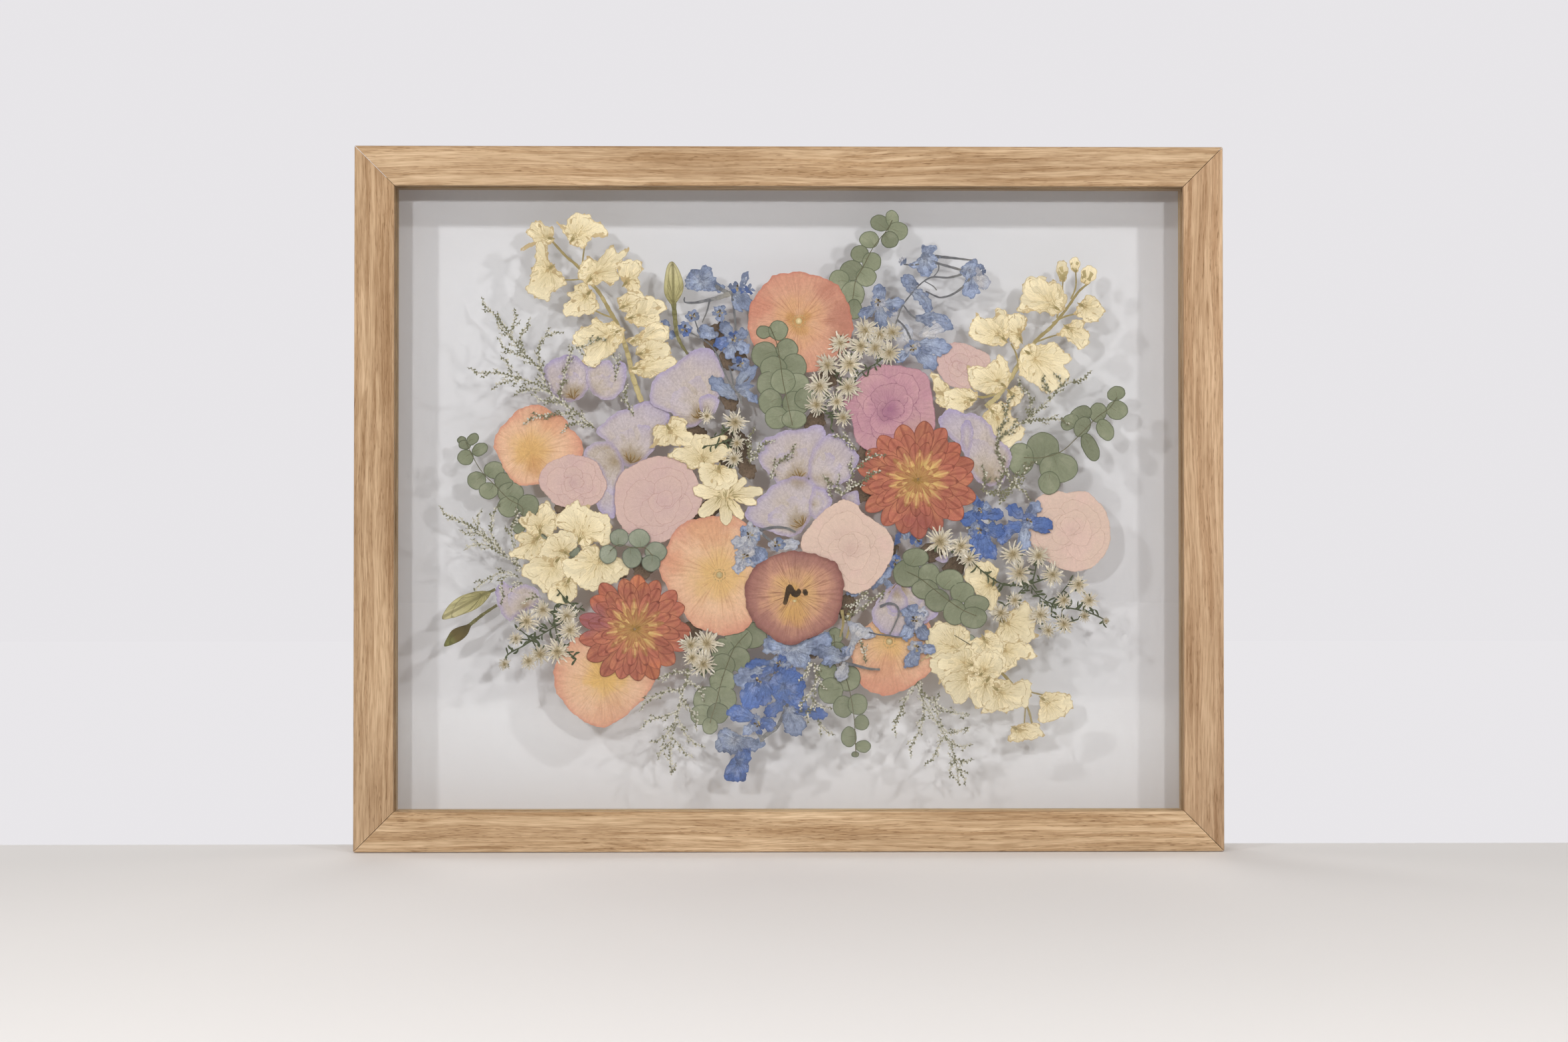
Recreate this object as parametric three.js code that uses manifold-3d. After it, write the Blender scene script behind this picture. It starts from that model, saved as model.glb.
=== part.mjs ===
// Pressed flowers between two panes of glass in a deep, mitred oak frame.
// Millimetres, +Z up, the front faces -Y. The origin is the middle of the underside.
import * as THREE from 'three';
import { mergeVertices } from 'three/addons/utils/BufferGeometryUtils.js';
import Module from 'manifold-3d';

const wasm = await Module();
wasm.setup();

// ---- Driving dimensions ----
const FRAME_WIDTH = 545;
const FRAME_HEIGHT = 442;
const FRAME_DEPTH = 38;
const FACE_WIDTH = 25; // of the oak, seen from the front
const REBATE_WIDTH = 7.5; // how far the lip covers the glass
const LIP_DEPTH = 5; // thickness of the lip in front of the glass
const GAP = 0.3; // between pieces that touch
const PANE_WIDTH = 508; // a nominal 20 in sheet
const PANE_HEIGHT = 405; // a nominal 16 in sheet
const PANE_THICKNESS = 2;
const FILLET_DEPTH = 8; // the bead behind the glass
const LAYER_COUNT = 9; // how many specimens lie over each other at most
const LAYER_PITCH = 0.4;
const SHEET = 0.18; // a pressed petal
const RAISED_SHEET = 0.28; // where a petal lies over its neighbour
const OVAL_SIDES = 7;
const RAY_COUNT = 5; // of a small daisy
const RAY_NOTCH = 0.5; // share of the radius left between its rays
const TWIG_STEP = 7; // spacing of the small flowers along a twig
const EASE = 1.1; // an outline may leave its drawn line by this much
const SLIT = 0.15; // half the width of slits between petals that are closed
const SAME = 0.01; // heights that differ by less are one
const MITRE_LIMIT = 0.5; // keeps sharp corners from growing long points
const SMALL_GAP = 12; // mm2, gaps in a specimen that are closed
const TWIG_CORE = 0.8; // thickness of a twig between its flowers

// ---- Places worked out from them ----
const FRONT = -FRAME_DEPTH / 2;
const FRONT_PANE = FRONT + LIP_DEPTH + GAP;
const FIRST_LAYER = FRONT_PANE + PANE_THICKNESS + GAP + RAISED_SHEET;
const BACK_PANE = FIRST_LAYER + LAYER_COUNT * LAYER_PITCH;
const FILLET = BACK_PANE + PANE_THICKNESS + GAP;
const GLASS_MIDDLE = FRAME_HEIGHT / 2;

const COLOURS = {
  oak: 0xc7a281,
  glass: 0xf2f6f4,
  salmon: 0xd98a70,
  peach: 0xe0a883,
  plum: 0xb87a70,
  coral: 0xb35a48,
  magenta: 0xba7a92,
  pink: 0xd2b0a9,
  lilac: 0xb7a9bd,
  cream: 0xe6d8b0,
  blue: 0x5f7fc0,
  paleBlue: 0x8c9ec0,
  leaf: 0x7c8a70,
  olive: 0x8a8a55,
  white: 0xd4c9b8,
  twig: 0x85836c,
};

const object = new THREE.Group();

function addPiece(name, geometry, colour, roughness = 0.85) {
  const material = new THREE.MeshStandardMaterial({ color: colour, roughness, metalness: 0 });
  const mesh = new THREE.Mesh(geometry, material);
  mesh.name = name;
  object.add(mesh);
}

// ---- From three.js geometry to manifold solids and back ----
function toSolid(geometry) {
  const bare = geometry.index ? geometry.toNonIndexed() : geometry;
  bare.deleteAttribute('normal');
  bare.deleteAttribute('uv');
  const merged = mergeVertices(bare, 1e-4);
  const vertProperties = new Float32Array(merged.attributes.position.array);
  const triVerts = new Uint32Array(merged.index.array);
  return new wasm.Manifold(new wasm.Mesh({ numProp: 3, vertProperties, triVerts }));
}

function toGeometry(solid) {
  const mesh = solid.getMesh();
  const geometry = new THREE.BufferGeometry();
  geometry.setAttribute('position', new THREE.BufferAttribute(new Float32Array(mesh.vertProperties), 3));
  geometry.setIndex(new THREE.BufferAttribute(new Uint32Array(mesh.triVerts), 1));
  const flat = geometry.toNonIndexed();
  flat.computeVertexNormals();
  return flat;
}

function asVectors(ring) {
  return ring.map(([x, z]) => new THREE.Vector2(x, z));
}

// An outline in the plane of the glass, given thickness towards the front.
function slab(ring, backY, thickness, middleZ = GLASS_MIDDLE, gaps = []) {
  const shape = new THREE.Shape(asVectors(ring));
  shape.holes = gaps.map((gap) => new THREE.Path(asVectors(gap)));
  const geometry = new THREE.ExtrudeGeometry(shape, { depth: thickness, bevelEnabled: false });
  geometry.rotateX(Math.PI / 2);
  geometry.translate(0, backY, middleZ);
  return geometry;
}

// ---- Frame: four mitred members with a lip in front and a rebate behind ----
const MITRE_EASE = (GAP / 2) * Math.SQRT2;

// The member lies along the top; turned and mirrored it serves all four sides.
function trapezoid(outerLength, outerEdge, width) {
  const outer = outerLength / 2 - MITRE_EASE;
  const inner = outer - width;
  return [
    [-outer, outerEdge],
    [-inner, outerEdge - width],
    [inner, outerEdge - width],
    [outer, outerEdge],
  ];
}

function addMember(name, outerLength, outerEdge, turns) {
  const lip = slab(trapezoid(outerLength, outerEdge, FACE_WIDTH), FRONT + LIP_DEPTH, LIP_DEPTH, 0);
  const backWidth = FACE_WIDTH - REBATE_WIDTH;
  const backDepth = FRAME_DEPTH - LIP_DEPTH;
  const back = slab(trapezoid(outerLength, outerEdge, backWidth), FRAME_DEPTH / 2, backDepth, 0);
  const geometry = toGeometry(toSolid(lip).add(toSolid(back)));
  geometry.rotateY((turns * Math.PI) / 2);
  geometry.translate(0, 0, GLASS_MIDDLE);
  addPiece(name, geometry, COLOURS.oak, 0.55);
}

addMember('frame_top', FRAME_WIDTH, FRAME_HEIGHT / 2, 0);
addMember('frame_right', FRAME_HEIGHT, FRAME_WIDTH / 2, 1);
addMember('frame_bottom', FRAME_WIDTH, FRAME_HEIGHT / 2, 2);
addMember('frame_left', FRAME_HEIGHT, FRAME_WIDTH / 2, 3);

// ---- Glass: two panes, each standing on the rebate of the lower member ----
const REBATE_FLOOR = FACE_WIDTH - REBATE_WIDTH;

function addPane(name, frontY) {
  const geometry = new THREE.BoxGeometry(PANE_WIDTH, PANE_THICKNESS, PANE_HEIGHT);
  const middleZ = REBATE_FLOOR + GAP + PANE_HEIGHT / 2;
  geometry.translate(0, frontY + PANE_THICKNESS / 2, middleZ);
  addPiece(name, geometry, COLOURS.glass, 0.05);
}

addPane('front_pane', FRONT_PANE);
addPane('back_pane', BACK_PANE);

// ---- Fillet: a glued-up bead round the rebate that holds the glass in ----
function rectangle(width, height) {
  const x = width / 2;
  const z = height / 2;
  return [[-x, -z], [x, -z], [x, z], [-x, z]];
}

function addFillet() {
  const outerWidth = FRAME_WIDTH - 2 * (REBATE_FLOOR + GAP);
  const outerHeight = FRAME_HEIGHT - 2 * (REBATE_FLOOR + GAP);
  const backY = FILLET + FILLET_DEPTH;
  const beadWidth = REBATE_WIDTH - 2 * GAP;
  const outside = toSolid(slab(rectangle(outerWidth, outerHeight), backY, FILLET_DEPTH));
  const opening = rectangle(outerWidth - 2 * beadWidth, outerHeight - 2 * beadWidth);
  const inside = toSolid(slab(opening, backY + 1, FILLET_DEPTH + 2));
  addPiece('retaining_fillet', toGeometry(outside.subtract(inside)), COLOURS.oak, 0.6);
}

addFillet();

// ---- Outlines of plants: every point is [across, up] from the middle of the glass ----

// An outline shrunk towards a point.
function shrunk(points, [x, z], scale) {
  return points.map(([px, pz]) => [x + (px - x) * scale, z + (pz - z) * scale]);
}

// A leaf or bud: an ellipse, leaning by an angle in degrees.
function oval(x, z, halfWidth, halfHeight = halfWidth, lean = 0) {
  const ring = [];
  const tilt = THREE.MathUtils.degToRad(lean);
  for (let i = 0; i < OVAL_SIDES; i += 1) {
    const angle = (i / OVAL_SIDES) * Math.PI * 2;
    const across = Math.cos(angle) * halfWidth;
    const up = Math.sin(angle) * halfHeight;
    const leftright = across * Math.cos(tilt) - up * Math.sin(tilt);
    ring.push([x + leftright, z + across * Math.sin(tilt) + up * Math.cos(tilt)]);
  }
  return ring;
}

// A band of changing width along a line of points: stems, spurs and branches.
function band(points, halfWidths) {
  const left = [];
  const right = [];
  points.forEach(([x, z], i) => {
    const before = points[Math.max(i - 1, 0)];
    const after = points[Math.min(i + 1, points.length - 1)];
    const run = new THREE.Vector2(after[0] - before[0], after[1] - before[1]).normalize();
    left.push([x - run.y * halfWidths[i], z + run.x * halfWidths[i]]);
    right.push([x + run.y * halfWidths[i], z - run.x * halfWidths[i]]);
  });
  return left.concat(right.reverse());
}

function stem(points, startWidth, endWidth) {
  const last = points.length - 1;
  return band(points, points.map((_, i) => (startWidth + (endWidth - startWidth) * (i / last)) / 2));
}

// A petal from its narrow base to its round tip.
const PETAL_PROFILE = [[0, 0.2], [0.6, 1], [0.95, 0.5]];

function petal(baseX, baseZ, tipX, tipZ, width) {
  const points = PETAL_PROFILE.map(([t]) => [baseX + (tipX - baseX) * t, baseZ + (tipZ - baseZ) * t]);
  return band(points, PETAL_PROFILE.map(([, share]) => (share * width) / 2));
}

// A small daisy seen flat: narrow rays round a middle.
function rays(x, z, radius) {
  const ring = [];
  for (let i = 0; i < RAY_COUNT * 2; i += 1) {
    const angle = (i / RAY_COUNT) * Math.PI + x;
    const reach = i % 2 ? radius * RAY_NOTCH : radius;
    ring.push([x + Math.cos(angle) * reach, z + Math.sin(angle) * reach]);
  }
  return ring;
}

const TWIG_SPREAD = 2.6; // across a small flower

// A twig whose edge swells at each small flower.
function twig(points, spread = TWIG_SPREAD) {
  const line = [];
  const widths = [];
  for (let i = 0; i < points.length - 1; i += 1) {
    const [x, z] = points[i];
    const [nextX, nextZ] = points[i + 1];
    const steps = Math.max(1, Math.round(Math.hypot(nextX - x, nextZ - z) / TWIG_STEP));
    for (let k = 0; k < steps; k += 1) {
      line.push([x + ((nextX - x) * k) / steps, z + ((nextZ - z) * k) / steps]);
      widths.push((line.length % 2 ? spread : TWIG_CORE) / 2);
    }
  }
  line.push(points[points.length - 1]);
  widths.push(TWIG_CORE / 2);
  return band(line, widths);
}

// ---- Joining outlines in the plane of the glass ----
function area(ring) {
  return THREE.ShapeUtils.area(asVectors(ring));
}

// An outline moved outwards by a set distance.
function swollen(ring, distance) {
  const side = Math.sign(area(ring));
  return ring.map(([x, z], i) => {
    const [beforeX, beforeZ] = ring[(i + ring.length - 1) % ring.length];
    const [afterX, afterZ] = ring[(i + 1) % ring.length];
    const into = new THREE.Vector2(x - beforeX, z - beforeZ).normalize();
    const away = new THREE.Vector2(afterX - x, afterZ - z).normalize();
    const out = new THREE.Vector2(into.y + away.y, -into.x - away.x).normalize();
    const reach = (side * distance) / Math.max(MITRE_LIMIT, into.y * out.x - into.x * out.y);
    return [x + out.x * reach, z + out.y * reach];
  });
}

// The outlines of a flat solid's front: its edge runs one way round and its gaps the other.
function frontRings(solid, frontY) {
  const { vertProperties, triVerts } = solid.getMesh();
  const sides = new Map();
  for (let i = 0; i < triVerts.length; i += 3) {
    const corners = [triVerts[i], triVerts[i + 1], triVerts[i + 2]];
    const flat = corners.every((corner) => Math.abs(vertProperties[corner * 3 + 1] - frontY) < SAME);
    if (!flat) continue;
    corners.forEach((corner, k) => {
      const next = corners[(k + 1) % 3];
      if (!sides.delete(`${next} ${corner}`)) sides.set(`${corner} ${next}`, [corner, next]);
    });
  }
  const follow = new Map();
  sides.forEach(([corner, next]) => follow.set(corner, (follow.get(corner) ?? []).concat(next)));
  const rings = [];
  while (follow.size > 0) {
    const ring = [];
    let [corner] = follow.keys();
    while (follow.has(corner)) {
      const nexts = follow.get(corner);
      ring.push([vertProperties[corner * 3], vertProperties[corner * 3 + 2]]);
      follow.delete(corner);
      if (nexts.length > 1) follow.set(corner, nexts.slice(1));
      [corner] = nexts;
    }
    rings.push(ring);
  }
  return rings;
}

function turn([ax, az], [bx, bz], [cx, cz]) {
  return (bx - ax) * (cz - az) - (bz - az) * (cx - ax);
}

// Leaves out points within EASE of the line past them, where no other point is in the way.
function eased(ring, others) {
  const points = ring.slice();
  for (;;) {
    let flattest = -1;
    let least = EASE;
    points.forEach((point, i) => {
      const before = points[(i + points.length - 1) % points.length];
      const after = points[(i + 1) % points.length];
      const length = Math.hypot(after[0] - before[0], after[1] - before[1]);
      const height = Math.abs(turn(before, point, after)) / length;
      if (!(height < least)) return;
      const inWay = (other) => {
        if (other === before || other === point || other === after) return false;
        const turns = [turn(before, point, other), turn(point, after, other), turn(after, before, other)];
        return turns.every((value) => value >= 0) || turns.every((value) => value <= 0);
      };
      if (points.some(inWay) || others.some((otherRing) => otherRing.some(inWay))) return;
      flattest = i;
      least = height;
    });
    if (flattest < 0 || points.length <= 4) return points;
    points.splice(flattest, 1);
  }
}

// Outlines joined to one flat sheet, with slits closed and only the points their shape needs.
function sheet(rings, backY, thickness) {
  const solids = rings.map((ring) => toSolid(slab(swollen(ring, SLIT), 0, thickness, 0)));
  const joined = solids.reduce((whole, solid) => whole.add(solid));
  const outlines = frontRings(joined, -thickness);
  const edge = outlines.reduce((widest, ring) => (area(ring) > area(widest) ? ring : widest));
  const gaps = outlines.filter((ring) => area(ring) < -SMALL_GAP);
  const plainEdge = eased(edge, gaps);
  const plainGaps = gaps.map((gap) => eased(gap, [plainEdge, ...gaps.filter((other) => other !== gap)]));
  return toSolid(slab(plainEdge, backY, thickness, GLASS_MIDDLE, plainGaps));
}

// One specimen: its outlines grown together in one layer, with raised ones over them.
function specimen(name, layer, colour, rings, raised = []) {
  const backY = FIRST_LAYER + layer * LAYER_PITCH;
  let solid = sheet(rings, backY, SHEET);
  if (raised.length > 0) solid = solid.add(sheet(raised, backY, RAISED_SHEET));
  addPiece(name, toGeometry(solid), colour);
}

// ---- Iceland poppies: one round, wavy disc with a raised eye ----
function poppy(name, layer, colour, outline, eye, eyeRadius) {
  specimen(name, layer, colour, [outline], [oval(eye[0], eye[1], eyeRadius)]);
}

poppy('poppy_salmon_top', 2, COLOURS.salmon, [
  [-26, 111], [-25, 120], [-22, 127], [-18, 131], [-13, 138], [-9, 141], [-3, 142], [4, 143],
  [12, 142], [20, 140], [27, 137], [33, 131], [37, 123], [39.5, 114], [40, 106], [37, 97],
  [30, 88], [22, 82], [14, 80], [4, 80], [-6, 82], [-15, 88], [-22, 96], [-25, 103],
], [6, 112], 4);

poppy('poppy_peach_left', 6, COLOURS.peach, [
  [-185, 30], [-186, 37], [-183, 43], [-179, 48], [-174, 53], [-169, 57], [-162, 59], [-154, 58],
  [-149, 54], [-143, 52], [-140, 49], [-138.5, 44], [-134, 41], [-131, 36], [-130, 29], [-132, 22],
  [-140, 15], [-150, 10], [-160, 9], [-167, 8], [-174, 11], [-178, 16], [-181.5, 22],
], [-163, 30], 2.5);

poppy('poppy_peach_centre', 2, COLOURS.peach, [
  [-82, -44], [-80, -36], [-77, -30], [-73, -22], [-69, -17], [-63, -14], [-55, -12], [-47, -10.5],
  [-40, -10.5], [-33, -12], [-27, -16], [-22, -26], [-20, -40], [-20, -58], [-22, -72], [-25, -80],
  [-31, -84], [-38, -86], [-45, -85.5], [-53, -83], [-60, -80], [-65, -74], [-70, -65], [-77, -56],
], [-44, -48], 4);

poppy('poppy_plum_centre', 0, COLOURS.plum, [
  [-28, -60], [-27, -52], [-23, -45], [-18, -40], [-12, -37], [-5, -34], [3, -33], [12, -34],
  [20, -36], [27, -39], [32, -45], [34, -52], [34, -59], [33, -66], [31, -74], [27, -80],
  [19, -85], [10, -89], [2, -92], [-5, -91], [-11, -87], [-17, -83], [-22, -78], [-26, -71],
], [3, -60], 5);

poppy('poppy_peach_low_left', 3, COLOURS.peach, [
  [-148, -108], [-145, -100], [-140, -92], [-132, -86], [-122, -83], [-110, -84], [-98, -88],
  [-89, -95], [-84, -105], [-85, -115], [-90, -124], [-97, -131], [-105, -138], [-112, -142],
  [-119, -144], [-127, -141], [-135, -136], [-142, -128], [-147, -120],
], [-117, -114], 3);

poppy('poppy_peach_low_right', 6, COLOURS.salmon, [
  [39, -95], [40, -104], [43, -113], [47, -119], [52, -122], [58, -124], [66, -123], [74, -120],
  [80, -116], [87, -111], [90, -105], [91, -96], [90, -85], [87, -76], [79, -72], [69, -71],
  [58, -74], [50, -79], [43, -86],
], [63, -90], 3);

// ---- Dahlias: two rings of pointed petals, the inner one over the outer ----
const OUTER_PETALS = 16;
const INNER_PETALS = 9;
// shares of the radius
const INNER_RING = 0.55;
const PETAL_DISC = 0.7;
const PETAL_START = 0.45;
const PETAL_WIDTH = 0.36;
const UNEVEN = 0.05; // how much petal lengths differ
const UNEVEN_TURN = 2.4; // spreads the long ones round the ring

function petalRing(x, z, radiusX, radiusZ, count) {
  const petals = [oval(x, z, radiusX * PETAL_DISC, radiusZ * PETAL_DISC)];
  for (let i = 0; i < count; i += 1) {
    const angle = (i / count) * Math.PI * 2;
    const dx = Math.cos(angle) * radiusX;
    const dz = Math.sin(angle) * radiusZ;
    const far = 1 + UNEVEN * Math.sin(i * UNEVEN_TURN);
    const base = [x + dx * PETAL_START, z + dz * PETAL_START];
    petals.push(petal(...base, x + dx * far, z + dz * far, radiusX * PETAL_WIDTH));
  }
  return petals;
}

function dahlia(name, layer, x, z, radiusX, radiusZ) {
  const outer = petalRing(x, z, radiusX, radiusZ, OUTER_PETALS);
  const inner = petalRing(x, z, radiusX * INNER_RING, radiusZ * INNER_RING, INNER_PETALS);
  specimen(name, layer, COLOURS.coral, outer, inner);
}

dahlia('dahlia_right', 1, 81, 12, 38, 37);
dahlia('dahlia_left', 1, -97, -82, 35, 35.5);

// ---- Carnations: a ruffled disc with a smaller ruffle lying on it ----
const RUFFLE_SHARE = 0.6; // the smaller ruffle's size

function carnation(name, layer, colour, outline, heart) {
  const ruffle = shrunk(outline, heart, RUFFLE_SHARE).filter((_, i) => i % 2);
  specimen(name, layer, colour, [outline], [ruffle]);
}

carnation('carnation_magenta', 2, COLOURS.magenta, [
  [34, 62], [38, 68], [43, 75], [50, 81], [57, 84.5], [66, 84.5], [75, 83], [83, 81], [88, 76],
  [89.5, 69], [91, 61], [92, 53], [92, 45], [86, 38], [76, 33], [64, 29], [54, 28], [46, 32],
  [41, 38], [40, 46], [37, 54],
], [62, 56]);

carnation('carnation_pink_top', 5, COLOURS.pink, [
  [92, 84], [91, 90], [96, 95], [101, 98], [107, 99], [114, 97], [120, 94], [126, 91], [127, 85],
  [124, 78], [119, 72], [112, 69], [104, 70], [97, 75],
], [108, 84]);

carnation('carnation_pink_left', 5, COLOURS.pink, [
  [-158, 12], [-156, 18], [-152, 22.5], [-147, 24], [-142, 27], [-136, 28], [-130, 26.5],
  [-124, 25], [-120, 21], [-117, 16], [-115, 10], [-116, 4], [-120, 0], [-123, -4], [-130, -5.5],
  [-138, -6], [-144, -5], [-149, -2.5], [-153, 3], [-157, 7],
], [-136, 10]);

carnation('carnation_pink_mid', 3, COLOURS.pink, [
  [-110, 6], [-108, 13], [-104, 18], [-98, 22], [-91, 25], [-82, 27], [-74, 26], [-66, 22.5],
  [-60, 17], [-57, 10], [-55, 2], [-56, -6], [-60, -12], [-66, -17], [-72, -23], [-79, -27.5],
  [-88, -28], [-97, -25], [-104, -20], [-108.5, -13], [-110, -4],
], [-80, -2]);

carnation('carnation_pale_centre', 2, COLOURS.pink, [
  [7, -30], [8, -24], [12, -18], [17, -12], [21, -8], [26, -4], [32, -1], [38, -1], [43, -4],
  [47, -9], [53, -13], [60, -18], [65, -25], [66, -33], [63, -41], [58, -49], [50, -57],
  [40, -60], [30, -55], [20, -47], [12, -39],
], [38, -32]);

carnation('carnation_pale_right', 6, COLOURS.pink, [
  [156, 0], [163, 4], [170, 5], [176, 4], [183, 5], [189, 4], [195, -1], [199, -6], [202, -14],
  [203, -22], [202, -30], [198, -37], [192, -43], [183, -46], [173, -45], [165, -41], [159, -37],
  [154, -31], [151, -24], [150, -15], [152, -7],
], [178, -20]);

// ---- Sweet peas: broad lilac petals narrowing to a brown claw ----
specimen('sweet_pea_far_left', 8, COLOURS.lilac, [
  [[-155, 80], [-153, 85], [-149, 88], [-143, 90], [-137, 91], [-131, 87], [-127, 83],
    [-126, 76], [-127, 69], [-132, 63], [-140, 61], [-148, 65], [-153, 72]],
  [[-128, 81], [-122, 84], [-118, 87], [-113, 87], [-110, 84], [-106, 87], [-103, 84],
    [-102.5, 79], [-104, 71], [-108, 65], [-114, 62], [-121, 64], [-127, 71]],
]);

specimen('sweet_pea_upper', 4, COLOURS.lilac, [
  [[-88, 62], [-87, 70], [-85, 76], [-79, 80], [-73, 84], [-68, 89], [-62, 93], [-55, 95],
    [-49, 94], [-45, 89], [-42, 83], [-41, 76], [-44, 68], [-46, 60], [-50, 53], [-55, 49],
    [-61, 45], [-68, 48], [-75, 54], [-83, 57]],
  petal(-52, 50, -50, 66, 13),
]);

specimen('sweet_pea_left', 7, COLOURS.lilac, [
  [[-122, 42], [-118, 47], [-110, 54], [-100, 58], [-94, 61], [-87, 62], [-80, 60],
    [-76, 55], [-76, 47], [-81, 39], [-86, 30], [-94, 22], [-102, 20], [-108, 26], [-113, 34]],
  [[-130, 26], [-127, 33], [-120, 36], [-112, 35], [-106, 27], [-104, 18], [-108, 9],
    [-109, -1], [-110, -12], [-117, -10], [-122, -3], [-118, 6], [-118, 14], [-122, 21]],
]);

specimen('sweet_pea_centre', 4, COLOURS.lilac, [
  [[-19, 23], [-19, 29], [-15, 31], [-18, 35], [-14, 39], [-9, 40], [-4, 43], [2, 44],
    [8, 44], [13, 46], [18, 47], [22, 44], [23, 39], [20, 34], [16, 29], [14, 22], [13, 14],
    [5, 9], [-5, 8], [-11, 13], [-15, 18]],
  [[12, 20], [14, 28], [18, 33], [21, 38], [26, 41], [31, 40], [35, 38], [38, 34], [42, 30],
    [44, 25], [42, 20], [40, 15], [36, 11], [30, 8], [24, 5], [18, 6], [13, 11]],
]);

specimen('sweet_pea_lower', 3, COLOURS.lilac, [
  [[-28, -10], [-26, -5], [-22, -2], [-16, 3], [-10, 9], [-4, 12], [2, 14], [8, 14],
    [14, 11], [17, 7], [18, 2], [18, -4], [14, -11], [10, -18], [5, -23], [-2, -24], [-9, -22],
    [-16, -19], [-22, -17], [-26, -14]],
  [[15, 7], [21, 6.5], [25, 3], [27, -3], [22, -8], [16, -13], [12, -6]],
]);

specimen('sweet_pea_right', 2, COLOURS.lilac, [
  [[94, 50], [97, 54], [102, 57], [106, 56], [110, 54], [116, 54], [122, 51], [127, 46],
    [130, 40], [134, 36], [139, 31], [140, 25], [138, 18], [136, 12], [132, 9], [126, 8],
    [120, 10], [115, 15], [112, 24], [108, 32], [102, 38], [96, 43]],
  petal(112, 24, 112, 50, 8),
]);

specimen('sweet_pea_low_left', 6, COLOURS.lilac, [
  [[-185, -60], [-184, -55], [-180, -52], [-175, -55], [-168, -54], [-162, -55], [-158, -58],
    [-157, -64], [-162, -69], [-170, -73], [-176, -77], [-180, -74], [-183, -68]],
]);

specimen('sweet_pea_low_right', 3, COLOURS.lilac, [
  [[53, -78], [52, -71], [56, -63], [60, -58], [66, -54], [73, -53], [80, -57], [88, -62],
    [93, -68], [93, -74], [87, -77], [80, -82], [74, -87], [66, -87], [58, -84]],
  petal(68, -54, 68, -72, 14),
]);

// ---- Lisianthus buds on their stalks ----
specimen('bud_top', 1, COLOURS.olive, [
  [[-74, 149.5], [-70, 145], [-67, 137], [-67, 131], [-70, 125], [-73, 122], [-76, 124],
    [-79, 131], [-79, 138], [-77.5, 145]],
  stem([[-73, 124], [-72, 113], [-71, 104], [-68, 97], [-64, 91]], 3.2, 1.6),
]);

specimen('bud_left_pale', 5, COLOURS.olive, [
  [[-218, -76], [-215, -68], [-208, -62], [-200, -59], [-193, -58], [-188, -59], [-190, -63],
    [-195, -68], [-203, -72], [-212, -75]],
  stem([[-192, -60], [-188, -58.5], [-185, -57]], 2.4, 1.6),
]);

specimen('bud_left_dark', 5, COLOURS.olive, [
  [[-217, -93], [-215, -87], [-211, -82], [-206, -80], [-201, -79], [-201, -82], [-203, -86],
    [-208, -90], [-213, -92]],
  stem([[-203, -81], [-193, -73], [-184, -67]], 2.4, 1.6),
]);

// ---- Stock: cream florets along a stem ----
specimen('stock_top_left', 5, COLOURS.cream, [
  stem([[-151, 164], [-147, 159], [-141, 153], [-134, 147], [-127, 138], [-120, 130], [-113, 118],
    [-108, 109], [-104, 98], [-101, 88], [-99, 78], [-95, 66], [-93, 61]], 2, 5),
  [[-166, 168], [-163, 173], [-158, 176], [-154, 172], [-149, 171], [-149, 162], [-155, 159],
    [-160, 160], [-169, 156], [-168, 159], [-161, 162]],
  [[-129, 158], [-137, 160], [-141, 166], [-147, 174], [-141, 173], [-138, 179], [-128, 180],
    [-122, 175], [-117, 173], [-114, 165], [-121, 167], [-126, 163]],
  stem([[-129, 160], [-130, 153], [-131, 142]], 1.4, 1.4),
  [[-141, 138], [-149, 147], [-153, 152], [-153, 161], [-159, 162], [-160, 150], [-163, 142],
    [-163, 137], [-166, 133], [-163, 129], [-157, 126], [-152, 125], [-150, 130], [-143, 134]],
  stem([[-143, 138], [-136, 138], [-128, 139]], 1.2, 1.4),
  [[-133, 139], [-132, 147], [-127, 153], [-121, 150], [-117, 155], [-112, 160], [-109, 155],
    [-101, 158], [-104, 152], [-108, 146], [-107, 140], [-112, 134], [-117, 137], [-124, 134]],
  [[-109, 148], [-100, 151], [-94, 150], [-92, 145], [-95, 140], [-94, 131], [-93, 127],
    [-100, 129], [-105, 136]],
  [[-143, 120], [-141, 116], [-135, 115], [-128, 117], [-122, 118], [-121, 124], [-124, 128],
    [-126, 133], [-130, 136], [-134, 135], [-136, 131], [-140, 130], [-138, 126]],
  stem([[-123, 119], [-117, 116], [-111, 114]], 1.4, 1.6),
  [[-108, 126], [-100, 131], [-94, 130], [-90, 126], [-95, 121], [-100, 116], [-106, 119]],
  [[-137, 98], [-136, 103], [-132, 108], [-127, 109], [-122, 115], [-118, 111], [-112, 112],
    [-105, 108], [-104, 101], [-108, 96], [-113, 90], [-118, 88], [-122, 83], [-128, 84],
    [-131, 88], [-129, 93], [-134, 96]],
  [[-99, 120], [-95, 124], [-91, 128], [-84, 126], [-79, 124], [-77, 120], [-81, 117],
    [-82, 112], [-86, 108], [-94, 108], [-103, 113], [-102, 117]],
  [[-103, 100], [-95, 104], [-91, 108], [-87, 111], [-80, 111], [-75, 106], [-77, 100],
    [-83, 96], [-90, 97], [-97, 96]],
  [[-97, 94], [-92, 99], [-84, 100], [-77, 98], [-74, 94], [-78, 88], [-86, 86], [-94, 88]],
  [[-101, 81], [-95, 86], [-90, 90], [-84, 88], [-76, 90], [-71, 87], [-75, 82], [-82, 79],
    [-88, 76], [-96, 78]],
]);

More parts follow.
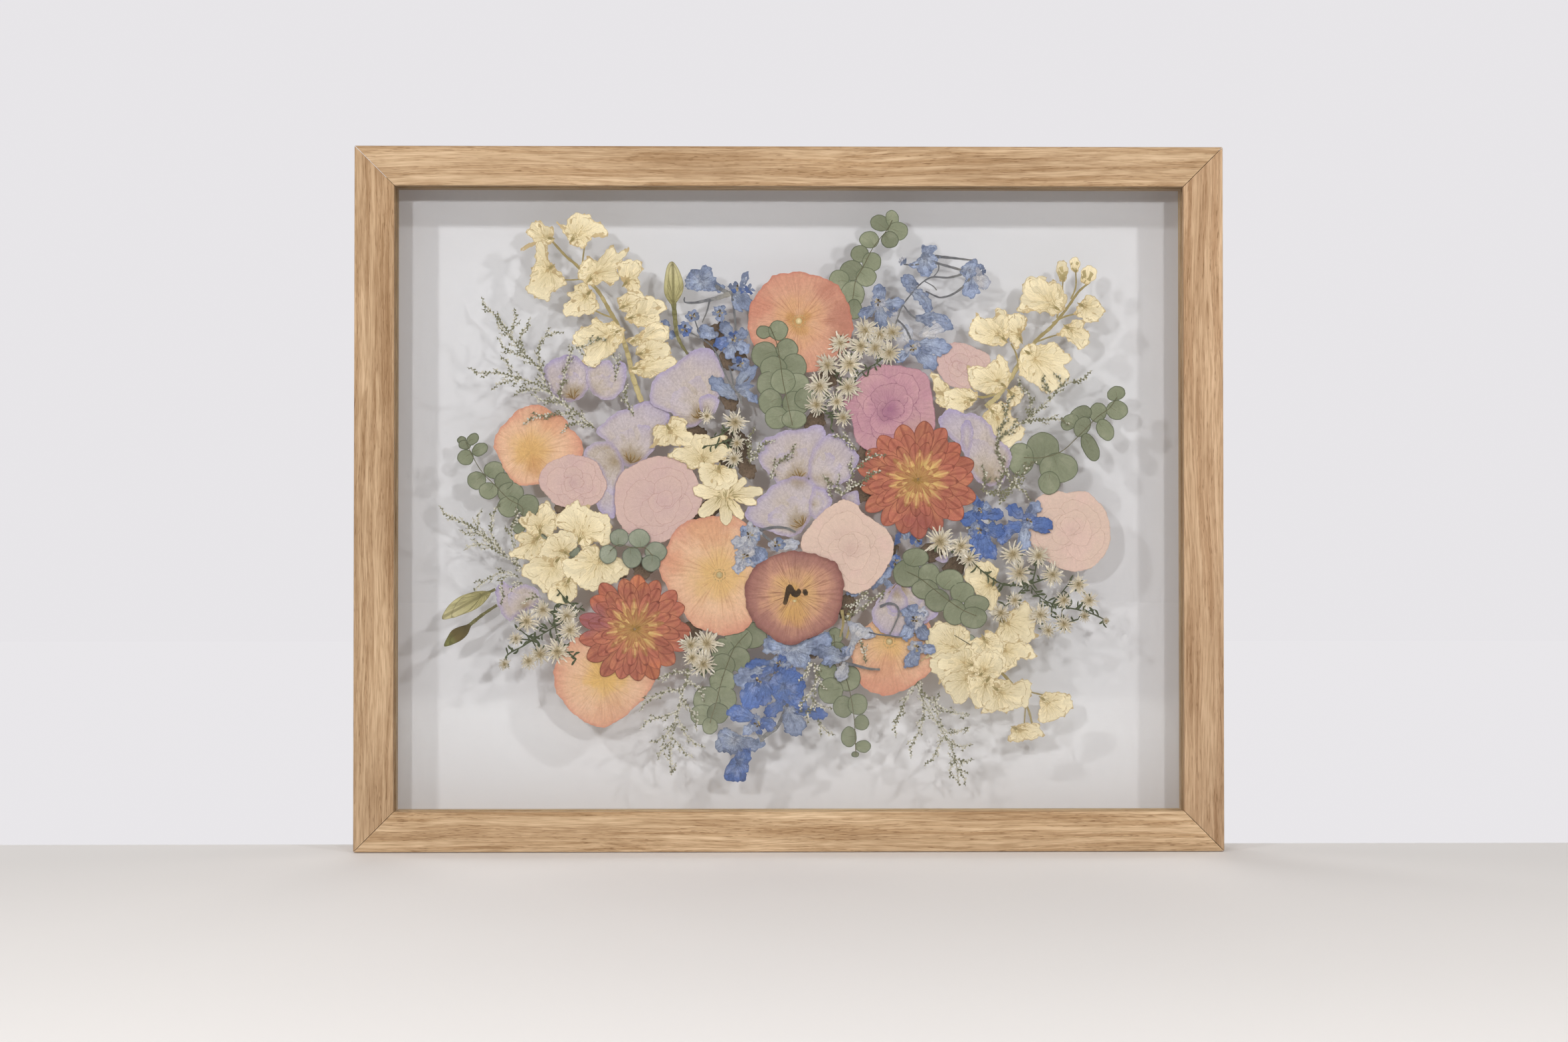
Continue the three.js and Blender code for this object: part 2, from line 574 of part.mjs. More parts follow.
specimen('stock_top_right', 4, COLOURS.cream, [
  stem([[190, 137], [183, 131], [178, 124], [172, 116], [165, 108], [158, 102], [152, 95],
    [146, 87], [141, 78], [136, 71], [131, 64], [124, 58]], 1.8, 5),
  petal(173, 137, 172, 151, 9),
  stem([[173, 139], [172, 127], [169, 114]], 1.2, 1.6),
  petal(181, 143, 180, 153, 8),
  stem([[181, 144], [181, 134], [178, 126]], 1.2, 1.6),
  petal(186, 136, 192, 147, 12),
  [[180, 117], [184, 124], [190, 129], [194, 125], [198, 122], [199, 117], [194, 112],
    [189, 111], [185, 113]],
  stem([[182, 117], [174, 115], [166, 111]], 1.4, 1.8),
  [[169, 104], [175, 110], [180, 113], [187, 113], [186, 108], [190, 104], [189, 98],
    [184, 94], [179, 97], [175, 101]],
  stem([[171, 104], [164, 102], [156, 99]], 1.2, 1.6),
  [[146, 124], [144, 120], [148, 117], [151, 120], [157, 118], [162, 118], [166, 116],
    [170, 117], [174, 121], [175, 128], [171, 133], [168, 138], [164, 136], [161, 140],
    [155, 140], [149, 138], [147, 131]],
  [[114, 108], [116, 113], [118, 117], [123, 114], [129, 115], [131, 121], [136, 119],
    [139, 114], [140, 108], [139, 102], [137, 98], [132, 96], [126, 98], [120, 99], [114, 103]],
  [[138, 116], [145, 117], [150, 114], [149, 108], [146, 106], [147, 100], [144, 94],
    [140, 98], [138, 106]],
  stem([[140, 98], [143, 92], [145, 84]], 1.4, 1.8),
  [[146, 92], [150, 97], [156, 98], [160, 97], [166, 99], [171, 96], [173, 93], [178, 90],
    [177, 86], [173, 84], [177, 79], [175, 74], [170, 70], [165, 67], [160, 68], [156, 72],
    [150, 75], [145, 79]],
  [[113, 84], [118, 84], [124, 84], [128, 88], [133, 91], [138, 85], [140, 78], [138, 71],
    [132, 67], [125, 66], [120, 68], [115, 70], [113, 76]],
  [[89, 80], [94, 78], [98, 73], [102, 69], [102, 61], [97, 57], [93, 60], [91, 70]],
  [[98, 68], [106, 70], [112, 69], [118, 68], [117, 61], [112, 56], [106, 52], [99, 55],
    [97, 62]],
  stem([[114, 66], [122, 64], [130, 66]], 2, 2.4),
  [[137, 62], [139, 69], [145, 71], [148, 66], [145, 60], [139, 57]],
  [[122, 50], [125, 57], [131, 61], [138, 60], [141, 52], [146, 48], [149, 42], [146, 37],
    [140, 33], [135, 31], [129, 38], [125, 44]],
]);

specimen('stock_left', 4, COLOURS.cream, [
  [[-171, -13], [-166, -11], [-165, -7], [-160, -10], [-157, -4], [-153, -1], [-150, -4],
    [-147, -10], [-146, -17], [-150, -24], [-156, -22], [-161, -25], [-167, -18]],
  [[-146, -10], [-139, -4], [-135, -1], [-131, -4], [-126, -4], [-123, -8], [-116, -9],
    [-112.5, -13], [-112, -18], [-113, -24], [-113, -29], [-119, -29], [-123, -26], [-126, -31],
    [-132, -30], [-136, -23], [-142, -20], [-148, -16]],
  [[-173, -24], [-169, -21], [-162, -23], [-155, -24], [-152, -31], [-156, -38], [-166, -38],
    [-175, -37], [-176, -33], [-170, -30]],
  [[-153, -25], [-147, -21], [-140, -20], [-134, -24], [-134, -30], [-139, -34], [-140, -40],
    [-150, -41], [-158, -37], [-156, -29]],
  [[-169, -47], [-166, -41], [-158, -36], [-149, -37], [-142, -37], [-139, -44], [-142, -52],
    [-147, -59], [-153, -60], [-160, -54]],
  [[-143, -39], [-135, -37], [-129, -30], [-122, -29], [-117, -34], [-110, -37], [-103, -39],
    [-100, -45], [-108, -52], [-117, -57], [-127, -58], [-134, -53], [-141, -48]],
  [[-150, -55], [-144, -51], [-137, -50], [-133, -57], [-137, -65], [-145, -66], [-152, -62]],
]);

specimen('stock_centre', 1, COLOURS.cream, [
  [[-88, 32], [-85, 38], [-87, 42], [-83, 47], [-77, 46], [-75, 51], [-69, 52], [-64, 48],
    [-65, 43], [-60, 41], [-58, 36], [-62, 32], [-69, 33], [-76, 33], [-82, 33]],
  [[-71, 32], [-64, 34], [-60, 40], [-54, 41], [-49, 39], [-41, 41], [-39, 38], [-44, 35],
    [-38, 34], [-36, 30], [-40, 25], [-47, 23], [-54, 20], [-61, 18], [-68, 23], [-77, 27]],
  [[-56, 24], [-50, 22], [-44, 21], [-38, 20], [-33, 17], [-32, 12], [-36, 7], [-44, 5],
    [-54, 9], [-57, 16]],
  petal(-40, 2, -61, 6, 11),
  petal(-41, 2, -57, -11, 11),
  petal(-40, 1, -40, -17, 10),
  petal(-39, 1, -29, -13, 8),
  petal(-38, 2, -20, -3, 7),
  petal(-38, 3, -16, 5, 9),
  petal(-39, 2, -27, 13, 7),
  petal(-40, 0, -42, 14, 10),
]);

specimen('stock_low_right', 4, COLOURS.cream, [
  [[110, -46], [114, -41], [120, -39], [127, -40], [132, -45], [130, -53], [133, -60],
    [131, -66], [131, -74], [124, -69], [118, -61], [112, -55]],
  [[129, -68], [134, -72], [141, -70], [146, -66], [150, -65], [152, -71], [155, -76],
    [155, -83], [157, -87], [150, -91], [142, -92], [134, -91], [130, -86], [132, -78]],
  [[133, -90], [142, -90], [149, -90], [154, -95], [156, -99], [152, -102], [146, -101],
    [142, -106], [137, -109], [130, -107], [127, -98]],
  [[86, -90], [87, -84], [91, -79], [96, -77], [103, -79], [109, -80], [113, -83], [114, -89],
    [112, -95], [105, -99], [96, -99], [82, -102], [88, -97]],
  [[88, -106], [90, -100], [97, -97], [105, -94], [112, -91], [118, -96], [119, -105],
    [114, -112], [106, -113], [98, -115], [95, -117], [93, -112]],
  [[113, -91], [117, -88], [122, -87], [124, -83], [129, -84], [134, -90], [134, -98],
    [126, -101], [118, -98]],
  [[115, -102], [120, -97], [128, -95], [135, -98], [137, -105], [133, -112], [126, -115],
    [118, -112]],
  [[98, -112], [104, -109], [112, -108], [119, -111], [119, -119], [115, -124], [110, -127],
    [107, -130], [103, -127], [100, -122], [96, -117]],
  [[113, -110], [120, -112], [128, -113], [133, -118], [130, -127], [123, -130], [118, -132],
    [115, -126], [112, -118]],
  [[129, -114], [137, -114], [143, -116], [148, -113], [153, -118], [152, -125], [150, -131],
    [143, -132], [138, -135], [131, -134], [122, -136], [122, -131], [128, -124]],
  stem([[132, -108], [137, -113], [142, -119], [147, -126], [151, -134], [153, -142]], 3, 1.8),
  stem([[145, -121], [152, -122], [161, -124]], 1.4, 1.4),
  [[159, -123], [165, -122], [172, -122], [177, -124], [179, -130], [175, -136], [169, -138],
    [163, -141], [157, -140], [158, -131]],
  stem([[149, -129], [148, -143]], 1.2, 1.2),
  [[138, -153], [139, -147], [142, -143], [148, -142], [155, -141], [159, -145], [160, -150],
    [153, -152], [146, -153]],
]);

// ---- Delphiniums: blue petals, pale eyes and long grey spurs on wiry stems ----
specimen('delphinium_top_left', 3, COLOURS.blue, [
  stem([[-57, 102], [-50, 97], [-46, 92], [-42, 82], [-37, 72], [-32, 66], [-30, 60]], 1.2, 2.2),
  [[-66, 137], [-62, 144], [-56, 145], [-53, 148], [-49, 145], [-46, 138], [-40, 133],
    [-44, 130], [-52, 131], [-60, 131], [-65, 133]],
  stem([[-47, 134], [-41, 131], [-36, 129]], 5, 3),
  stem([[-66, 127], [-66, 124], [-60, 123.5], [-52, 125], [-44, 127], [-36, 130]], 1.2, 6),
  oval(-32, 133, 8, 3.4),
  oval(-25, 132, 3.4),
  petal(-30, 133, -26, 144, 4),
  petal(-35, 131, -26, 118, 10),
  stem([[-36, 129], [-35, 120], [-34, 110], [-33, 100]], 2.4, 2.4),
  stem([[-50, 126], [-52, 118], [-55, 111]], 2, 1.2),
  oval(-44, 117, 4.4, 5.4),
  oval(-61, 115, 4.6, 4),
  petal(-45, 103, -58, 108, 10),
  oval(-66, 107, 4.6, 5.4),
  stem([[-66, 106], [-61, 104], [-56, 101]], 1.8, 1.4),
  stem([[-60, 114], [-58, 108], [-55, 101]], 1.4, 1.4),
  petal(-36, 100, -48, 96, 9),
  petal(-36, 102, -43, 112, 9),
  petal(-34, 101, -26, 106, 8),
  petal(-35, 99, -25, 92, 9),
  petal(-36, 98, -40, 88, 9),
  oval(-35, 101, 4.6),
  oval(-31, 85, 6.4, 5),
  petal(-33, 63, -51, 77, 10),
  petal(-34, 70, -19, 84, 7),
  petal(-34, 69, -22, 72, 5),
  petal(-32, 68, -19, 60, 6),
  stem([[-38, 84], [-36, 76], [-35, 70]], 2, 2),
]);

specimen('delphinium_top_right', 3, COLOURS.paleBlue, [
  stem([[81, 134], [86, 138], [91, 140], [99, 139.5], [105, 140.5], [112, 143]], 1.4, 2.6),
  stem([[91, 140], [94, 144], [94, 148], [91, 150]], 1, 1.8),
  [[84, 160], [89, 159.5], [94, 159.5], [91, 155], [95, 152], [93, 147], [89, 141],
    [84, 140], [80, 145], [75, 147], [80, 150], [84, 155]],
  oval(71.5, 150, 3, 3.2),
  stem([[72, 148], [77, 147.5], [82, 148]], 1.4, 1.8),
  stem([[92, 153], [103, 152], [116, 150.5]], 3.4, 1.6),
  stem([[92, 149], [101, 146.5], [110, 144]], 2.6, 2.6),
  [[108, 145], [112, 148], [116, 151], [119, 151], [120, 146], [118, 140], [113, 137],
    [109, 141]],
  oval(121, 144, 4, 4.6),
  petal(116, 140, 115, 126, 12),
  petal(117, 141, 125, 132, 9),
  stem([[85, 137.5], [91, 134], [93, 131.5]], 1, 1.4),
  stem([[86, 131], [92, 128], [96, 127], [103, 129], [110, 134], [114, 139]], 1.6, 2.6),
  petal(81, 134, 70, 140, 9),
  petal(80, 136, 75, 130, 8),
  petal(76, 132, 89, 124, 9),
  petal(84, 130, 88, 116, 7),
  stem([[82, 135], [76, 128], [71, 121], [67, 110]], 1.6, 1.4),
  petal(58, 123, 55, 136, 9),
  petal(58, 123, 73, 125, 8),
  petal(56, 122, 56, 106, 9),
  petal(55, 121, 43, 115, 8),
  oval(56, 124, 5, 5),
  oval(65, 118, 4, 4),
  stem([[72, 122], [78, 115], [88, 111]], 1.4, 2.6),
  petal(76, 98, 73, 110, 8),
  petal(80, 114, 104, 107, 11),
  petal(82, 103, 100, 114, 10),
  petal(78, 97, 103, 95, 12),
  petal(78, 95, 93, 81, 11),
  petal(76, 94, 66, 86, 8),
  oval(78, 95, 5.6),
  stem([[68, 113], [73, 108], [78, 98]], 2, 2),
]);

specimen('delphinium_pale', 1, COLOURS.paleBlue, [
  oval(-25, -23, 7, 8.4),
  oval(-28, -36, 7, 7.4),
  petal(-26, -30, -37, -27, 9),
  petal(-26, -38, -13, -39, 10),
  petal(-27, -38, -33, -48, 8),
  petal(-22, -30, -14, -38, 9),
  stem([[-19, -20], [-10, -18], [-2, -18.5], [4, -21]], 3, 2),
  stem([[-19, -20], [-15, -24], [-9, -29]], 2.6, 2.6),
  oval(-8, -29, 6, 4.4),
  petal(-8, -29, 7, -28, 8),
]);

specimen('delphinium_right', 2, COLOURS.blue, [
  petal(149, -13, 157.5, -1, 9),
  petal(149, -12, 137, -4, 9),
  petal(149, -16, 134.5, -19, 9),
  petal(149, -16, 147, -35, 9),
  petal(150, -16, 167, -18.5, 9.5),
  oval(151, -14, 5, 5.6),
  petal(142, -20, 132, -29, 8),
  oval(121, -7, 6, 7),
  petal(119, -8, 108, -16, 10),
  petal(119, -4, 115, 3, 7),
  petal(121, -10, 136, -10, 9),
  oval(119.5, -20, 7, 6),
  petal(119, -20, 118, -40, 12),
  petal(122, -20, 131, -38, 11),
  petal(122, -18, 136, -23, 10),
]);

specimen('delphinium_bottom', 3, COLOURS.blue, [
  [[-17, -93], [-14, -86], [-8, -86], [-2, -90], [8, -90], [18, -86], [25, -84], [27, -91],
    [24, -96], [14, -98], [13, -105], [7, -107], [0, -104], [-8, -98], [-15, -98]],
  oval(-6, -104, 6.5, 6),
  petal(-8, -104, -28, -104, 13),
  petal(-14, -108, -36, -114, 15),
  petal(-20, -114, -30, -131, 15),
  petal(-16, -114, -18, -131, 11),
  oval(-19, -114, 8, 4),
  [[-13, -116], [-6, -108], [2, -106], [9, -112], [10, -120], [6, -129], [-2, -131],
    [-9, -127]],
  petal(-3, -127, -16, -137, 9),
  petal(0, -124, 12, -133, 10),
  stem([[-1, -129], [-4, -136], [-8, -144], [-15, -149], [-22, -155]], 3, 5),
  petal(-1, -131, 6, -150, 15),
  petal(3, -134, 25, -137, 9),
  petal(-22, -138, -40, -134, 11),
  petal(-17, -138, -9, -146, 9),
  petal(-20, -140, -30, -148, 7),
  oval(-20, -142, 4.6, 7),
  stem([[-20, -146], [-18, -150], [-17, -153]], 5, 4),
  [[-42, -144], [-36, -146], [-30, -149], [-22, -151], [-15, -152], [-19, -158], [-25, -160],
    [-33, -161], [-41, -160], [-47, -157], [-44, -151]],
  [[-31, -158], [-24, -158], [-25, -167], [-27, -175], [-29, -178], [-34, -177], [-40, -177],
    [-40, -170], [-36, -165]],
]);

specimen('delphinium_low_right', 0, COLOURS.blue, [
  [[37, -77], [42, -79], [48, -80], [54, -84], [53, -88], [46, -88], [42, -91], [40, -97],
    [36, -102], [33, -101], [38, -92], [39, -85]],
  petal(35, -100, 13, -97, 9),
  petal(34, -101, 20, -104, 8),
  petal(35, -100, 35, -92, 7),
  stem([[33, -103], [42, -105], [50, -107], [57, -107.5]], 3.4, 2.2),
  petal(35, -103, 30, -115, 9),
  stem([[50, -84], [56, -85.5], [62, -86], [70, -87], [79, -84]], 1.6, 1.4),
  stem([[57, -68], [62, -66], [67, -67], [69, -72], [66, -80], [63, -86]], 2.6, 1.2),
  petal(78, -74, 71, -69, 8),
  petal(78, -76, 80, -66, 8),
  petal(79, -75, 88, -72, 9),
  oval(79, -76, 6.4, 6),
  petal(79, -78, 73, -90, 9),
  petal(80, -78, 85, -90, 9),
  oval(80, -94, 5.4, 5),
  petal(79, -94, 72, -107, 7),
  petal(80, -95, 80, -106, 7),
  petal(81, -94, 93, -95, 7),
]);

// ---- Eucalyptus: round leaves strung along a thin stem ----
function eucalyptus(name, layer, line, leaves) {
  const stalk = stem(line, 1, 1.4);
  specimen(name, layer, COLOURS.leaf, [stalk, ...leaves.map((leaf) => oval(...leaf))]);
}

eucalyptus('eucalyptus_top', 4,
  [[65, 176], [62, 170], [57, 164], [52, 157], [47, 147], [42, 138], [40, 126]],
  [[57.5, 174, 6.6, 5.2, -15], [65, 176.5, 4.2, 6, 10], [68.5, 169, 6.6, 6], [63.5, 163.5, 5.6, 5.4],
    [50.5, 163.5, 6.3, 5.5], [44.5, 154.5, 5.8, 5.6], [52, 149.5, 6.2, 6.2], [39.5, 144, 7.6, 6.6],
    [48.5, 140, 6.6, 6.2], [31.5, 138, 6.6, 6.6], [40, 129, 7.6, 8.6], [41, 119.5, 5, 6.6]]);

eucalyptus('eucalyptus_centre', 1,
  [[-12, 108], [-8, 98], [-6, 88], [-4, 74], [-1, 60], [2, 46]],
  [[-16, 105, 5, 4.2], [-7, 106, 6.2, 6.4], [-15.5, 90.5, 8.6, 8.6], [-1.5, 94, 7, 7],
    [3, 83, 8, 8.6], [-10, 82, 8.6, 8], [-13, 72, 7.6, 8.4], [5, 71, 8, 8.4], [-4, 74, 8, 8],
    [-12, 61, 7.6, 8.4], [4, 60, 8.6, 8], [10, 63, 7, 7], [-8, 51, 7.6, 7.4], [3, 50, 8, 6]]);

eucalyptus('eucalyptus_right', 5,
  [[207, 64], [202, 57], [195, 52], [187, 44], [180, 37], [172, 30], [160, 26], [148, 26]],
  [[206.5, 66.5, 6, 4.6, 20], [207, 56, 7, 6.2], [195, 54.5, 5.6, 6.4, -20], [184, 53, 7.6, 5.4, 30],
    [177, 48.5, 6.4, 4.6, 40], [185, 45.5, 7, 5, 60], [199.5, 43.5, 7.4, 5.2, -60],
    [190, 32.5, 9.6, 5, -65], [160, 31.5, 10.6, 10.6], [146, 25, 8.6, 10.4], [170, 19.5, 12.4, 9.6],
    [164, 10, 7, 7.4]]);

eucalyptus('eucalyptus_left', 7,
  [[-204, 36], [-201, 30], [-197, 22], [-192, 15], [-186, 9], [-177, 0], [-168, -6], [-170, -16]],
  [[-206.5, 37, 3, 2.4], [-204.5, 34, 4, 3.2], [-199.5, 37.5, 4.4, 3.4, 40], [-195, 31, 5.4, 4, 30],
    [-204, 26, 5.2, 5], [-186, 18, 6.6, 5.6], [-197, 11.5, 6, 5.8], [-189.5, 5, 6.2, 5.4],
    [-180, 11, 6, 5.6], [-175.5, 3.5, 8.4, 7], [-176.5, -5, 7.4, 6.8], [-164.5, -4.5, 7, 7.4],
    [-170.5, -17, 4.6, 5.4]]);

eucalyptus('eucalyptus_mid_left', 0,
  [[-113, -33], [-107, -29], [-99, -31], [-91, -31], [-86, -36]],
  [[-107, -24.5, 6, 5.6], [-94.5, -25, 6.8, 6], [-114, -35, 5.6, 6], [-99, -37, 6.2, 6.8],
    [-84, -33.5, 7, 6.4], [-87, -40.5, 6, 5.4]]);

eucalyptus('eucalyptus_bottom_left', 4,
  [[-26, -84], [-34, -93], [-39, -104], [-43, -116], [-46, -128], [-50, -141]],
  [[-23, -86, 9, 8.4], [-32, -88.5, 9, 8], [-42, -96, 7.4, 8.4], [-32, -101, 7.4, 8],
    [-42, -105, 8, 7.6], [-42, -115, 8.4, 8], [-41, -126, 8, 8], [-52, -127, 8.6, 9],
    [-55, -136, 7.6, 6.6], [-45, -135, 7, 6.6], [-50, -143, 5, 5.4]]);

eucalyptus('eucalyptus_bottom_right', 5,
  [[28, -86], [30, -100], [36, -114], [39, -126], [41, -140], [41.5, -152], [42, -162]],
  [[29, -86.5, 5, 5.4], [24, -108, 6, 6.6], [30, -96, 6, 6], [37, -113, 8, 8.4], [26, -121, 8, 8.4],
    [34, -131, 6.6, 7], [43, -129.5, 6.4, 6.8], [45.5, -141, 4.8, 5], [37.5, -150, 5, 6.6],
    [46.5, -156, 5, 4], [41.5, -161, 2.4, 2]]);

eucalyptus('eucalyptus_low_right', 1,
  [[74, -46], [82, -50], [91, -57], [100, -64], [109, -70], [118, -74]],
  [[74, -47, 8.8, 8.8], [79.5, -37, 8.4, 6], [88, -48, 7, 7.4], [85.5, -57, 8.6, 6.4],
    [101, -51, 8.8, 6.6], [109, -59, 7.8, 6.6], [93, -64, 7.8, 7.4], [104, -71.5, 7.2, 8.2],
    [118, -66.5, 8, 6], [116, -75, 8.6, 7]]);

// ---- Asters: small white daisies on branching green stems ----
function aster(name, layer, lines, heads) {
  const stalks = lines.map((line) => stem(line, 1.2, 2));
  specimen(name, layer, COLOURS.white, [...stalks, ...heads.map((head) => rays(...head))]);
}

aster('aster_upper', 0,
  [[[62, 92], [56, 86], [46, 80], [38, 72], [30, 60], [26, 44]], [[32, 98], [40, 82], [39, 72]],
    [[19, 71], [26, 64], [28, 56]], [[24, 84], [32, 74], [36, 70]], [[54, 104], [57, 94], [55, 85]],
    [[17, 59], [23, 55], [27, 52]]],
  [[48, 106, 8], [57, 103, 7], [65, 105, 6.5], [32, 98, 7.5], [45, 96, 8], [54, 95, 7], [63, 92, 8],
    [24, 84, 8], [38, 85, 8.5], [19, 71, 8.5], [37, 70, 8.5], [17, 59, 7], [30, 61, 6], [34, 51, 6]]);

aster('aster_left', 2,
  [[[-130, -67], [-140, -76], [-150, -82], [-160, -88], [-168, -93], [-177, -98], [-180, -104]],
    [[-137, -68], [-147, -67], [-147, -82], [-143, -93], [-134, -101]],
    [[-172, -80], [-165, -86], [-158, -90], [-156, -98]], [[-146, -57], [-140, -64], [-134, -69]],
    [[-160, -79], [-152, -82]], [[-154, -69], [-147, -74], [-140, -79]],
    [[-172, -88], [-162, -89]]],
  [[-165, -77, 7.5], [-155, -70, 6.5], [-140, -74, 7.5], [-138, -83, 7.5], [-146, -96, 8],
    [-157, -98, 6.5], [-164, -102, 5.5], [-179, -104, 4], [-172, -88, 4.5]]);

aster('aster_low_centre', 0,
  [[[-52, -90], [-57, -98], [-58, -108]], [[-62, -93], [-58, -100]], [[-53, -104], [-57, -108]]],
  [[-52, -91, 9.5], [-62, -92, 7.5], [-54, -104, 8.5], [-61, -100, 6]]);

aster('aster_right', 0,
  [[[95, -27], [108, -33], [122, -46], [135, -54], [150, -54], [165, -49]],
    [[150, -52], [158, -62], [168, -67], [182, -70], [192, -73], [200, -77]],
    [[178, -51], [171, -60], [166, -66], [165, -74]], [[182, -70], [188, -62]],
    [[172, -68], [172, -78], [182, -76]], [[150, -54], [140, -64], [133, -72]],
    [[141, -36], [146, -46], [150, -53]], [[156, -36], [155, -45], [153, -53]],
    [[158, -62], [158, -72], [163, -83]]],
  [[95, -27, 9.5], [108, -30, 8], [113, -38, 7], [141, -35, 8], [157, -36, 7.5], [145, -47, 8.5],
    [166, -48, 7.5], [182, -54, 6.5], [173, -64, 5.5], [189, -64, 5.5], [173, -79, 6.5],
    [186, -74, 4], [199.5, -77, 2.5], [142, -64, 5.5], [133, -72, 6.5], [158, -73, 7], [163, -83, 5]]);

// ---- Limonium: wiry twigs beset with tiny flowers ----
function limonium(name, layer, lines) {
  specimen(name, layer, COLOURS.twig, lines.map((line) => twig(line)));
}

limonium('limonium_top_left', 1, [
  [[-193, 123], [-184, 114], [-179, 108], [-174, 100], [-166, 90], [-156, 80], [-153, 70], [-146, 62],
    [-134, 54], [-122, 44]],
  [[-183, 108], [-174, 101]],
  [[-172, 115], [-176, 103]],
  [[-164, 109], [-169, 103], [-168, 92]],
  [[-147, 105], [-157, 98], [-157, 80]],
  [[-181, 96], [-170, 90], [-165, 89]],
  [[-197, 79], [-184, 79], [-170, 76], [-154, 70]],
  [[-178, 87], [-175, 78]],
  [[-184, 72], [-168, 76]],
  [[-171, 67], [-158, 69], [-149, 66]],
  [[-164, 50], [-150, 53], [-132, 53]],
  [[-158, 62], [-143, 60]],
  [[-120, 101], [-131, 95], [-136, 95], [-140, 84], [-143, 72], [-145, 61]],
  [[-140, 46], [-132, 48], [-124, 46]],
]);

limonium('limonium_left', 5, [
  [[-218, -9], [-210, -13], [-203, -17], [-196, -20], [-188, -27], [-180, -34], [-172, -41],
    [-166, -45]],
  [[-196, -10], [-196, -19]],
  [[-185, -6], [-188, -20], [-183, -31]],
  [[-204, -22], [-196, -22], [-188, -28]],
  [[-202, -30], [-192, -29], [-180, -35]],
  [[-171, -9], [-175, -20], [-173, -32], [-171, -42]],
]);

limonium('limonium_right', 0, [
  [[187, 76], [179, 73], [172, 71], [165, 63], [158, 57], [150, 50], [140, 44], [131, 37]],
  [[160, 75], [163, 69], [165, 63]],
  [[170, 77], [172, 70]],
  [[145, 72], [152, 64], [151, 51]],
  [[172, 50], [160, 50], [150, 49]],
  [[138, 62], [136, 50], [131, 37], [134, 22], [141, 8]],
  [[153, 23], [148, 16], [141, 8], [130, 3], [120, 6]],
  [[124, 16], [122, 6]],
  [[134, 15], [132, 4]],
  [[143, 16], [142, 9]],
  [[149, 4], [141, 7], [133, -3]],
]);

limonium('limonium_bottom_left', 2, [
  [[-60, -104], [-66, -118], [-69, -130], [-73, -145], [-75, -158], [-74, -174]],
  [[-83, -113], [-74, -110], [-62, -108]],
  [[-92, -129], [-80, -122], [-67, -120]],
  [[-90, -140], [-79, -137], [-70, -134]],
  [[-58, -140], [-64, -130], [-68, -126]],
  [[-54, -124], [-61, -116], [-66, -116]],
  [[-84, -153], [-77, -148], [-73, -143]],
  [[-59, -155], [-66, -147], [-70, -138]],
  [[-82, -160], [-75, -153]],
  [[-65, -161], [-70, -154], [-74, -150]],
]);

limonium('limonium_bottom_right', 7, [
  [[80, -114], [83, -124], [90, -136], [96, -146], [102, -157], [105, -166], [107, -181]],
  [[66, -145], [71, -132], [77, -120], [81, -117]],
  [[76, -158], [82, -146], [85, -136], [84, -126]],
  [[82, -120], [93, -130], [104, -135], [114, -136]],
  [[92, -128], [94, -139]],
  [[95, -142], [101, -148], [114, -144]],
  [[99, -151], [106, -156], [116, -155]],
  [[90, -165], [94, -156], [98, -149]],
  [[101, -171], [105, -164]],
  [[112, -166], [104, -164]],
  [[111, -177], [106, -170]],
]);

export default object;
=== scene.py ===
# %% [markdown]
# # Pressed flowers in an oak frame
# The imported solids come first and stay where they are. Every piece made below
# lies in the same frame: metres, +Z up, the glass facing -Y.

# %% Load the solids
import math
import random

import bmesh
import bpy
import numpy as np
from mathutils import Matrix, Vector
from mathutils.geometry import delaunay_2d_cdt


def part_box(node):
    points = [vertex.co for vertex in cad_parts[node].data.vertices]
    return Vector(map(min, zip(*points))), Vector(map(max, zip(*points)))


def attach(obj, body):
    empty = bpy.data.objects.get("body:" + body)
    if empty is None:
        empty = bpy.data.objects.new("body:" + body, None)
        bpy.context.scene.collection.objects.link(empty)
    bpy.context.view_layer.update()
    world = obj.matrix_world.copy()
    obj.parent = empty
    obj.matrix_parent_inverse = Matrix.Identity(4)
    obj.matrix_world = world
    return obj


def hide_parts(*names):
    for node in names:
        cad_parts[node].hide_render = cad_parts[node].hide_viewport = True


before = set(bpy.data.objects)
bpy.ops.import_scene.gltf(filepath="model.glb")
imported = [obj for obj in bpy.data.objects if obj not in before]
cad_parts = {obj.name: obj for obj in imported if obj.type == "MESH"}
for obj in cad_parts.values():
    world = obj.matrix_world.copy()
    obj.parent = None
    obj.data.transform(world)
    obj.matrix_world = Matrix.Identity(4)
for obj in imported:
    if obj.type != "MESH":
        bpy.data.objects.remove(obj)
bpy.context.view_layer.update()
print("solids loaded:", len(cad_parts))

# %% [markdown]
# ## Helpers
# Colours are written as sRGB hex and turned linear in one place. One function
# adds a shader node with its settings and its links, one puts an object in the
# scene, and one hides it from some kinds of ray.

# %% Colour, node and object helpers
def linear(hex_colour):
    channels = [int(hex_colour[i:i + 2], 16) / 255 for i in (0, 2, 4)]
    return tuple(c / 12.92 if c < 0.0405 else ((c + 0.055) / 1.055) ** 2.4 for c in channels) + (1,)


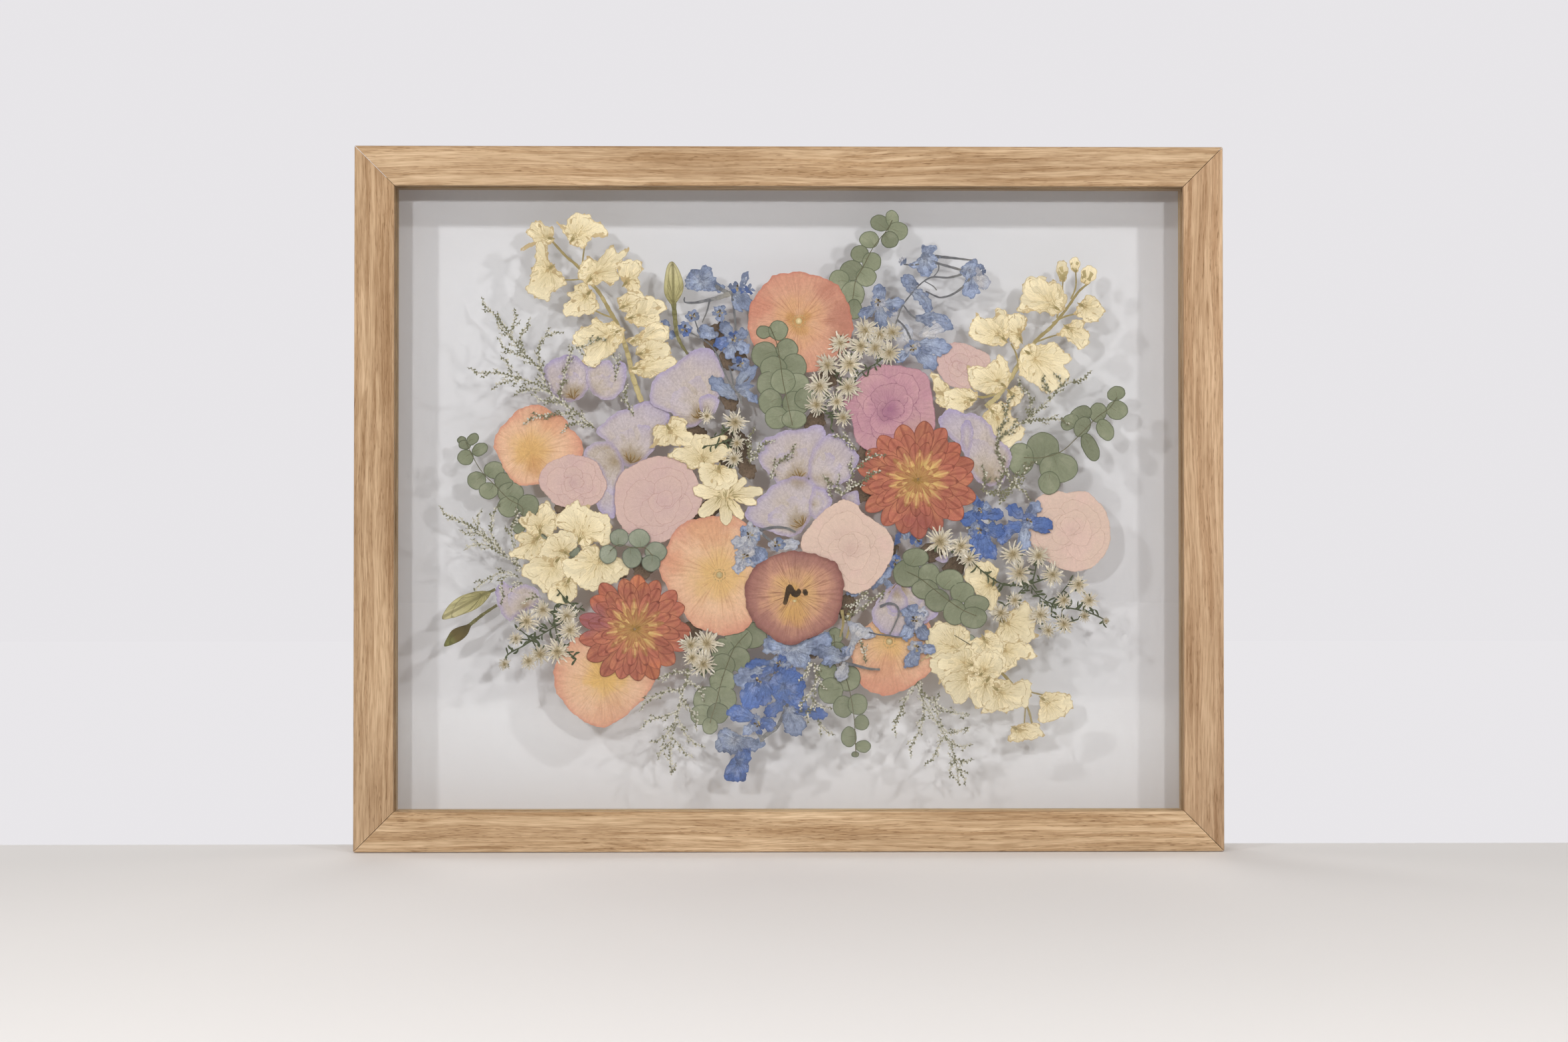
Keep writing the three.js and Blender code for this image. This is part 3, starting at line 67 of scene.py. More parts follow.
def node(tree, kind, settings=None, inputs=None):
    made = tree.nodes.new("ShaderNode" + kind)
    for key, value in (settings or {}).items():
        if key == "stops":
            ramp = made.color_ramp
            while len(ramp.elements) < len(value):
                ramp.elements.new(1)
            for element, (place, colour) in zip(ramp.elements, value):
                element.position = place
                element.color = linear(colour)
        else:
            setattr(made, key, value)
    for key, value in (inputs or {}).items():
        if isinstance(value, bpy.types.NodeSocket):
            tree.links.new(value, made.inputs[key])
        else:
            made.inputs[key].default_value = value
    return made


def new_material(name, base_hex):
    material = bpy.data.materials.new(name)
    material.use_nodes = True
    material.diffuse_color = linear(base_hex)
    tree = material.node_tree
    return material, tree, tree.nodes["Principled BSDF"]


def placed(name, data):
    made = bpy.data.objects.new(name, data)
    bpy.context.collection.objects.link(made)
    return made


def hide(thing, *rays):
    for ray in rays:
        setattr(thing, "visible_" + ray, False)


print("helpers ready")

# %% [markdown]
# ## Oak
# Each member is planed and lightly oiled. The grain runs along it: growth rings
# 2 to 4 mm apart, pores as dark dashes 3 to 8 mm long and 0.3 mm wide, and
# broad changes of tone over 100 mm or so.

# %% Oak material
# steps of noise per metre, along the grain and across it
WANDER_SCALE, RING_SCALE, BROAD_SCALE = (5, 22), (6, 330), (7, 60)
FIBRE_SCALE, PORE_SCALE = (60, 1500), (150, 2200)
WANDER = 0.012
SHADING = 0.8
PORE_SHARE = 0.85


def oak(name, along, light, dark, pore, seed):
    material, tree, shader = new_material(name, light)

    def noise(vector, scale, detail, roughness=0.5):
        drawn_out = node(tree, "Mapping", inputs={"Vector": vector, "Scale": (*scale, scale[1])}).outputs[0]
        return node(tree, "TexNoise", inputs={
            "Vector": drawn_out, "Scale": 1.0, "Detail": detail, "Roughness": roughness}).outputs

    def spread(value, start, end, top=1.0):
        return node(tree, "MapRange", inputs={
            "Value": value, "From Min": start, "From Max": end, "To Max": top}).outputs[0]

    def times(first, second):
        return node(tree, "Math", {"operation": "MULTIPLY"}, {0: first, 1: second}).outputs[0]

    def mix(share, under, over, kind="MIX"):
        return node(tree, "Mix", {"data_type": "RGBA", "blend_type": kind}, {
            "Factor": share, 6: under, 7: over}).outputs[2]

    def shade(under, value, start, end, shadow):
        ramp = node(tree, "ValToRGB", {"stops": [(start, shadow), (end, "ffffff")]}, {"Fac": value})
        return mix(SHADING, under, ramp.outputs[0], "MULTIPLY")

    place = node(tree, "TexCoord").outputs["Object"]
    # turned so that the grain always runs along the texture's X
    turn = (0, 0, 0) if along == "X" else (0, math.pi / 2, 0)
    turned = node(tree, "Mapping", {"vector_type": "POINT"},
                  {"Vector": place, "Rotation": turn, "Location": (seed, seed * 0.3, 0)}).outputs[0]
    # the log's slow wander, so that no grain line is straight
    bent = node(tree, "VectorMath", {"operation": "MULTIPLY_ADD"}, {
        0: noise(turned, WANDER_SCALE, 2.0)["Color"], 1: (0, WANDER, WANDER), 2: turned}).outputs[0]
    rings = noise(bent, RING_SCALE, 3.0, 0.6)["Fac"]
    broad = noise(bent, BROAD_SCALE, 2.0)["Fac"]
    fibre = noise(bent, FIBRE_SCALE, 4.0)["Fac"]
    dashes = noise(bent, PORE_SCALE, 1.0)["Fac"]
    # pores sit in the early wood of each ring
    pores = times(spread(dashes, 0.6, 0.68), spread(rings, 0.42, 0.58))
    tone = mix(spread(rings, 0.38, 0.64, 0.95), linear(light), linear(dark))
    tone = shade(tone, broad, 0.3, 0.7, "dcd6cf")
    tone = shade(tone, fibre, 0.32, 0.62, "cfc4b6")
    tone = mix(times(pores, PORE_SHARE), tone, linear(pore))
    height = node(tree, "Math", {"operation": "SUBTRACT"}, {0: times(fibre, 0.4), 1: pores}).outputs[0]
    bump = node(tree, "Bump", inputs={"Height": height, "Strength": 0.35, "Distance": 0.0002})
    gloss = node(tree, "MapRange", inputs={"Value": fibre, "To Min": 0.46, "To Max": 0.62})
    tree.links.new(tone, shader.inputs["Base Color"])
    tree.links.new(gloss.outputs[0], shader.inputs["Roughness"])
    tree.links.new(bump.outputs[0], shader.inputs["Normal"])
    return material


oak_top = oak("oiled_oak_top", "X", "dcc09e", "bc9b76", "846444", 0.37)
oak_bottom = oak("oiled_oak_bottom", "X", "efd2ad", "cca981", "8c6a48", 1.91)
oak_left = oak("oiled_oak_left", "Z", "dbbd9a", "b99773", "846444", 3.13)
oak_right = oak("oiled_oak_right", "Z", "debf9d", "bd9976", "866646", 4.57)
print("oak ready")

# %% [markdown]
# ## Frame members
# The members keep their solids' shape, with the long edges eased as a hand
# plane leaves them and the mitres left crisp.

# %% Oak members
EASED = 0.0009
FLAT_ANGLE = 0.02
LONG_EDGE = 0.3
OAK_SHARP = 25


def member(name, material, along):
    shape = bmesh.new()
    shape.from_mesh(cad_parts[name].data)
    bmesh.ops.remove_doubles(shape, verts=shape.verts, dist=1e-6)
    bmesh.ops.dissolve_limit(shape, angle_limit=FLAT_ANGLE, verts=shape.verts, edges=shape.edges)
    axis = 0 if along == "X" else 2
    long_edges = [edge for edge in shape.edges
                  if abs(edge.verts[0].co[axis] - edge.verts[1].co[axis]) > LONG_EDGE]
    bmesh.ops.bevel(shape, geom=long_edges, offset=EASED, segments=3, profile=0.5, affect="EDGES")
    mesh = bpy.data.meshes.new(name + "_oak")
    shape.to_mesh(mesh)
    shape.free()
    mesh.materials.append(material)
    mesh.shade_smooth()
    mesh.set_sharp_from_angle(angle=math.radians(OAK_SHARP))
    piece = placed(name + "_planed", mesh)
    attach(piece, "root")
    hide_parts(name)


member("frame_top", oak_top, "X")
member("frame_bottom", oak_bottom, "X")
member("frame_left", oak_left, "Z")
member("frame_right", oak_right, "Z")
print("members ready")

# %% [markdown]
# ## Glass
# Float glass is plain transmission with its own refractive index. Light passes
# it to reach the flowers, so it casts no shadow of its own.

# %% Panes
glass, tree, shader = new_material("float_glass", "f4f8f6")
shader.inputs["Base Color"].default_value = linear("fbfdfc")
shader.inputs["Transmission Weight"].default_value = 1.0
shader.inputs["IOR"].default_value = 1.5
shader.inputs["Roughness"].default_value = 0.0
for name in ("front_pane", "back_pane"):
    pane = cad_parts[name]
    pane.data.materials.clear()
    pane.data.materials.append(glass)
    hide(pane, "shadow", "diffuse")
print("glass ready")

# %% [markdown]
# ## Retaining fillet
# Four oak beads, mitred and glued into one ring in the rebate behind the glass.

# %% Fillet
BEAD_WIDTH = 0.0069
CHAMFER = 0.0012


def fillet():
    low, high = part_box("retaining_fillet")
    # the bead's section, from the outer front corner round: [in from the outside, depth]
    section = [(0, low.y), (BEAD_WIDTH, low.y), (BEAD_WIDTH, high.y - CHAMFER),
               (BEAD_WIDTH - CHAMFER, high.y), (0, high.y)]
    corners = [(low.x, low.z, 1, 1), (high.x, low.z, -1, 1), (high.x, high.z, -1, -1),
               (low.x, high.z, 1, -1)]
    points, faces, slots = [], [], []
    for x, z, inward_x, inward_z in corners:
        points += [(x + inward_x * across, y, z + inward_z * across) for across, y in section]
    count = len(section)
    for side in range(4):
        here, there = side * count, (side + 1) % 4 * count
        for i in range(count):
            j = (i + 1) % count
            faces.append((here + i, here + j, there + j, there + i))
            slots.append(side % 2)
    mesh = bpy.data.meshes.new("fillet_beads")
    mesh.from_pydata(points, [], faces)
    mesh.materials.append(oak_bottom)
    mesh.materials.append(oak_left)
    mesh.polygons.foreach_set("material_index", slots)
    outward = bmesh.new()
    outward.from_mesh(mesh)
    bmesh.ops.recalc_face_normals(outward, faces=outward.faces)
    outward.to_mesh(mesh)
    outward.free()
    piece = placed("fillet_beads", mesh)
    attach(piece, "root")
    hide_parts("retaining_fillet")


fillet()
print("fillet ready")

# %% [markdown]
# ## How a plant is pressed
# A specimen is a pile of thin sheets: petals, leaves and stalks. Each sheet is
# cut from an outline in millimetres from the middle of the glass, filled with a
# net of small triangles, and given a back 0.06 mm behind its front. Every point
# knows how far it lies from the sheet's claw and from its rim, and the
# materials draw veins and edges from that.

# %% Outlines
GLASS_MIDDLE = 221.0
FIRST_LAYER = -11.12
LAYER_PITCH = 0.4
THICKNESS = 0.06
# a wavy edge: each wave's share of the height, and how often it comes against the first
WAVES = ((0.5, 1.0), (0.32, 1.9), (0.25, 3.3))
TOOTH = 2.1
KNOT = 0.12


def spline(before, ends, after, later, step):
    """Points every step or so on a curve through the ends, from each to the one after."""
    made = []
    for p0, p1, p2, p3 in zip(before, ends, after, later):
        count = max(1, round(float(np.hypot(*(p2 - p1))) / step))
        for t in np.arange(count) / count:
            made.append(0.5 * (2 * p1 + (p2 - p0) * t + (2 * p0 - 5 * p1 + 4 * p2 - p3) * t * t
                               + (3 * p1 - p0 - 3 * p2 + p3) * t ** 3))
    return made


def smooth(points, step=1.2):
    """A closed curve through the points."""
    ring = np.array(points, float)
    return np.array(spline(np.roll(ring, 1, 0), ring, np.roll(ring, -1, 0), np.roll(ring, -2, 0), step))


def open_curve(points, step=1.5):
    """A curve through the points, from the first to the last."""
    ends = np.array(points, float)
    line = np.concatenate([[2 * ends[0] - ends[1]], ends, [2 * ends[-1] - ends[-2]]])
    return np.array(spline(line, line[1:], line[2:], line[3:], step) + [ends[-1]])


def toward(angle):
    return np.array([math.cos(angle), math.sin(angle)])


def left(vector):
    return np.array([-vector[1], vector[0]])


def unit(vector):
    return vector / max(np.hypot(*vector), 1e-6)


def closest(points, place):
    return points[np.argmin(np.hypot(*(points - place).T))]


def distances(points, others):
    """How far each point lies from the nearest of the others."""
    return np.hypot(points[:, None, 0] - others[None, :, 0], points[:, None, 1] - others[None, :, 1]).min(1)


def normals(run):
    """What lies to the left of every step of a line, one long."""
    return np.stack([-run[:, 1], run[:, 0]], 1) / np.maximum(np.hypot(run[:, 0], run[:, 1]), 1e-6)[:, None]


def frill(ring, height, wave, seed, teeth=0.0):
    """Pushes a closed curve in and out, with waves and teeth: their height and the wave's length in mm."""
    chance = random.Random(seed)
    steps = np.hypot(*(np.roll(ring, -1, 0) - ring).T)
    along = np.concatenate([[0], np.cumsum(steps)[:-1]])
    total = steps.sum()
    push = np.zeros(len(ring))
    for share, times in WAVES:
        turns = max(2, round(total / wave * times))
        push += share * height * np.sin(along / total * 2 * math.pi * turns + chance.uniform(0, 6.28))
    if teeth:
        turns = max(3, round(total / TOOTH))
        push += teeth * np.abs(np.sin(along / total * math.pi * turns + 2 * np.sin(along / total * 40)))
    return ring - normals(np.roll(ring, -1, 0) - np.roll(ring, 1, 0)) * push[:, None]


def leaning(x, z, across, up, lean):
    """A place across and up from x, z, where both ways lean by some degrees."""
    cos, sin = math.cos(math.radians(lean)), math.sin(math.radians(lean))
    return x + across * cos - up * sin, z + across * sin + up * cos


def oval(x, z, half_width, half_height=None, lean=0, sides=24):
    angle = np.arange(sides) / sides * 2 * math.pi
    across, up = np.cos(angle) * half_width, np.sin(angle) * (half_height or half_width)
    return np.stack(leaning(x, z, across, up, lean), 1)


def band(points, widths):
    """A strip of changing width along a line."""
    line = np.array(points, float)
    side = normals(np.gradient(line, axis=0)) * (np.array(widths, float) / 2)[:, None]
    return np.concatenate([line + side, (line - side)[::-1]])


def stem_outline(points, start_width, end_width):
    line = open_curve(points)
    share = np.linspace(0, 1, len(line))
    knots = 1 + KNOT * np.sin(np.arange(len(line)) * 1.7)
    return band(line, (start_width + (end_width - start_width) * share) * knots)


# how wide a petal is on its way from claw to tip, both as shares
EGG = [(0, 0.14), (0.15, 0.4), (0.35, 0.74), (0.6, 1), (0.8, 0.94), (0.93, 0.62), (0.99, 0.2)]
POINTED = [(0, 0.3), (0.2, 0.62), (0.45, 0.95), (0.65, 1.0), (0.82, 0.8), (0.94, 0.45), (0.995, 0.1)]
STRAP = [(0, 0.35), (0.3, 0.7), (0.6, 1.0), (0.8, 0.86), (0.95, 0.45), (0.995, 0.12)]
ROUND = [(0, 0.35), (0.2, 0.72), (0.5, 1.0), (0.75, 0.94), (0.9, 0.7), (0.985, 0.3)]
RAGGED = [(0, 0.3), (0.15, 0.55), (0.35, 0.9), (0.5, 0.82), (0.7, 1.0), (0.85, 0.6), (0.97, 0.24)]


def petal_outline(base, tip, width, profile=EGG, bend=0.0):
    base, tip = np.array(base, float), np.array(tip, float)
    run = tip - base
    line = [base + run * t + left(run) * bend * math.sin(math.pi * t) for t, _ in profile]
    return smooth(band(line, [share * width for _, share in profile]))


print("outlines ready")

# %% Sheets
# room left free in a layer, and how much of a sheet's ridges shows as height
SLACK = 0.05
RIDGE_SHARE = 0.6
PETAL_SHARP = 50


class Pile:
    """The sheets of one specimen, the first one lowest."""

    def __init__(self, name, layer):
        self.name, self.layer, self.sheets = name, layer, []
        self.chance = random.Random(name)

    def lay(self, outline, claw, slot=0, step=1.8, ridge=0.035, ridges=9, tone=None, edge=None):
        """Adds one sheet. Its veins spread from the claw along the line to its middle.

        Its triangles are a step wide and its ridges so high, both in mm; ridges says how many
        there would be all round the claw. The rim is measured from the edge, or the outline.
        """
        ring = np.array(outline, float)
        claw = np.array(claw, float)
        low, high = ring.min(0), ring.max(0)
        rows = np.arange(low[1], high[1], step)
        grid = np.array([(x + (i % 2) * step / 2, z) for i, z in enumerate(rows)
                         for x in np.arange(low[0], high[0], step)])
        if len(grid):
            grid = grid[distances(grid, ring) > step * 0.6]
        points = [Vector(p) for p in np.concatenate([ring, grid.reshape(-1, 2)]).tolist()]
        flat, _, triangles, _, _, _ = delaunay_2d_cdt(points, [], [list(range(len(ring)))], 1, 1e-5)
        flat = np.array([(p[0], p[1]) for p in flat])
        if tone is None:
            tone = self.chance.random()
        axis = ring.mean(0) - claw
        size = float(np.hypot(*axis))
        axis = axis / size if size > 0.8 else np.array([1.0, 0.0])
        out = flat - claw
        out = np.stack([out @ axis, out @ left(axis)], 1)
        reach = max(float(np.hypot(*(ring - claw).T).max()), 1e-3)
        rim = distances(flat, ring if edge is None else edge)
        angle = np.arctan2(out[:, 1], out[:, 0])
        far = np.hypot(out[:, 0], out[:, 1])
        relief = ridge * np.sin(angle * ridges + 3 * np.sin(far / 5 + tone * 9)) * np.clip(far / 8, 0, 1)
        self.sheets.append((flat, [tuple(t) for t in triangles], out / reach, rim, relief, tone, slot))

    def finish(self, slot, materials, replaces=None):
        """Stacks the sheets in the specimen's layer and makes the mesh."""
        back = FIRST_LAYER + self.layer * LAYER_PITCH
        room = LAYER_PITCH - THICKNESS - SLACK
        points, faces, slots, veins, rims = [], [], [], [], []
        for i, (flat, triangles, out, rim, relief, tone, sheet_slot) in enumerate(self.sheets):
            lift = room * (i + 0.5) / len(self.sheets)
            front = back - THICKNESS - lift - relief * RIDGE_SHARE
            start, count = len(points), len(flat)
            for depth in (front, front + THICKNESS):
                points += [(x, y, z) for (x, z), y in zip(flat, depth)]
                veins += [(u, v, tone) for u, v in out]
                rims += list(rim)
            # the edges that one triangle alone has run round the sheet
            edges = {}
            for a, b, c in triangles:
                faces.append((start + a, start + b, start + c))
                faces.append((start + count + a, start + count + c, start + count + b))
                for edge in ((a, b), (b, c), (c, a)):
                    if edge[::-1] in edges:
                        del edges[edge[::-1]]
                    else:
                        edges[edge] = True
            for a, b in edges:
                faces.append((start + b, start + a, start + count + a, start + count + b))
            slots += [sheet_slot] * (len(triangles) * 2 + len(edges))
        mesh = bpy.data.meshes.new(self.name + "_pressed")
        place = np.array(points)
        place[:, 2] += GLASS_MIDDLE
        mesh.from_pydata(place * 0.001, [], faces)
        for material in materials:
            mesh.materials.append(material)
        mesh.polygons.foreach_set("material_index", slots)
        mesh.attributes.new("vein", "FLOAT_VECTOR", "POINT").data.foreach_set(
            "vector", np.array(veins, np.float32).ravel())
        mesh.attributes.new("rim", "FLOAT", "POINT").data.foreach_set("value", np.array(rims, np.float32))
        mesh.shade_smooth()
        mesh.set_sharp_from_angle(angle=math.radians(PETAL_SHARP))
        piece = placed(self.name + "_pressed", mesh)
        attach(piece, "root")
        if replaces:
            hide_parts(replaces)


print("sheets ready")

# %% [markdown]
# ## Dried petals
# Pressing dries a petal to a matte film. Its colour runs from claw to rim, fine
# veins spread from the claw, blotches 5 to 12 mm across show where it bruised or
# faded, its skin is crinkled like crepe every 1.5 mm or so, with painted shade in
# the crinkles' hollows and painted light on their ridges, and its edge keeps a
# thin line of darker colour, partly a dried edge's own colour and partly painted
# shade where the sheet lies on what is below. One function builds them all from those facts.

# %% Petal material
CREPE_MM = 1.4
GRAIN_MM = 0.5
STAIN_WANDER = 160.0
TONE_STEP = 23.0


def pressed(name, stops, vein, vein_share=0.25, vein_end=1.3, spokes=7.0, stretch=1.5, rim=None,
            rim_share=0.4, rim_width=0.7, patch=None, patch_share=0.4, patch_size=8.0, midrib=None,
            spots=(), tone_range=0.12, crepe_shading=0.09, relief=0.35):
    material, tree, shader = new_material(name, stops[len(stops) // 2][1])

    def math_node(kind, first, second, third=0.0):
        return node(tree, "Math", {"operation": kind}, {0: first, 1: second, 2: third}).outputs[0]

    def vector_node(kind, inputs, output=0):
        return node(tree, "VectorMath", {"operation": kind}, inputs).outputs[output]

    def noise(vector, scale, detail, roughness=0.5, distortion=0.0):
        return node(tree, "TexNoise", inputs={"Vector": vector, "Scale": scale, "Detail": detail,
                                              "Roughness": roughness, "Distortion": distortion}).outputs

    def blend(share, under, over_hex):
        return node(tree, "Mix", {"data_type": "RGBA"}, {
            "Factor": share, 6: under, 7: linear(over_hex)}).outputs[2]

    def ramp(value, start, end, low=0.0, high=1.0):
        return node(tree, "MapRange", {"interpolation_type": "SMOOTHSTEP"}, {
            "Value": value, "From Min": start, "From Max": end, "To Min": low, "To Max": high}).outputs[0]

    place = node(tree, "TexCoord").outputs["Object"]
    parts = node(tree, "SeparateXYZ", inputs={
        0: node(tree, "Attribute", {"attribute_name": "vein"}).outputs["Vector"]}).outputs
    spoke = node(tree, "CombineXYZ", inputs={0: parts[0], 1: parts[1]}).outputs[0]
    reach = vector_node("LENGTH", {0: spoke}, "Value")
    heading = vector_node("SCALE", {0: vector_node("NORMALIZE", {0: spoke}), "Scale": spokes})
    lift = math_node("MULTIPLY_ADD", parts[2], TONE_STEP, math_node("MULTIPLY", reach, stretch))
    along = vector_node("ADD", {0: heading, 1: node(tree, "CombineXYZ", inputs={2: lift}).outputs[0]})
    streaks = noise(along, 1.6, 4.0, 0.6)["Fac"]
    blotch = noise(place, 1000 / patch_size, 3.0)["Fac"]
    crinkle = noise(place, 1000 / CREPE_MM, 3.0, 0.65, 0.8)["Fac"]
    grain = noise(place, 1000 / GRAIN_MM, 1.0)["Fac"]
    # claw to rim, unevenly
    worn = math_node("MULTIPLY_ADD", math_node("SUBTRACT", blotch, 0.5), 0.6, reach)
    colour = node(tree, "ValToRGB", {"stops": stops}, {"Fac": worn}).outputs[0]
    if patch:
        colour = blend(ramp(blotch, 0.48, 0.68, 0.0, patch_share), colour, patch)
    if spots:
        # the same wander for every stain, so that none is a plain circle
        wander = noise(place, STAIN_WANDER, 3.0)["Color"]
    for x, z, radius, tint, strength in spots:
        warped = vector_node("MULTIPLY_ADD", {0: wander, 1: (radius * 0.0012,) * 3, 2: place})
        middle = [v * 0.001 + radius * 0.0006 for v in (x, 0, GLASS_MIDDLE + z)]
        flat = vector_node("MULTIPLY", {0: vector_node("SUBTRACT", {0: warped, 1: middle}), 1: (1, 0, 1)})
        away = vector_node("LENGTH", {0: flat}, "Value")
        colour = blend(ramp(away, radius * 0.0004, radius * 0.0013, strength, 0.0), colour, tint)
    held = ramp(reach, 0.1, vein_end, 1.0, 0.0)
    colour = blend(math_node("MULTIPLY", held, ramp(streaks, 0.5, 0.66, 0.0, vein_share)), colour, vein)
    if midrib:
        off = math_node("ABSOLUTE", parts[1], 0.0)
        colour = blend(ramp(off, 0.015, 0.05, 0.6, 0.0), colour, midrib)
    # a thin darker line along the edge: partly a dried edge's colour, partly painted shade where the sheet
    # lies on what is below
    if rim:
        edge = node(tree, "Attribute", {"attribute_name": "rim"}).outputs["Fac"]
        colour = blend(ramp(edge, 0.0, rim_width, rim_share, 0.0), colour, rim)
    value = math_node("MULTIPLY_ADD", parts[2], tone_range, 1 - tone_range / 2)
    # the crinkles' hollows get painted shade and their ridges painted light, from the same noise as the bump
    for factor in (ramp(crinkle, 0.3, 0.7, 1 - crepe_shading, 1 + crepe_shading * 0.6), ramp(grain, 0.25, 0.75, 0.96, 1.04),
                   ramp(streaks, 0.3, 0.55, 1 + vein_share * 0.15, 1.0)):
        value = math_node("MULTIPLY", value, factor)
    colour = node(tree, "HueSaturation", inputs={"Value": value, "Color": colour}).outputs[0]
    height = math_node("MULTIPLY_ADD", crinkle, 0.8, streaks)
    bump = node(tree, "Bump", inputs={"Height": height, "Strength": relief, "Distance": 0.0005})
    tree.links.new(colour, shader.inputs["Base Color"])
    tree.links.new(bump.outputs[0], shader.inputs["Normal"])
    shader.inputs["Roughness"].default_value = 0.82
    shader.inputs["Specular IOR Level"].default_value = 0.25
    return material


print("petal material ready")

# %% [markdown]
# ## Iceland poppies
# Each is four crinkled petals, overlapping like paper, 55 to 65 mm across.
# Only the flower's own outer edge is drawn darker, partly its dried colour and
# partly painted shade, so every petal measures its rim from there. In the middle
# lies what is left of the stamens and the pod.

# %% Poppies
POPPIES = {
    "poppy_salmon_top": (2, [[-26, 111], [-25, 120], [-22, 127], [-13, 138], [-9, 141], [4, 143], [12, 142],
      [27, 137], [33, 131], [37, 123], [39.5, 114], [40, 106], [37, 97], [30, 88], [22, 82], [14, 80],
      [4, 80], [-6, 82], [-15, 88], [-22, 96], [-25, 103]], [6, 112]),
    "poppy_peach_left": (6, [[-185, 30], [-186, 37], [-183, 43], [-174, 53], [-169, 57], [-162, 59],
      [-154, 58], [-149, 54], [-143, 52], [-140, 49], [-138.5, 44], [-134, 41], [-131, 36], [-130, 29],
      [-132, 22], [-140, 15], [-150, 10], [-160, 9], [-167, 8], [-174, 11], [-178, 16]], [-163, 30]),
    "poppy_peach_centre": (2, [[-82, -44], [-80, -36], [-73, -22], [-69, -17], [-63, -14], [-55, -12],
      [-40, -10.5], [-33, -12], [-27, -16], [-22, -26], [-20, -40], [-20, -58], [-22, -72], [-25, -80],
      [-31, -84], [-38, -86], [-45, -85.5], [-60, -80], [-65, -74], [-70, -65], [-77, -56]], [-44, -48]),
    "poppy_plum_centre": (0, [[-28, -60], [-27, -52], [-23, -45], [-18, -40], [-5, -34], [3, -33], [12, -34],
      [27, -39], [32, -45], [34, -52], [34, -59], [31, -74], [27, -80], [19, -85], [10, -89], [2, -92],
      [-5, -91], [-17, -83], [-22, -78], [-26, -71]], [3, -60]),
    "poppy_peach_low_left": (3, [[-148, -108], [-145, -100], [-140, -92], [-132, -86], [-122, -83],
      [-110, -84], [-98, -88], [-89, -95], [-84, -105], [-85, -115], [-90, -124], [-97, -131], [-105, -138],
      [-112, -142], [-119, -144], [-127, -141], [-135, -136], [-142, -128], [-147, -120]], [-117, -114]),
    "poppy_peach_low_right": (6, [[39, -95], [40, -104], [43, -113], [47, -119], [58, -124], [66, -123],
      [74, -120], [87, -111], [90, -105], [91, -96], [90, -85], [87, -76], [79, -72], [69, -71], [58, -74],
      [50, -79], [43, -86]], [63, -90]),
}

# how far a petal's sides swell past its angles, and how far out along them that is
SIDES = [(math.radians(7), 0.78), (math.radians(7) * 0.8, 0.5), (0, 0.2)]
POPPY_OVERLAP = 16


def spoke(x, z, angle, reach_x, reach_z, share=1.0):
    """The end of a line that leaves x, z at an angle."""
    return x + math.cos(angle) * reach_x * share, z + math.sin(angle) * reach_z * share


def sector(ring, hub, start, end):
    """One petal of a round flower: the part of its edge between two angles."""
    hub = np.array(hub, float)
    angle = np.degrees(np.arctan2(ring[:, 1] - hub[1], ring[:, 0] - hub[0])) % 360
    span = (end - start) % 360
    inside = (angle - start) % 360 <= span
    order = np.argsort((angle[inside] - start) % 360)
    edge = ring[inside][order]
    if len(edge) < 2:
        return None

    def turned(vector, by, share):
        return hub + share * np.array([vector[0] * math.cos(by) - vector[1] * math.sin(by),
                                       vector[0] * math.sin(by) + vector[1] * math.cos(by)])

    back = [turned(edge[-1] - hub, by, share) for by, share in SIDES]
    out = [turned(edge[0] - hub, -by, share) for by, share in reversed(SIDES)]
    return np.concatenate([edge, np.array(back + [hub] + out)])


salmon = pressed("poppy_salmon", [(0.0, "d9b680"), (0.16, "d0a076"), (0.55, "cd9a80"), (0.98, "c68a76")],
                 "a5644e", 0.5, spokes=11, rim="b8705e", rim_share=0.55, rim_width=2.0,
                 patch="d8ae90", patch_share=0.4, patch_size=13,
                 spots=[(35, 114, 12, "a3685a", 0.6), (33, 101, 8, "ac7360", 0.5),
                        (24, 131, 8, "ad7060", 0.5), (-18, 122, 9, "bf7a66", 0.5),
                        (6, 108, 7, "b98c4c", 0.65), (1, 114, 4, "b58446", 0.6), (10, 114, 4, "b58446", 0.6)])
peach = pressed("poppy_peach", [(0.0, "d9b27a"), (0.3, "dbb389"), (0.65, "ddb192"), (0.98, "cf937c")],
                "b37a58", 0.45, spokes=11, rim="c2806c", rim_share=0.5, rim_width=2.2,
                patch="e4c09e", patch_share=0.45, patch_size=14,
                spots=[(-163, 30, 12, "d2a668", 0.7), (-160, 20, 7, "c08a55", 0.5),
                       (-150, 50, 10, "cf8e6c", 0.5), (-44, -48, 15, "d8b074", 0.75),
                       (-50, -18, 14, "cf9872", 0.6), (-72, -40, 8, "cd8e70", 0.5),
                       (-115, -110, 14, "d9ae66", 0.8), (-112, -140, 16, "c89070", 0.5),
                       (63, -92, 11, "d9ae72", 0.6), (60, -114, 16, "c98a72", 0.6)])
plum = pressed("poppy_plum",
               [(0.0, "c49a58"), (0.3, "cda274"), (0.58, "c4937a"), (0.78, "a5756a"), (1.0, "8a5a55")],
               "7c4c42", 0.7, spokes=12, rim="7b4f4a", rim_share=0.6, rim_width=3.0,
               patch="b98a76", patch_share=0.4, patch_size=10,
               spots=[(3, -72, 9, "c99c56", 0.6), (-16, -76, 8, "9c6c66", 0.6), (6, -40, 8, "8c625e", 0.5)])
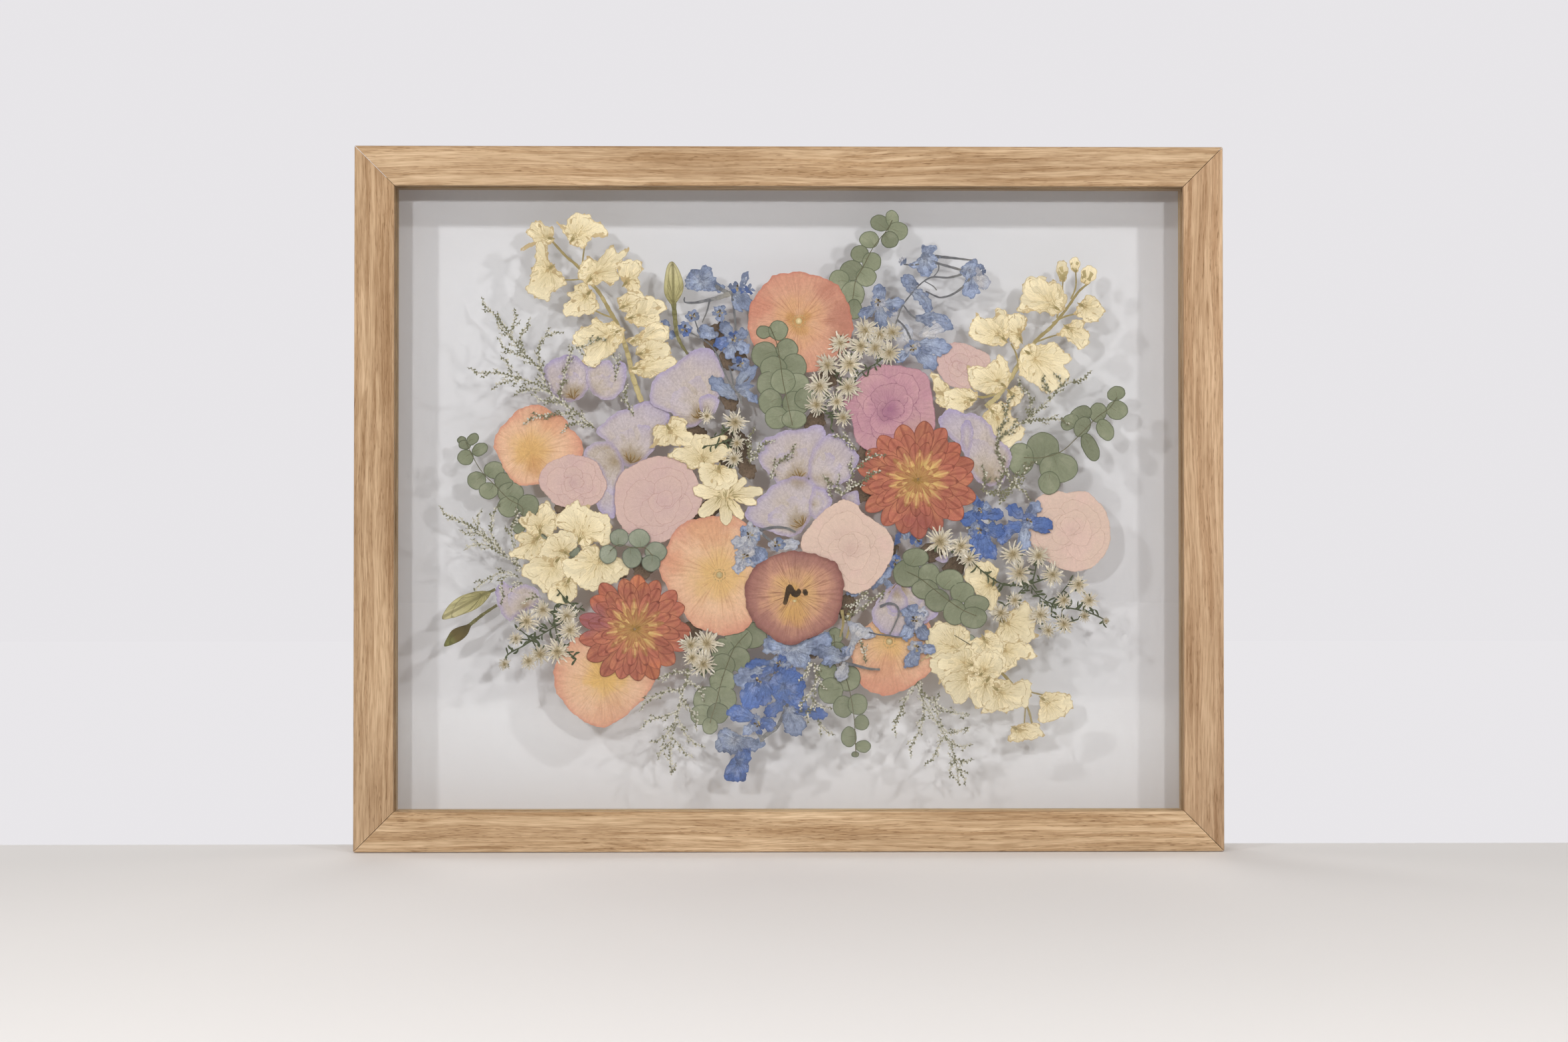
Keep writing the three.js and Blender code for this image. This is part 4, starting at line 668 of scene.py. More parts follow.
pod_dark = pressed("poppy_pod_dark", [(0.0, "3c2f24"), (0.6, "4c3a2a"), (1.0, "5e4932")], "2c2018", 0.5,
                   spokes=6, rim="6b5236", rim_share=0.5, rim_width=0.6, crepe_shading=0.3)
pod_cream = pressed("poppy_pod_cream", [(0.0, "dccda4"), (0.5, "cdb98c"), (1.0, "ab8a56")], "8a6c3c", 0.5,
                    spokes=9, rim="a8844c", rim_share=0.5, rim_width=0.5, crepe_shading=0.2)
SALMON, PEACH, PLUM, POD_DARK, POD_CREAM = range(5)
POPPY_SLOTS = {"poppy_salmon_top": SALMON, "poppy_plum_centre": PLUM}
# the stamens' ring lies this far from the middle in mm
STAMENS = 3.7
SEEDS = [[-2, -56], [0, -54], [2, -55], [4, -58], [6, -56.5], [7.5, -59], [5, -62], [2, -61.5], [0.5, -60],
         [-0.5, -63], [-2, -66.5], [-4, -66], [-3, -61]]
for name, (layer, outline, eye) in POPPIES.items():
    pile = Pile(name, layer)
    chance = random.Random(name)
    ring = frill(smooth(outline), 0.5, 14, name)
    slot = POPPY_SLOTS.get(name, PEACH)
    turn = chance.uniform(0, 360)
    # two petals face to face, then the two across them
    for i in (0, 2, 1, 3):
        start = turn + i * 90
        quarter = sector(ring, eye, start - POPPY_OVERLAP, start + (90 + POPPY_OVERLAP))
        pile.lay(frill(smooth(quarter, 1.6), 0.2, 7, i), eye, slot, ridge=0.05, ridges=17, edge=ring,
                 tone=0.4 + i * 0.06)
    if name == "poppy_plum_centre":
        # the dark pod, a seed beside it and a pale stigma
        pile.lay(frill(smooth(SEEDS, 0.8), 0.25, 2, name), (2, -60), POD_DARK, step=1.0, ridge=0)
        seed = oval(10, -59, 1.7, 2.2, lean=20)
        pile.lay(frill(seed, 0.3, 2, name), (10, -59), POD_DARK, step=0.9, ridge=0)
        pile.lay(frill(oval(3.4, -64.4, 1.5, 1.0), 0.2, 2, name), (3, -64), POD_CREAM, step=0.9, ridge=0)
    elif name in ("poppy_salmon_top", "poppy_peach_centre", "poppy_peach_low_right"):
        pile.lay(frill(oval(*eye, 2.3), 0.25, 1.5, name), eye, POD_CREAM, step=0.9, ridge=0)
        for i in range(14):
            # the stamens' tips, a broken ring of dots
            angle = i / 14 * 2 * math.pi + chance.uniform(-0.1, 0.1)
            away = STAMENS * chance.uniform(0.9, 1.12)
            tip = spoke(*eye, angle, away, away)
            pile.lay(oval(*tip, 0.42, 0.55, math.degrees(angle), sides=8), tip, POD_CREAM, step=1.0, ridge=0)
    pile.finish("poppy_petal", [salmon, peach, plum, pod_dark, pod_cream], name)
print("poppies ready")

# %% [markdown]
# ## Dahlias
# Rows of narrow pointed petals, 12 to 16 mm long outside and shorter inside.
# Each folded along its middle, so its fold dried darkest; its edges are drawn
# darker too, partly their dried colour and partly painted shade, and the inner
# rows kept the yellow of their claws.

# %% Dahlias
coral = pressed("dahlia_coral", [(0.0, "c2905e"), (0.3, "b8785a"), (0.75, "ae6856"), (1.0, "ba725a")],
                "84473f", 0.65, spokes=14, stretch=0.6, rim="743c34", rim_share=0.75, rim_width=0.8,
                patch="c0835f", patch_share=0.45, patch_size=9, midrib="8c4c40", tone_range=0.26,
                spots=[(81, -20, 13, "8a4c4a", 0.6), (-124, -76, 10, "8f5a66", 0.7),
                       (-92, -50, 8, "c0744c", 0.6), (-84, -110, 9, "bd7250", 0.6),
                       (-122, -60, 6, "b86a4e", 0.6), (104, 30, 10, "a85a48", 0.5)])
golden = pressed("dahlia_golden", [(0.0, "bf9c5c"), (0.45, "cda868"), (0.7, "c48c62"), (0.95, "ad6a56")],
                 "94603f", 0.5, spokes=14, stretch=0.6, rim="96603c", rim_share=0.6, rim_width=0.4,
                 midrib="d8b878", tone_range=0.16)
heart = pressed("dahlia_heart", [(0.0, "a5894e"), (0.6, "b3904c"), (1.0, "b88a4c")], "7c5a30", 0.6,
                spokes=12, rim="8a6234", rim_share=0.5, rim_width=0.4, crepe_shading=0.3)
# the layer, the middle, and the radius across and up
DAHLIAS = {"dahlia_right": (1, 81, 12, 38, 37), "dahlia_left": (1, -97, -82, 35, 35.5)}
CORAL, GOLDEN, HEART = range(3)
# petals in the row, their start, end and width as shares of the radius, and their colour
ROWS = [(17, 0.4, 1.0, 0.34, CORAL), (16, 0.25, 0.84, 0.28, CORAL), (15, 0.1, 0.68, 0.21, CORAL),
        (14, 0.06, 0.54, 0.14, GOLDEN), (13, 0.04, 0.4, 0.09, GOLDEN), (13, 0.03, 0.27, 0.055, GOLDEN)]
HEART_FLORETS = 34
for name, (layer, x, z, radius_x, radius_z) in DAHLIAS.items():
    pile = Pile(name, layer)
    chance = random.Random(name)
    for row, (count, near, far, width, slot) in enumerate(ROWS):
        for i in range(count):
            angle = (i + row * 0.5) / count * 2 * math.pi + chance.uniform(-0.06, 0.06)
            base = spoke(x, z, angle, radius_x, radius_z, near)
            tip = spoke(x, z, angle, radius_x, radius_z, far * chance.uniform(0.92, 1.04))
            shape = petal_outline(base, tip, width * radius_x * chance.uniform(0.85, 1.05),
                                  POINTED if slot == CORAL else STRAP, chance.uniform(-0.06, 0.06))
            pile.lay(shape, base, slot, step=2.2, ridge=0.03)
    for _ in range(HEART_FLORETS):
        # the closed florets of the middle, as short straps
        angle = chance.uniform(0, 2 * math.pi)
        away = chance.uniform(0.3, 4.2)
        base = spoke(x, z, angle, away, away, 0.3)
        short = petal_outline(base, spoke(x, z, angle, away, away), 0.7, STRAP)
        pile.lay(short, base, HEART, step=1.2, ridge=0)
    pile.finish("dahlia_petal", [coral, golden, heart], name)
print("dahlias ready")

# %% [markdown]
# ## Carnations
# A flattened pompon is almost one plain disc of colour. Its petals show only as
# a few faint arcs, each the toothed edge of a petal lying on the one below.

# %% Carnations
CARNATIONS = {
    "carnation_magenta": (2, [[34, 62], [43, 75], [50, 81], [57, 84.5], [66, 84.5], [75, 83], [83, 81],
      [88, 76], [91, 61], [92, 53], [92, 45], [86, 38], [76, 33], [64, 29], [54, 28], [46, 32], [41, 38],
      [40, 46], [37, 54]], [62, 56]),
    "carnation_pink_top": (5, [[92, 84], [91, 90], [96, 95], [101, 98], [107, 99], [114, 97], [126, 91],
      [127, 85], [124, 78], [119, 72], [112, 69], [104, 70], [97, 75]], [108, 84]),
    "carnation_pink_left": (5, [[-158, 12], [-156, 18], [-152, 22.5], [-142, 27], [-136, 28], [-124, 25],
      [-120, 21], [-115, 10], [-116, 4], [-123, -4], [-138, -6], [-144, -5], [-149, -2.5], [-157, 7]],
      [-136, 10]),
    "carnation_pink_mid": (3, [[-110, 6], [-108, 13], [-104, 18], [-91, 25], [-82, 27], [-74, 26],
      [-66, 22.5], [-60, 17], [-55, 2], [-56, -6], [-60, -12], [-66, -17], [-72, -23], [-79, -27.5],
      [-88, -28], [-97, -25], [-104, -20], [-108.5, -13], [-110, -4]], [-80, -2]),
    "carnation_pale_centre": (2, [[7, -30], [8, -24], [12, -18], [21, -8], [32, -1], [38, -1], [43, -4],
      [47, -9], [60, -18], [65, -25], [66, -33], [63, -41], [58, -49], [50, -57], [40, -60], [30, -55],
      [20, -47], [12, -39]], [38, -32]),
    "carnation_pale_right": (6, [[156, 0], [163, 4], [170, 5], [176, 4], [183, 5], [189, 4], [199, -6],
      [202, -14], [203, -22], [202, -30], [198, -37], [192, -43], [183, -46], [173, -45], [165, -41],
      [159, -37], [154, -31], [151, -24], [150, -15], [152, -7]], [178, -20]),
}

PALE = {"vein_share": 0.25, "spokes": 12, "rim_share": 0.45, "rim_width": 0.5, "patch_size": 16,
        "tone_range": 0.05, "crepe_shading": 0.05}
rose = pressed("carnation_pink", [(0.0, "c6a6a2"), (0.5, "cdafa8"), (1.0, "d0b2a8")], "b8948c",
               rim="a67e78", patch="c9a8a6", patch_share=0.5, **PALE)
beige = pressed("carnation_beige", [(0.0, "cfb0a4"), (0.5, "d6baac"), (1.0, "d9beae")], "bd9a8c",
                rim="a88476", patch="dbb8b0", patch_share=0.45, **PALE)
magenta = pressed("carnation_magenta", [(0.0, "a2708a"), (0.35, "b48492"), (1.0, "c0929a")],
                  "85526a", 0.35, spokes=12, rim="80506a", rim_share=0.65, rim_width=0.6,
                  patch="c49c9c", patch_share=0.45, patch_size=14, tone_range=0.08, crepe_shading=0.07,
                  spots=[(62, 55, 8, "94607c", 0.5), (82, 44, 9, "c09a94", 0.5)])
# for each colour: petals in the ring, how far they reach, and their width, as shares of the radius
ARCS = [((4, 0.9, 1.0), (3, 0.62, 0.7), (2, 0.34, 0.45)),
        ((4, 0.88, 1.05), (3, 0.56, 0.7), (1, 0.34, 0.5)),
        ((5, 0.9, 0.95), (4, 0.62, 0.75), (2, 0.34, 0.4))]
ROSE, BEIGE, MAGENTA = range(3)
CARNATION_SLOTS = {"carnation_magenta": MAGENTA, "carnation_pale_centre": BEIGE,
                   "carnation_pale_right": BEIGE}
for name, (layer, outline, middle) in CARNATIONS.items():
    pile = Pile(name, layer)
    chance = random.Random(name)
    slot = CARNATION_SLOTS.get(name, ROSE)
    ring = smooth(outline, 0.8)
    pile.lay(frill(ring, 0.35, 11, name, teeth=0.35), middle, slot, ridge=0.04, ridges=17, tone=0.5)
    hub = np.array(middle, float)
    size = np.hypot(*(ring - hub).T).mean()
    for count, far, width in ARCS[slot]:
        for i in range(count):
            angle = (i + chance.uniform(-0.3, 0.3) + far * 3) / count * 2 * math.pi
            heading = toward(angle)
            # how far the outline lies in this direction
            away = (ring - hub) @ heading
            reach = away[np.argmax(away - 2 * np.abs((ring - hub) @ left(heading)))]
            tip = hub + heading * reach * far * chance.uniform(0.85, 0.97)
            base = hub - heading * reach * 0.12
            shape = petal_outline(base, tip, size * width * chance.uniform(0.85, 1.1), ROUND,
                                  chance.uniform(-0.12, 0.12))
            pile.lay(frill(smooth(shape, 0.9), 0.5, 9, i, teeth=0.35), hub, slot, step=2.2, ridge=0.04)
    pile.finish("carnation_petal", [rose, beige, magenta], name)
print("carnations ready")

# %% [markdown]
# ## Sweet peas
# Broad standards and wings like crepe, lilac at the rim and almost white inside,
# running to a brown claw whose hairs dried golden.

# %% Sweet peas
def petal(base_x, base_z, tip_x, tip_z, width):
    return ("petal", (base_x, base_z), (tip_x, tip_z), width)


def stem(points, start_width, end_width):
    return ("stem", points, start_width, end_width)


def bell(x, z, half_width, half_height=None, lean=0):
    return ("bell", x, z, half_width, half_height, lean)


def hairs(pile, hub, heading, slot, count, length, width, spread):
    """Fine dark lines that leave a claw or a calyx in a fan."""
    chance = pile.chance
    hub = np.array(hub, float)
    for i in range(count):
        turn = math.atan2(heading[1], heading[0]) + spread * (2 * (i + 0.5) / count - 1)
        turn += chance.uniform(-0.12, 0.12)
        tip = hub + toward(turn) * length * chance.uniform(0.6, 1.1)
        hair = petal_outline(hub, tip, width, STRAP, chance.uniform(-0.15, 0.15))
        pile.lay(hair, hub, slot, step=1.2, ridge=0)


SWEET_PEAS = {
    "sweet_pea_far_left": (8, [[[-155, 80], [-153, 85], [-149, 88], [-137, 91], [-127, 83], [-126, 76],
      [-127, 69], [-132, 63], [-140, 61], [-148, 65], [-153, 72]], [[-128, 81], [-118, 87], [-113, 87],
      [-110, 84], [-106, 87], [-103, 84], [-102.5, 79], [-104, 71], [-108, 65], [-114, 62], [-121, 64],
      [-127, 71]]]),
    "sweet_pea_upper": (4, [[[-88, 62], [-85, 76], [-73, 84], [-62, 93], [-55, 95], [-49, 94], [-42, 83],
      [-41, 76], [-44, 68], [-46, 60], [-50, 53], [-61, 45], [-68, 48], [-75, 54], [-83, 57]],
      petal(-52, 50, -50, 66, 13)]),
    "sweet_pea_left": (7, [[[-122, 42], [-118, 47], [-110, 54], [-100, 58], [-94, 61], [-87, 62], [-80, 60],
      [-76, 55], [-76, 47], [-81, 39], [-86, 30], [-94, 22], [-102, 20], [-108, 26], [-113, 34]], [[-130, 26],
      [-127, 33], [-120, 36], [-112, 35], [-106, 27], [-104, 18], [-108, 9], [-109, -1], [-110, -12],
      [-117, -10], [-122, -3], [-118, 6], [-118, 14], [-122, 21]]]),
    "sweet_pea_centre": (4, [[[-19, 23], [-19, 29], [-15, 31], [-18, 35], [-14, 39], [-9, 40], [-4, 43],
      [8, 44], [18, 47], [22, 44], [23, 39], [16, 29], [13, 14], [5, 9], [-5, 8], [-11, 13]], [[12, 20],
      [14, 28], [21, 38], [26, 41], [35, 38], [42, 30], [44, 25], [40, 15], [36, 11], [24, 5], [18, 6],
      [13, 11]]]),
    "sweet_pea_lower": (3, [[[-28, -10], [-26, -5], [-16, 3], [-10, 9], [2, 14], [8, 14], [14, 11], [17, 7],
      [18, -4], [14, -11], [10, -18], [5, -23], [-2, -24], [-9, -22], [-22, -17], [-26, -14]], [[15, 7],
      [21, 6.5], [25, 3], [27, -3], [22, -8], [16, -13], [12, -6]]]),
    "sweet_pea_right": (2, [[[94, 50], [97, 54], [102, 57], [110, 54], [116, 54], [122, 51], [127, 46],
      [130, 40], [139, 31], [140, 25], [136, 12], [132, 9], [126, 8], [120, 10], [115, 15], [112, 24],
      [108, 32], [102, 38], [96, 43]], petal(112, 24, 112, 50, 8)]),
    "sweet_pea_low_left": (6, [[[-185, -60], [-184, -55], [-180, -52], [-175, -55], [-168, -54], [-162, -55],
      [-158, -58], [-157, -64], [-162, -69], [-170, -73], [-176, -77], [-180, -74], [-183, -68]]]),
    "sweet_pea_low_right": (3, [[[53, -78], [52, -71], [56, -63], [60, -58], [66, -54], [73, -53], [80, -57],
      [88, -62], [93, -68], [93, -74], [80, -82], [74, -87], [66, -87], [58, -84]],
      petal(68, -54, 68, -72, 14)]),
}

CLAWS = {
    "sweet_pea_far_left": [(-136, 64), (-124, 66)], "sweet_pea_upper": [(-56, 52), (-52, 50)],
    "sweet_pea_left": [(-100, 24), (-110, 24)], "sweet_pea_centre": [(6, 13), (17, 12)],
    "sweet_pea_lower": [(7, -16), (15, -4)], "sweet_pea_right": [(128, 13), (112, 24)],
    "sweet_pea_low_left": [(-166, -68)], "sweet_pea_low_right": [(68, -55), (68, -54)],
}
# these two show no brown claw
CLAWLESS = ("sweet_pea_right", "sweet_pea_low_left")
claw_stains = [(*pair[0], 8, "93805f", 0.6) for name, pair in CLAWS.items() if name not in CLAWLESS]
lilac = pressed("sweet_pea_lilac",
                [(0.0, "a08e74"), (0.2, "b5a698"), (0.5, "bfb1aa"), (0.82, "b8abb2"), (1.0, "ab9fb8")],
                "96888c", 0.35, spokes=13, rim="a396ba", rim_share=0.6, rim_width=4.0, patch="c8bcc0",
                patch_share=0.45, patch_size=13, tone_range=0.08, crepe_shading=0.13, spots=claw_stains)
claw_brown = pressed("sweet_pea_claw", [(0.0, "6e5634"), (0.6, "8a7048"), (1.0, "a88e62")], "55401f", 0.6,
                     spokes=8, rim="8a6a44", rim_share=0.4, rim_width=0.5, crepe_shading=0.3)
WING_SHARE = 0.6
CLAW = 1
for name, (layer, outlines) in SWEET_PEAS.items():
    pile = Pile(name, layer)
    for i, shape in enumerate(outlines):
        hub = np.array(CLAWS[name][i], float)
        if isinstance(shape, tuple):
            pile.lay(frill(petal_outline(*shape[1:]), 0.5, 8, name + str(i), teeth=0.15), hub, ridge=0.05)
            continue
        ring = smooth(shape)
        pile.lay(frill(ring, 0.5, 8, name + str(i), teeth=0.15), hub, ridge=0.05, ridges=11, tone=0.5)
        # the folded wing petals lie over the standard, nearer the claw
        wings = frill(hub + (ring - hub) * WING_SHARE, 0.6, 6, name + "wing" + str(i), teeth=0.15)
        pile.lay(wings, hub, ridge=0.05, tone=0.7, edge=ring)
        if name not in CLAWLESS and i == 0:
            heading = unit(ring.mean(0) - hub)
            hairs(pile, hub - heading * 1.5, heading, CLAW, count=9, length=7.5, width=0.7, spread=1.2)
    pile.finish("sweet_pea_petal", [lilac, claw_brown], name)
print("sweet peas ready")

# %% [markdown]
# ## Buds and stocks
# Buds are ribbed and olive. Stock florets are cream and crumpled, set along a
# pale stem. Brown lines run out of each claw for a third of the petal.

# %% Buds
BUDS = {
    "bud_top": (1, [[[-74, 149.5], [-70, 145], [-67, 137], [-67, 131], [-70, 125], [-73, 122], [-76, 124],
      [-79, 131], [-77.5, 145]], stem([[-73, 124], [-72, 113], [-71, 104], [-68, 97], [-64, 91]], 3.2, 1.6)]),
    "bud_left_pale": (5, [[[-218, -76], [-215, -68], [-208, -62], [-200, -59], [-193, -58], [-188, -59],
      [-190, -63], [-195, -68], [-203, -72]], stem([[-192, -60], [-188, -58.5], [-185, -57]], 2.4, 1.6)]),
    "bud_left_dark": (5, [[[-217, -93], [-215, -87], [-211, -82], [-201, -79], [-201, -82], [-203, -86],
      [-208, -90]], stem([[-203, -81], [-193, -73], [-184, -67]], 2.4, 1.6)]),
}

bud_green = pressed("bud_olive", [(0.0, "928a5e"), (0.4, "b3aa7c"), (1.0, "c6bc92")], "6c6440", 0.75,
                    spokes=6, stretch=0.4, rim="6c6440", rim_share=0.6, rim_width=0.7, midrib="6a6240")
bud_brown = pressed("bud_dark", [(0.0, "5a5034"), (0.5, "6a5c3a"), (1.0, "80824e")], "40361f", 0.7,
                    spokes=6, stretch=0.4, rim="463c24", rim_share=0.5, rim_width=0.6)
stalk_green = pressed("stalk_olive", [(0.0, "74704a"), (0.5, "7c7650"), (1.0, "8a8260")], "56522f", 0.5,
                      spokes=5, stretch=6.0, rim="585434", rim_share=0.6, rim_width=0.4)
BUD_GREEN, BUD_BROWN, STALK = range(3)
for name, (layer, shapes) in BUDS.items():
    pile = Pile(name, layer)
    join = np.array(shapes[1][1][0], float)
    slot = BUD_BROWN if name.endswith("dark") else BUD_GREEN
    pile.lay(stem_outline(*shapes[1][1:]), join, STALK, step=1.6)
    ring = smooth(shapes[0])
    pile.lay(ring, join, slot, ridge=0.05, ridges=7)
    hub = ring.mean(0)
    pile.lay(hub + (ring - hub) * np.array([0.62, 0.9]), join, slot, ridge=0.03)
    pile.finish("bud_sepal", [bud_green, bud_brown, stalk_green], name)
print("buds ready")

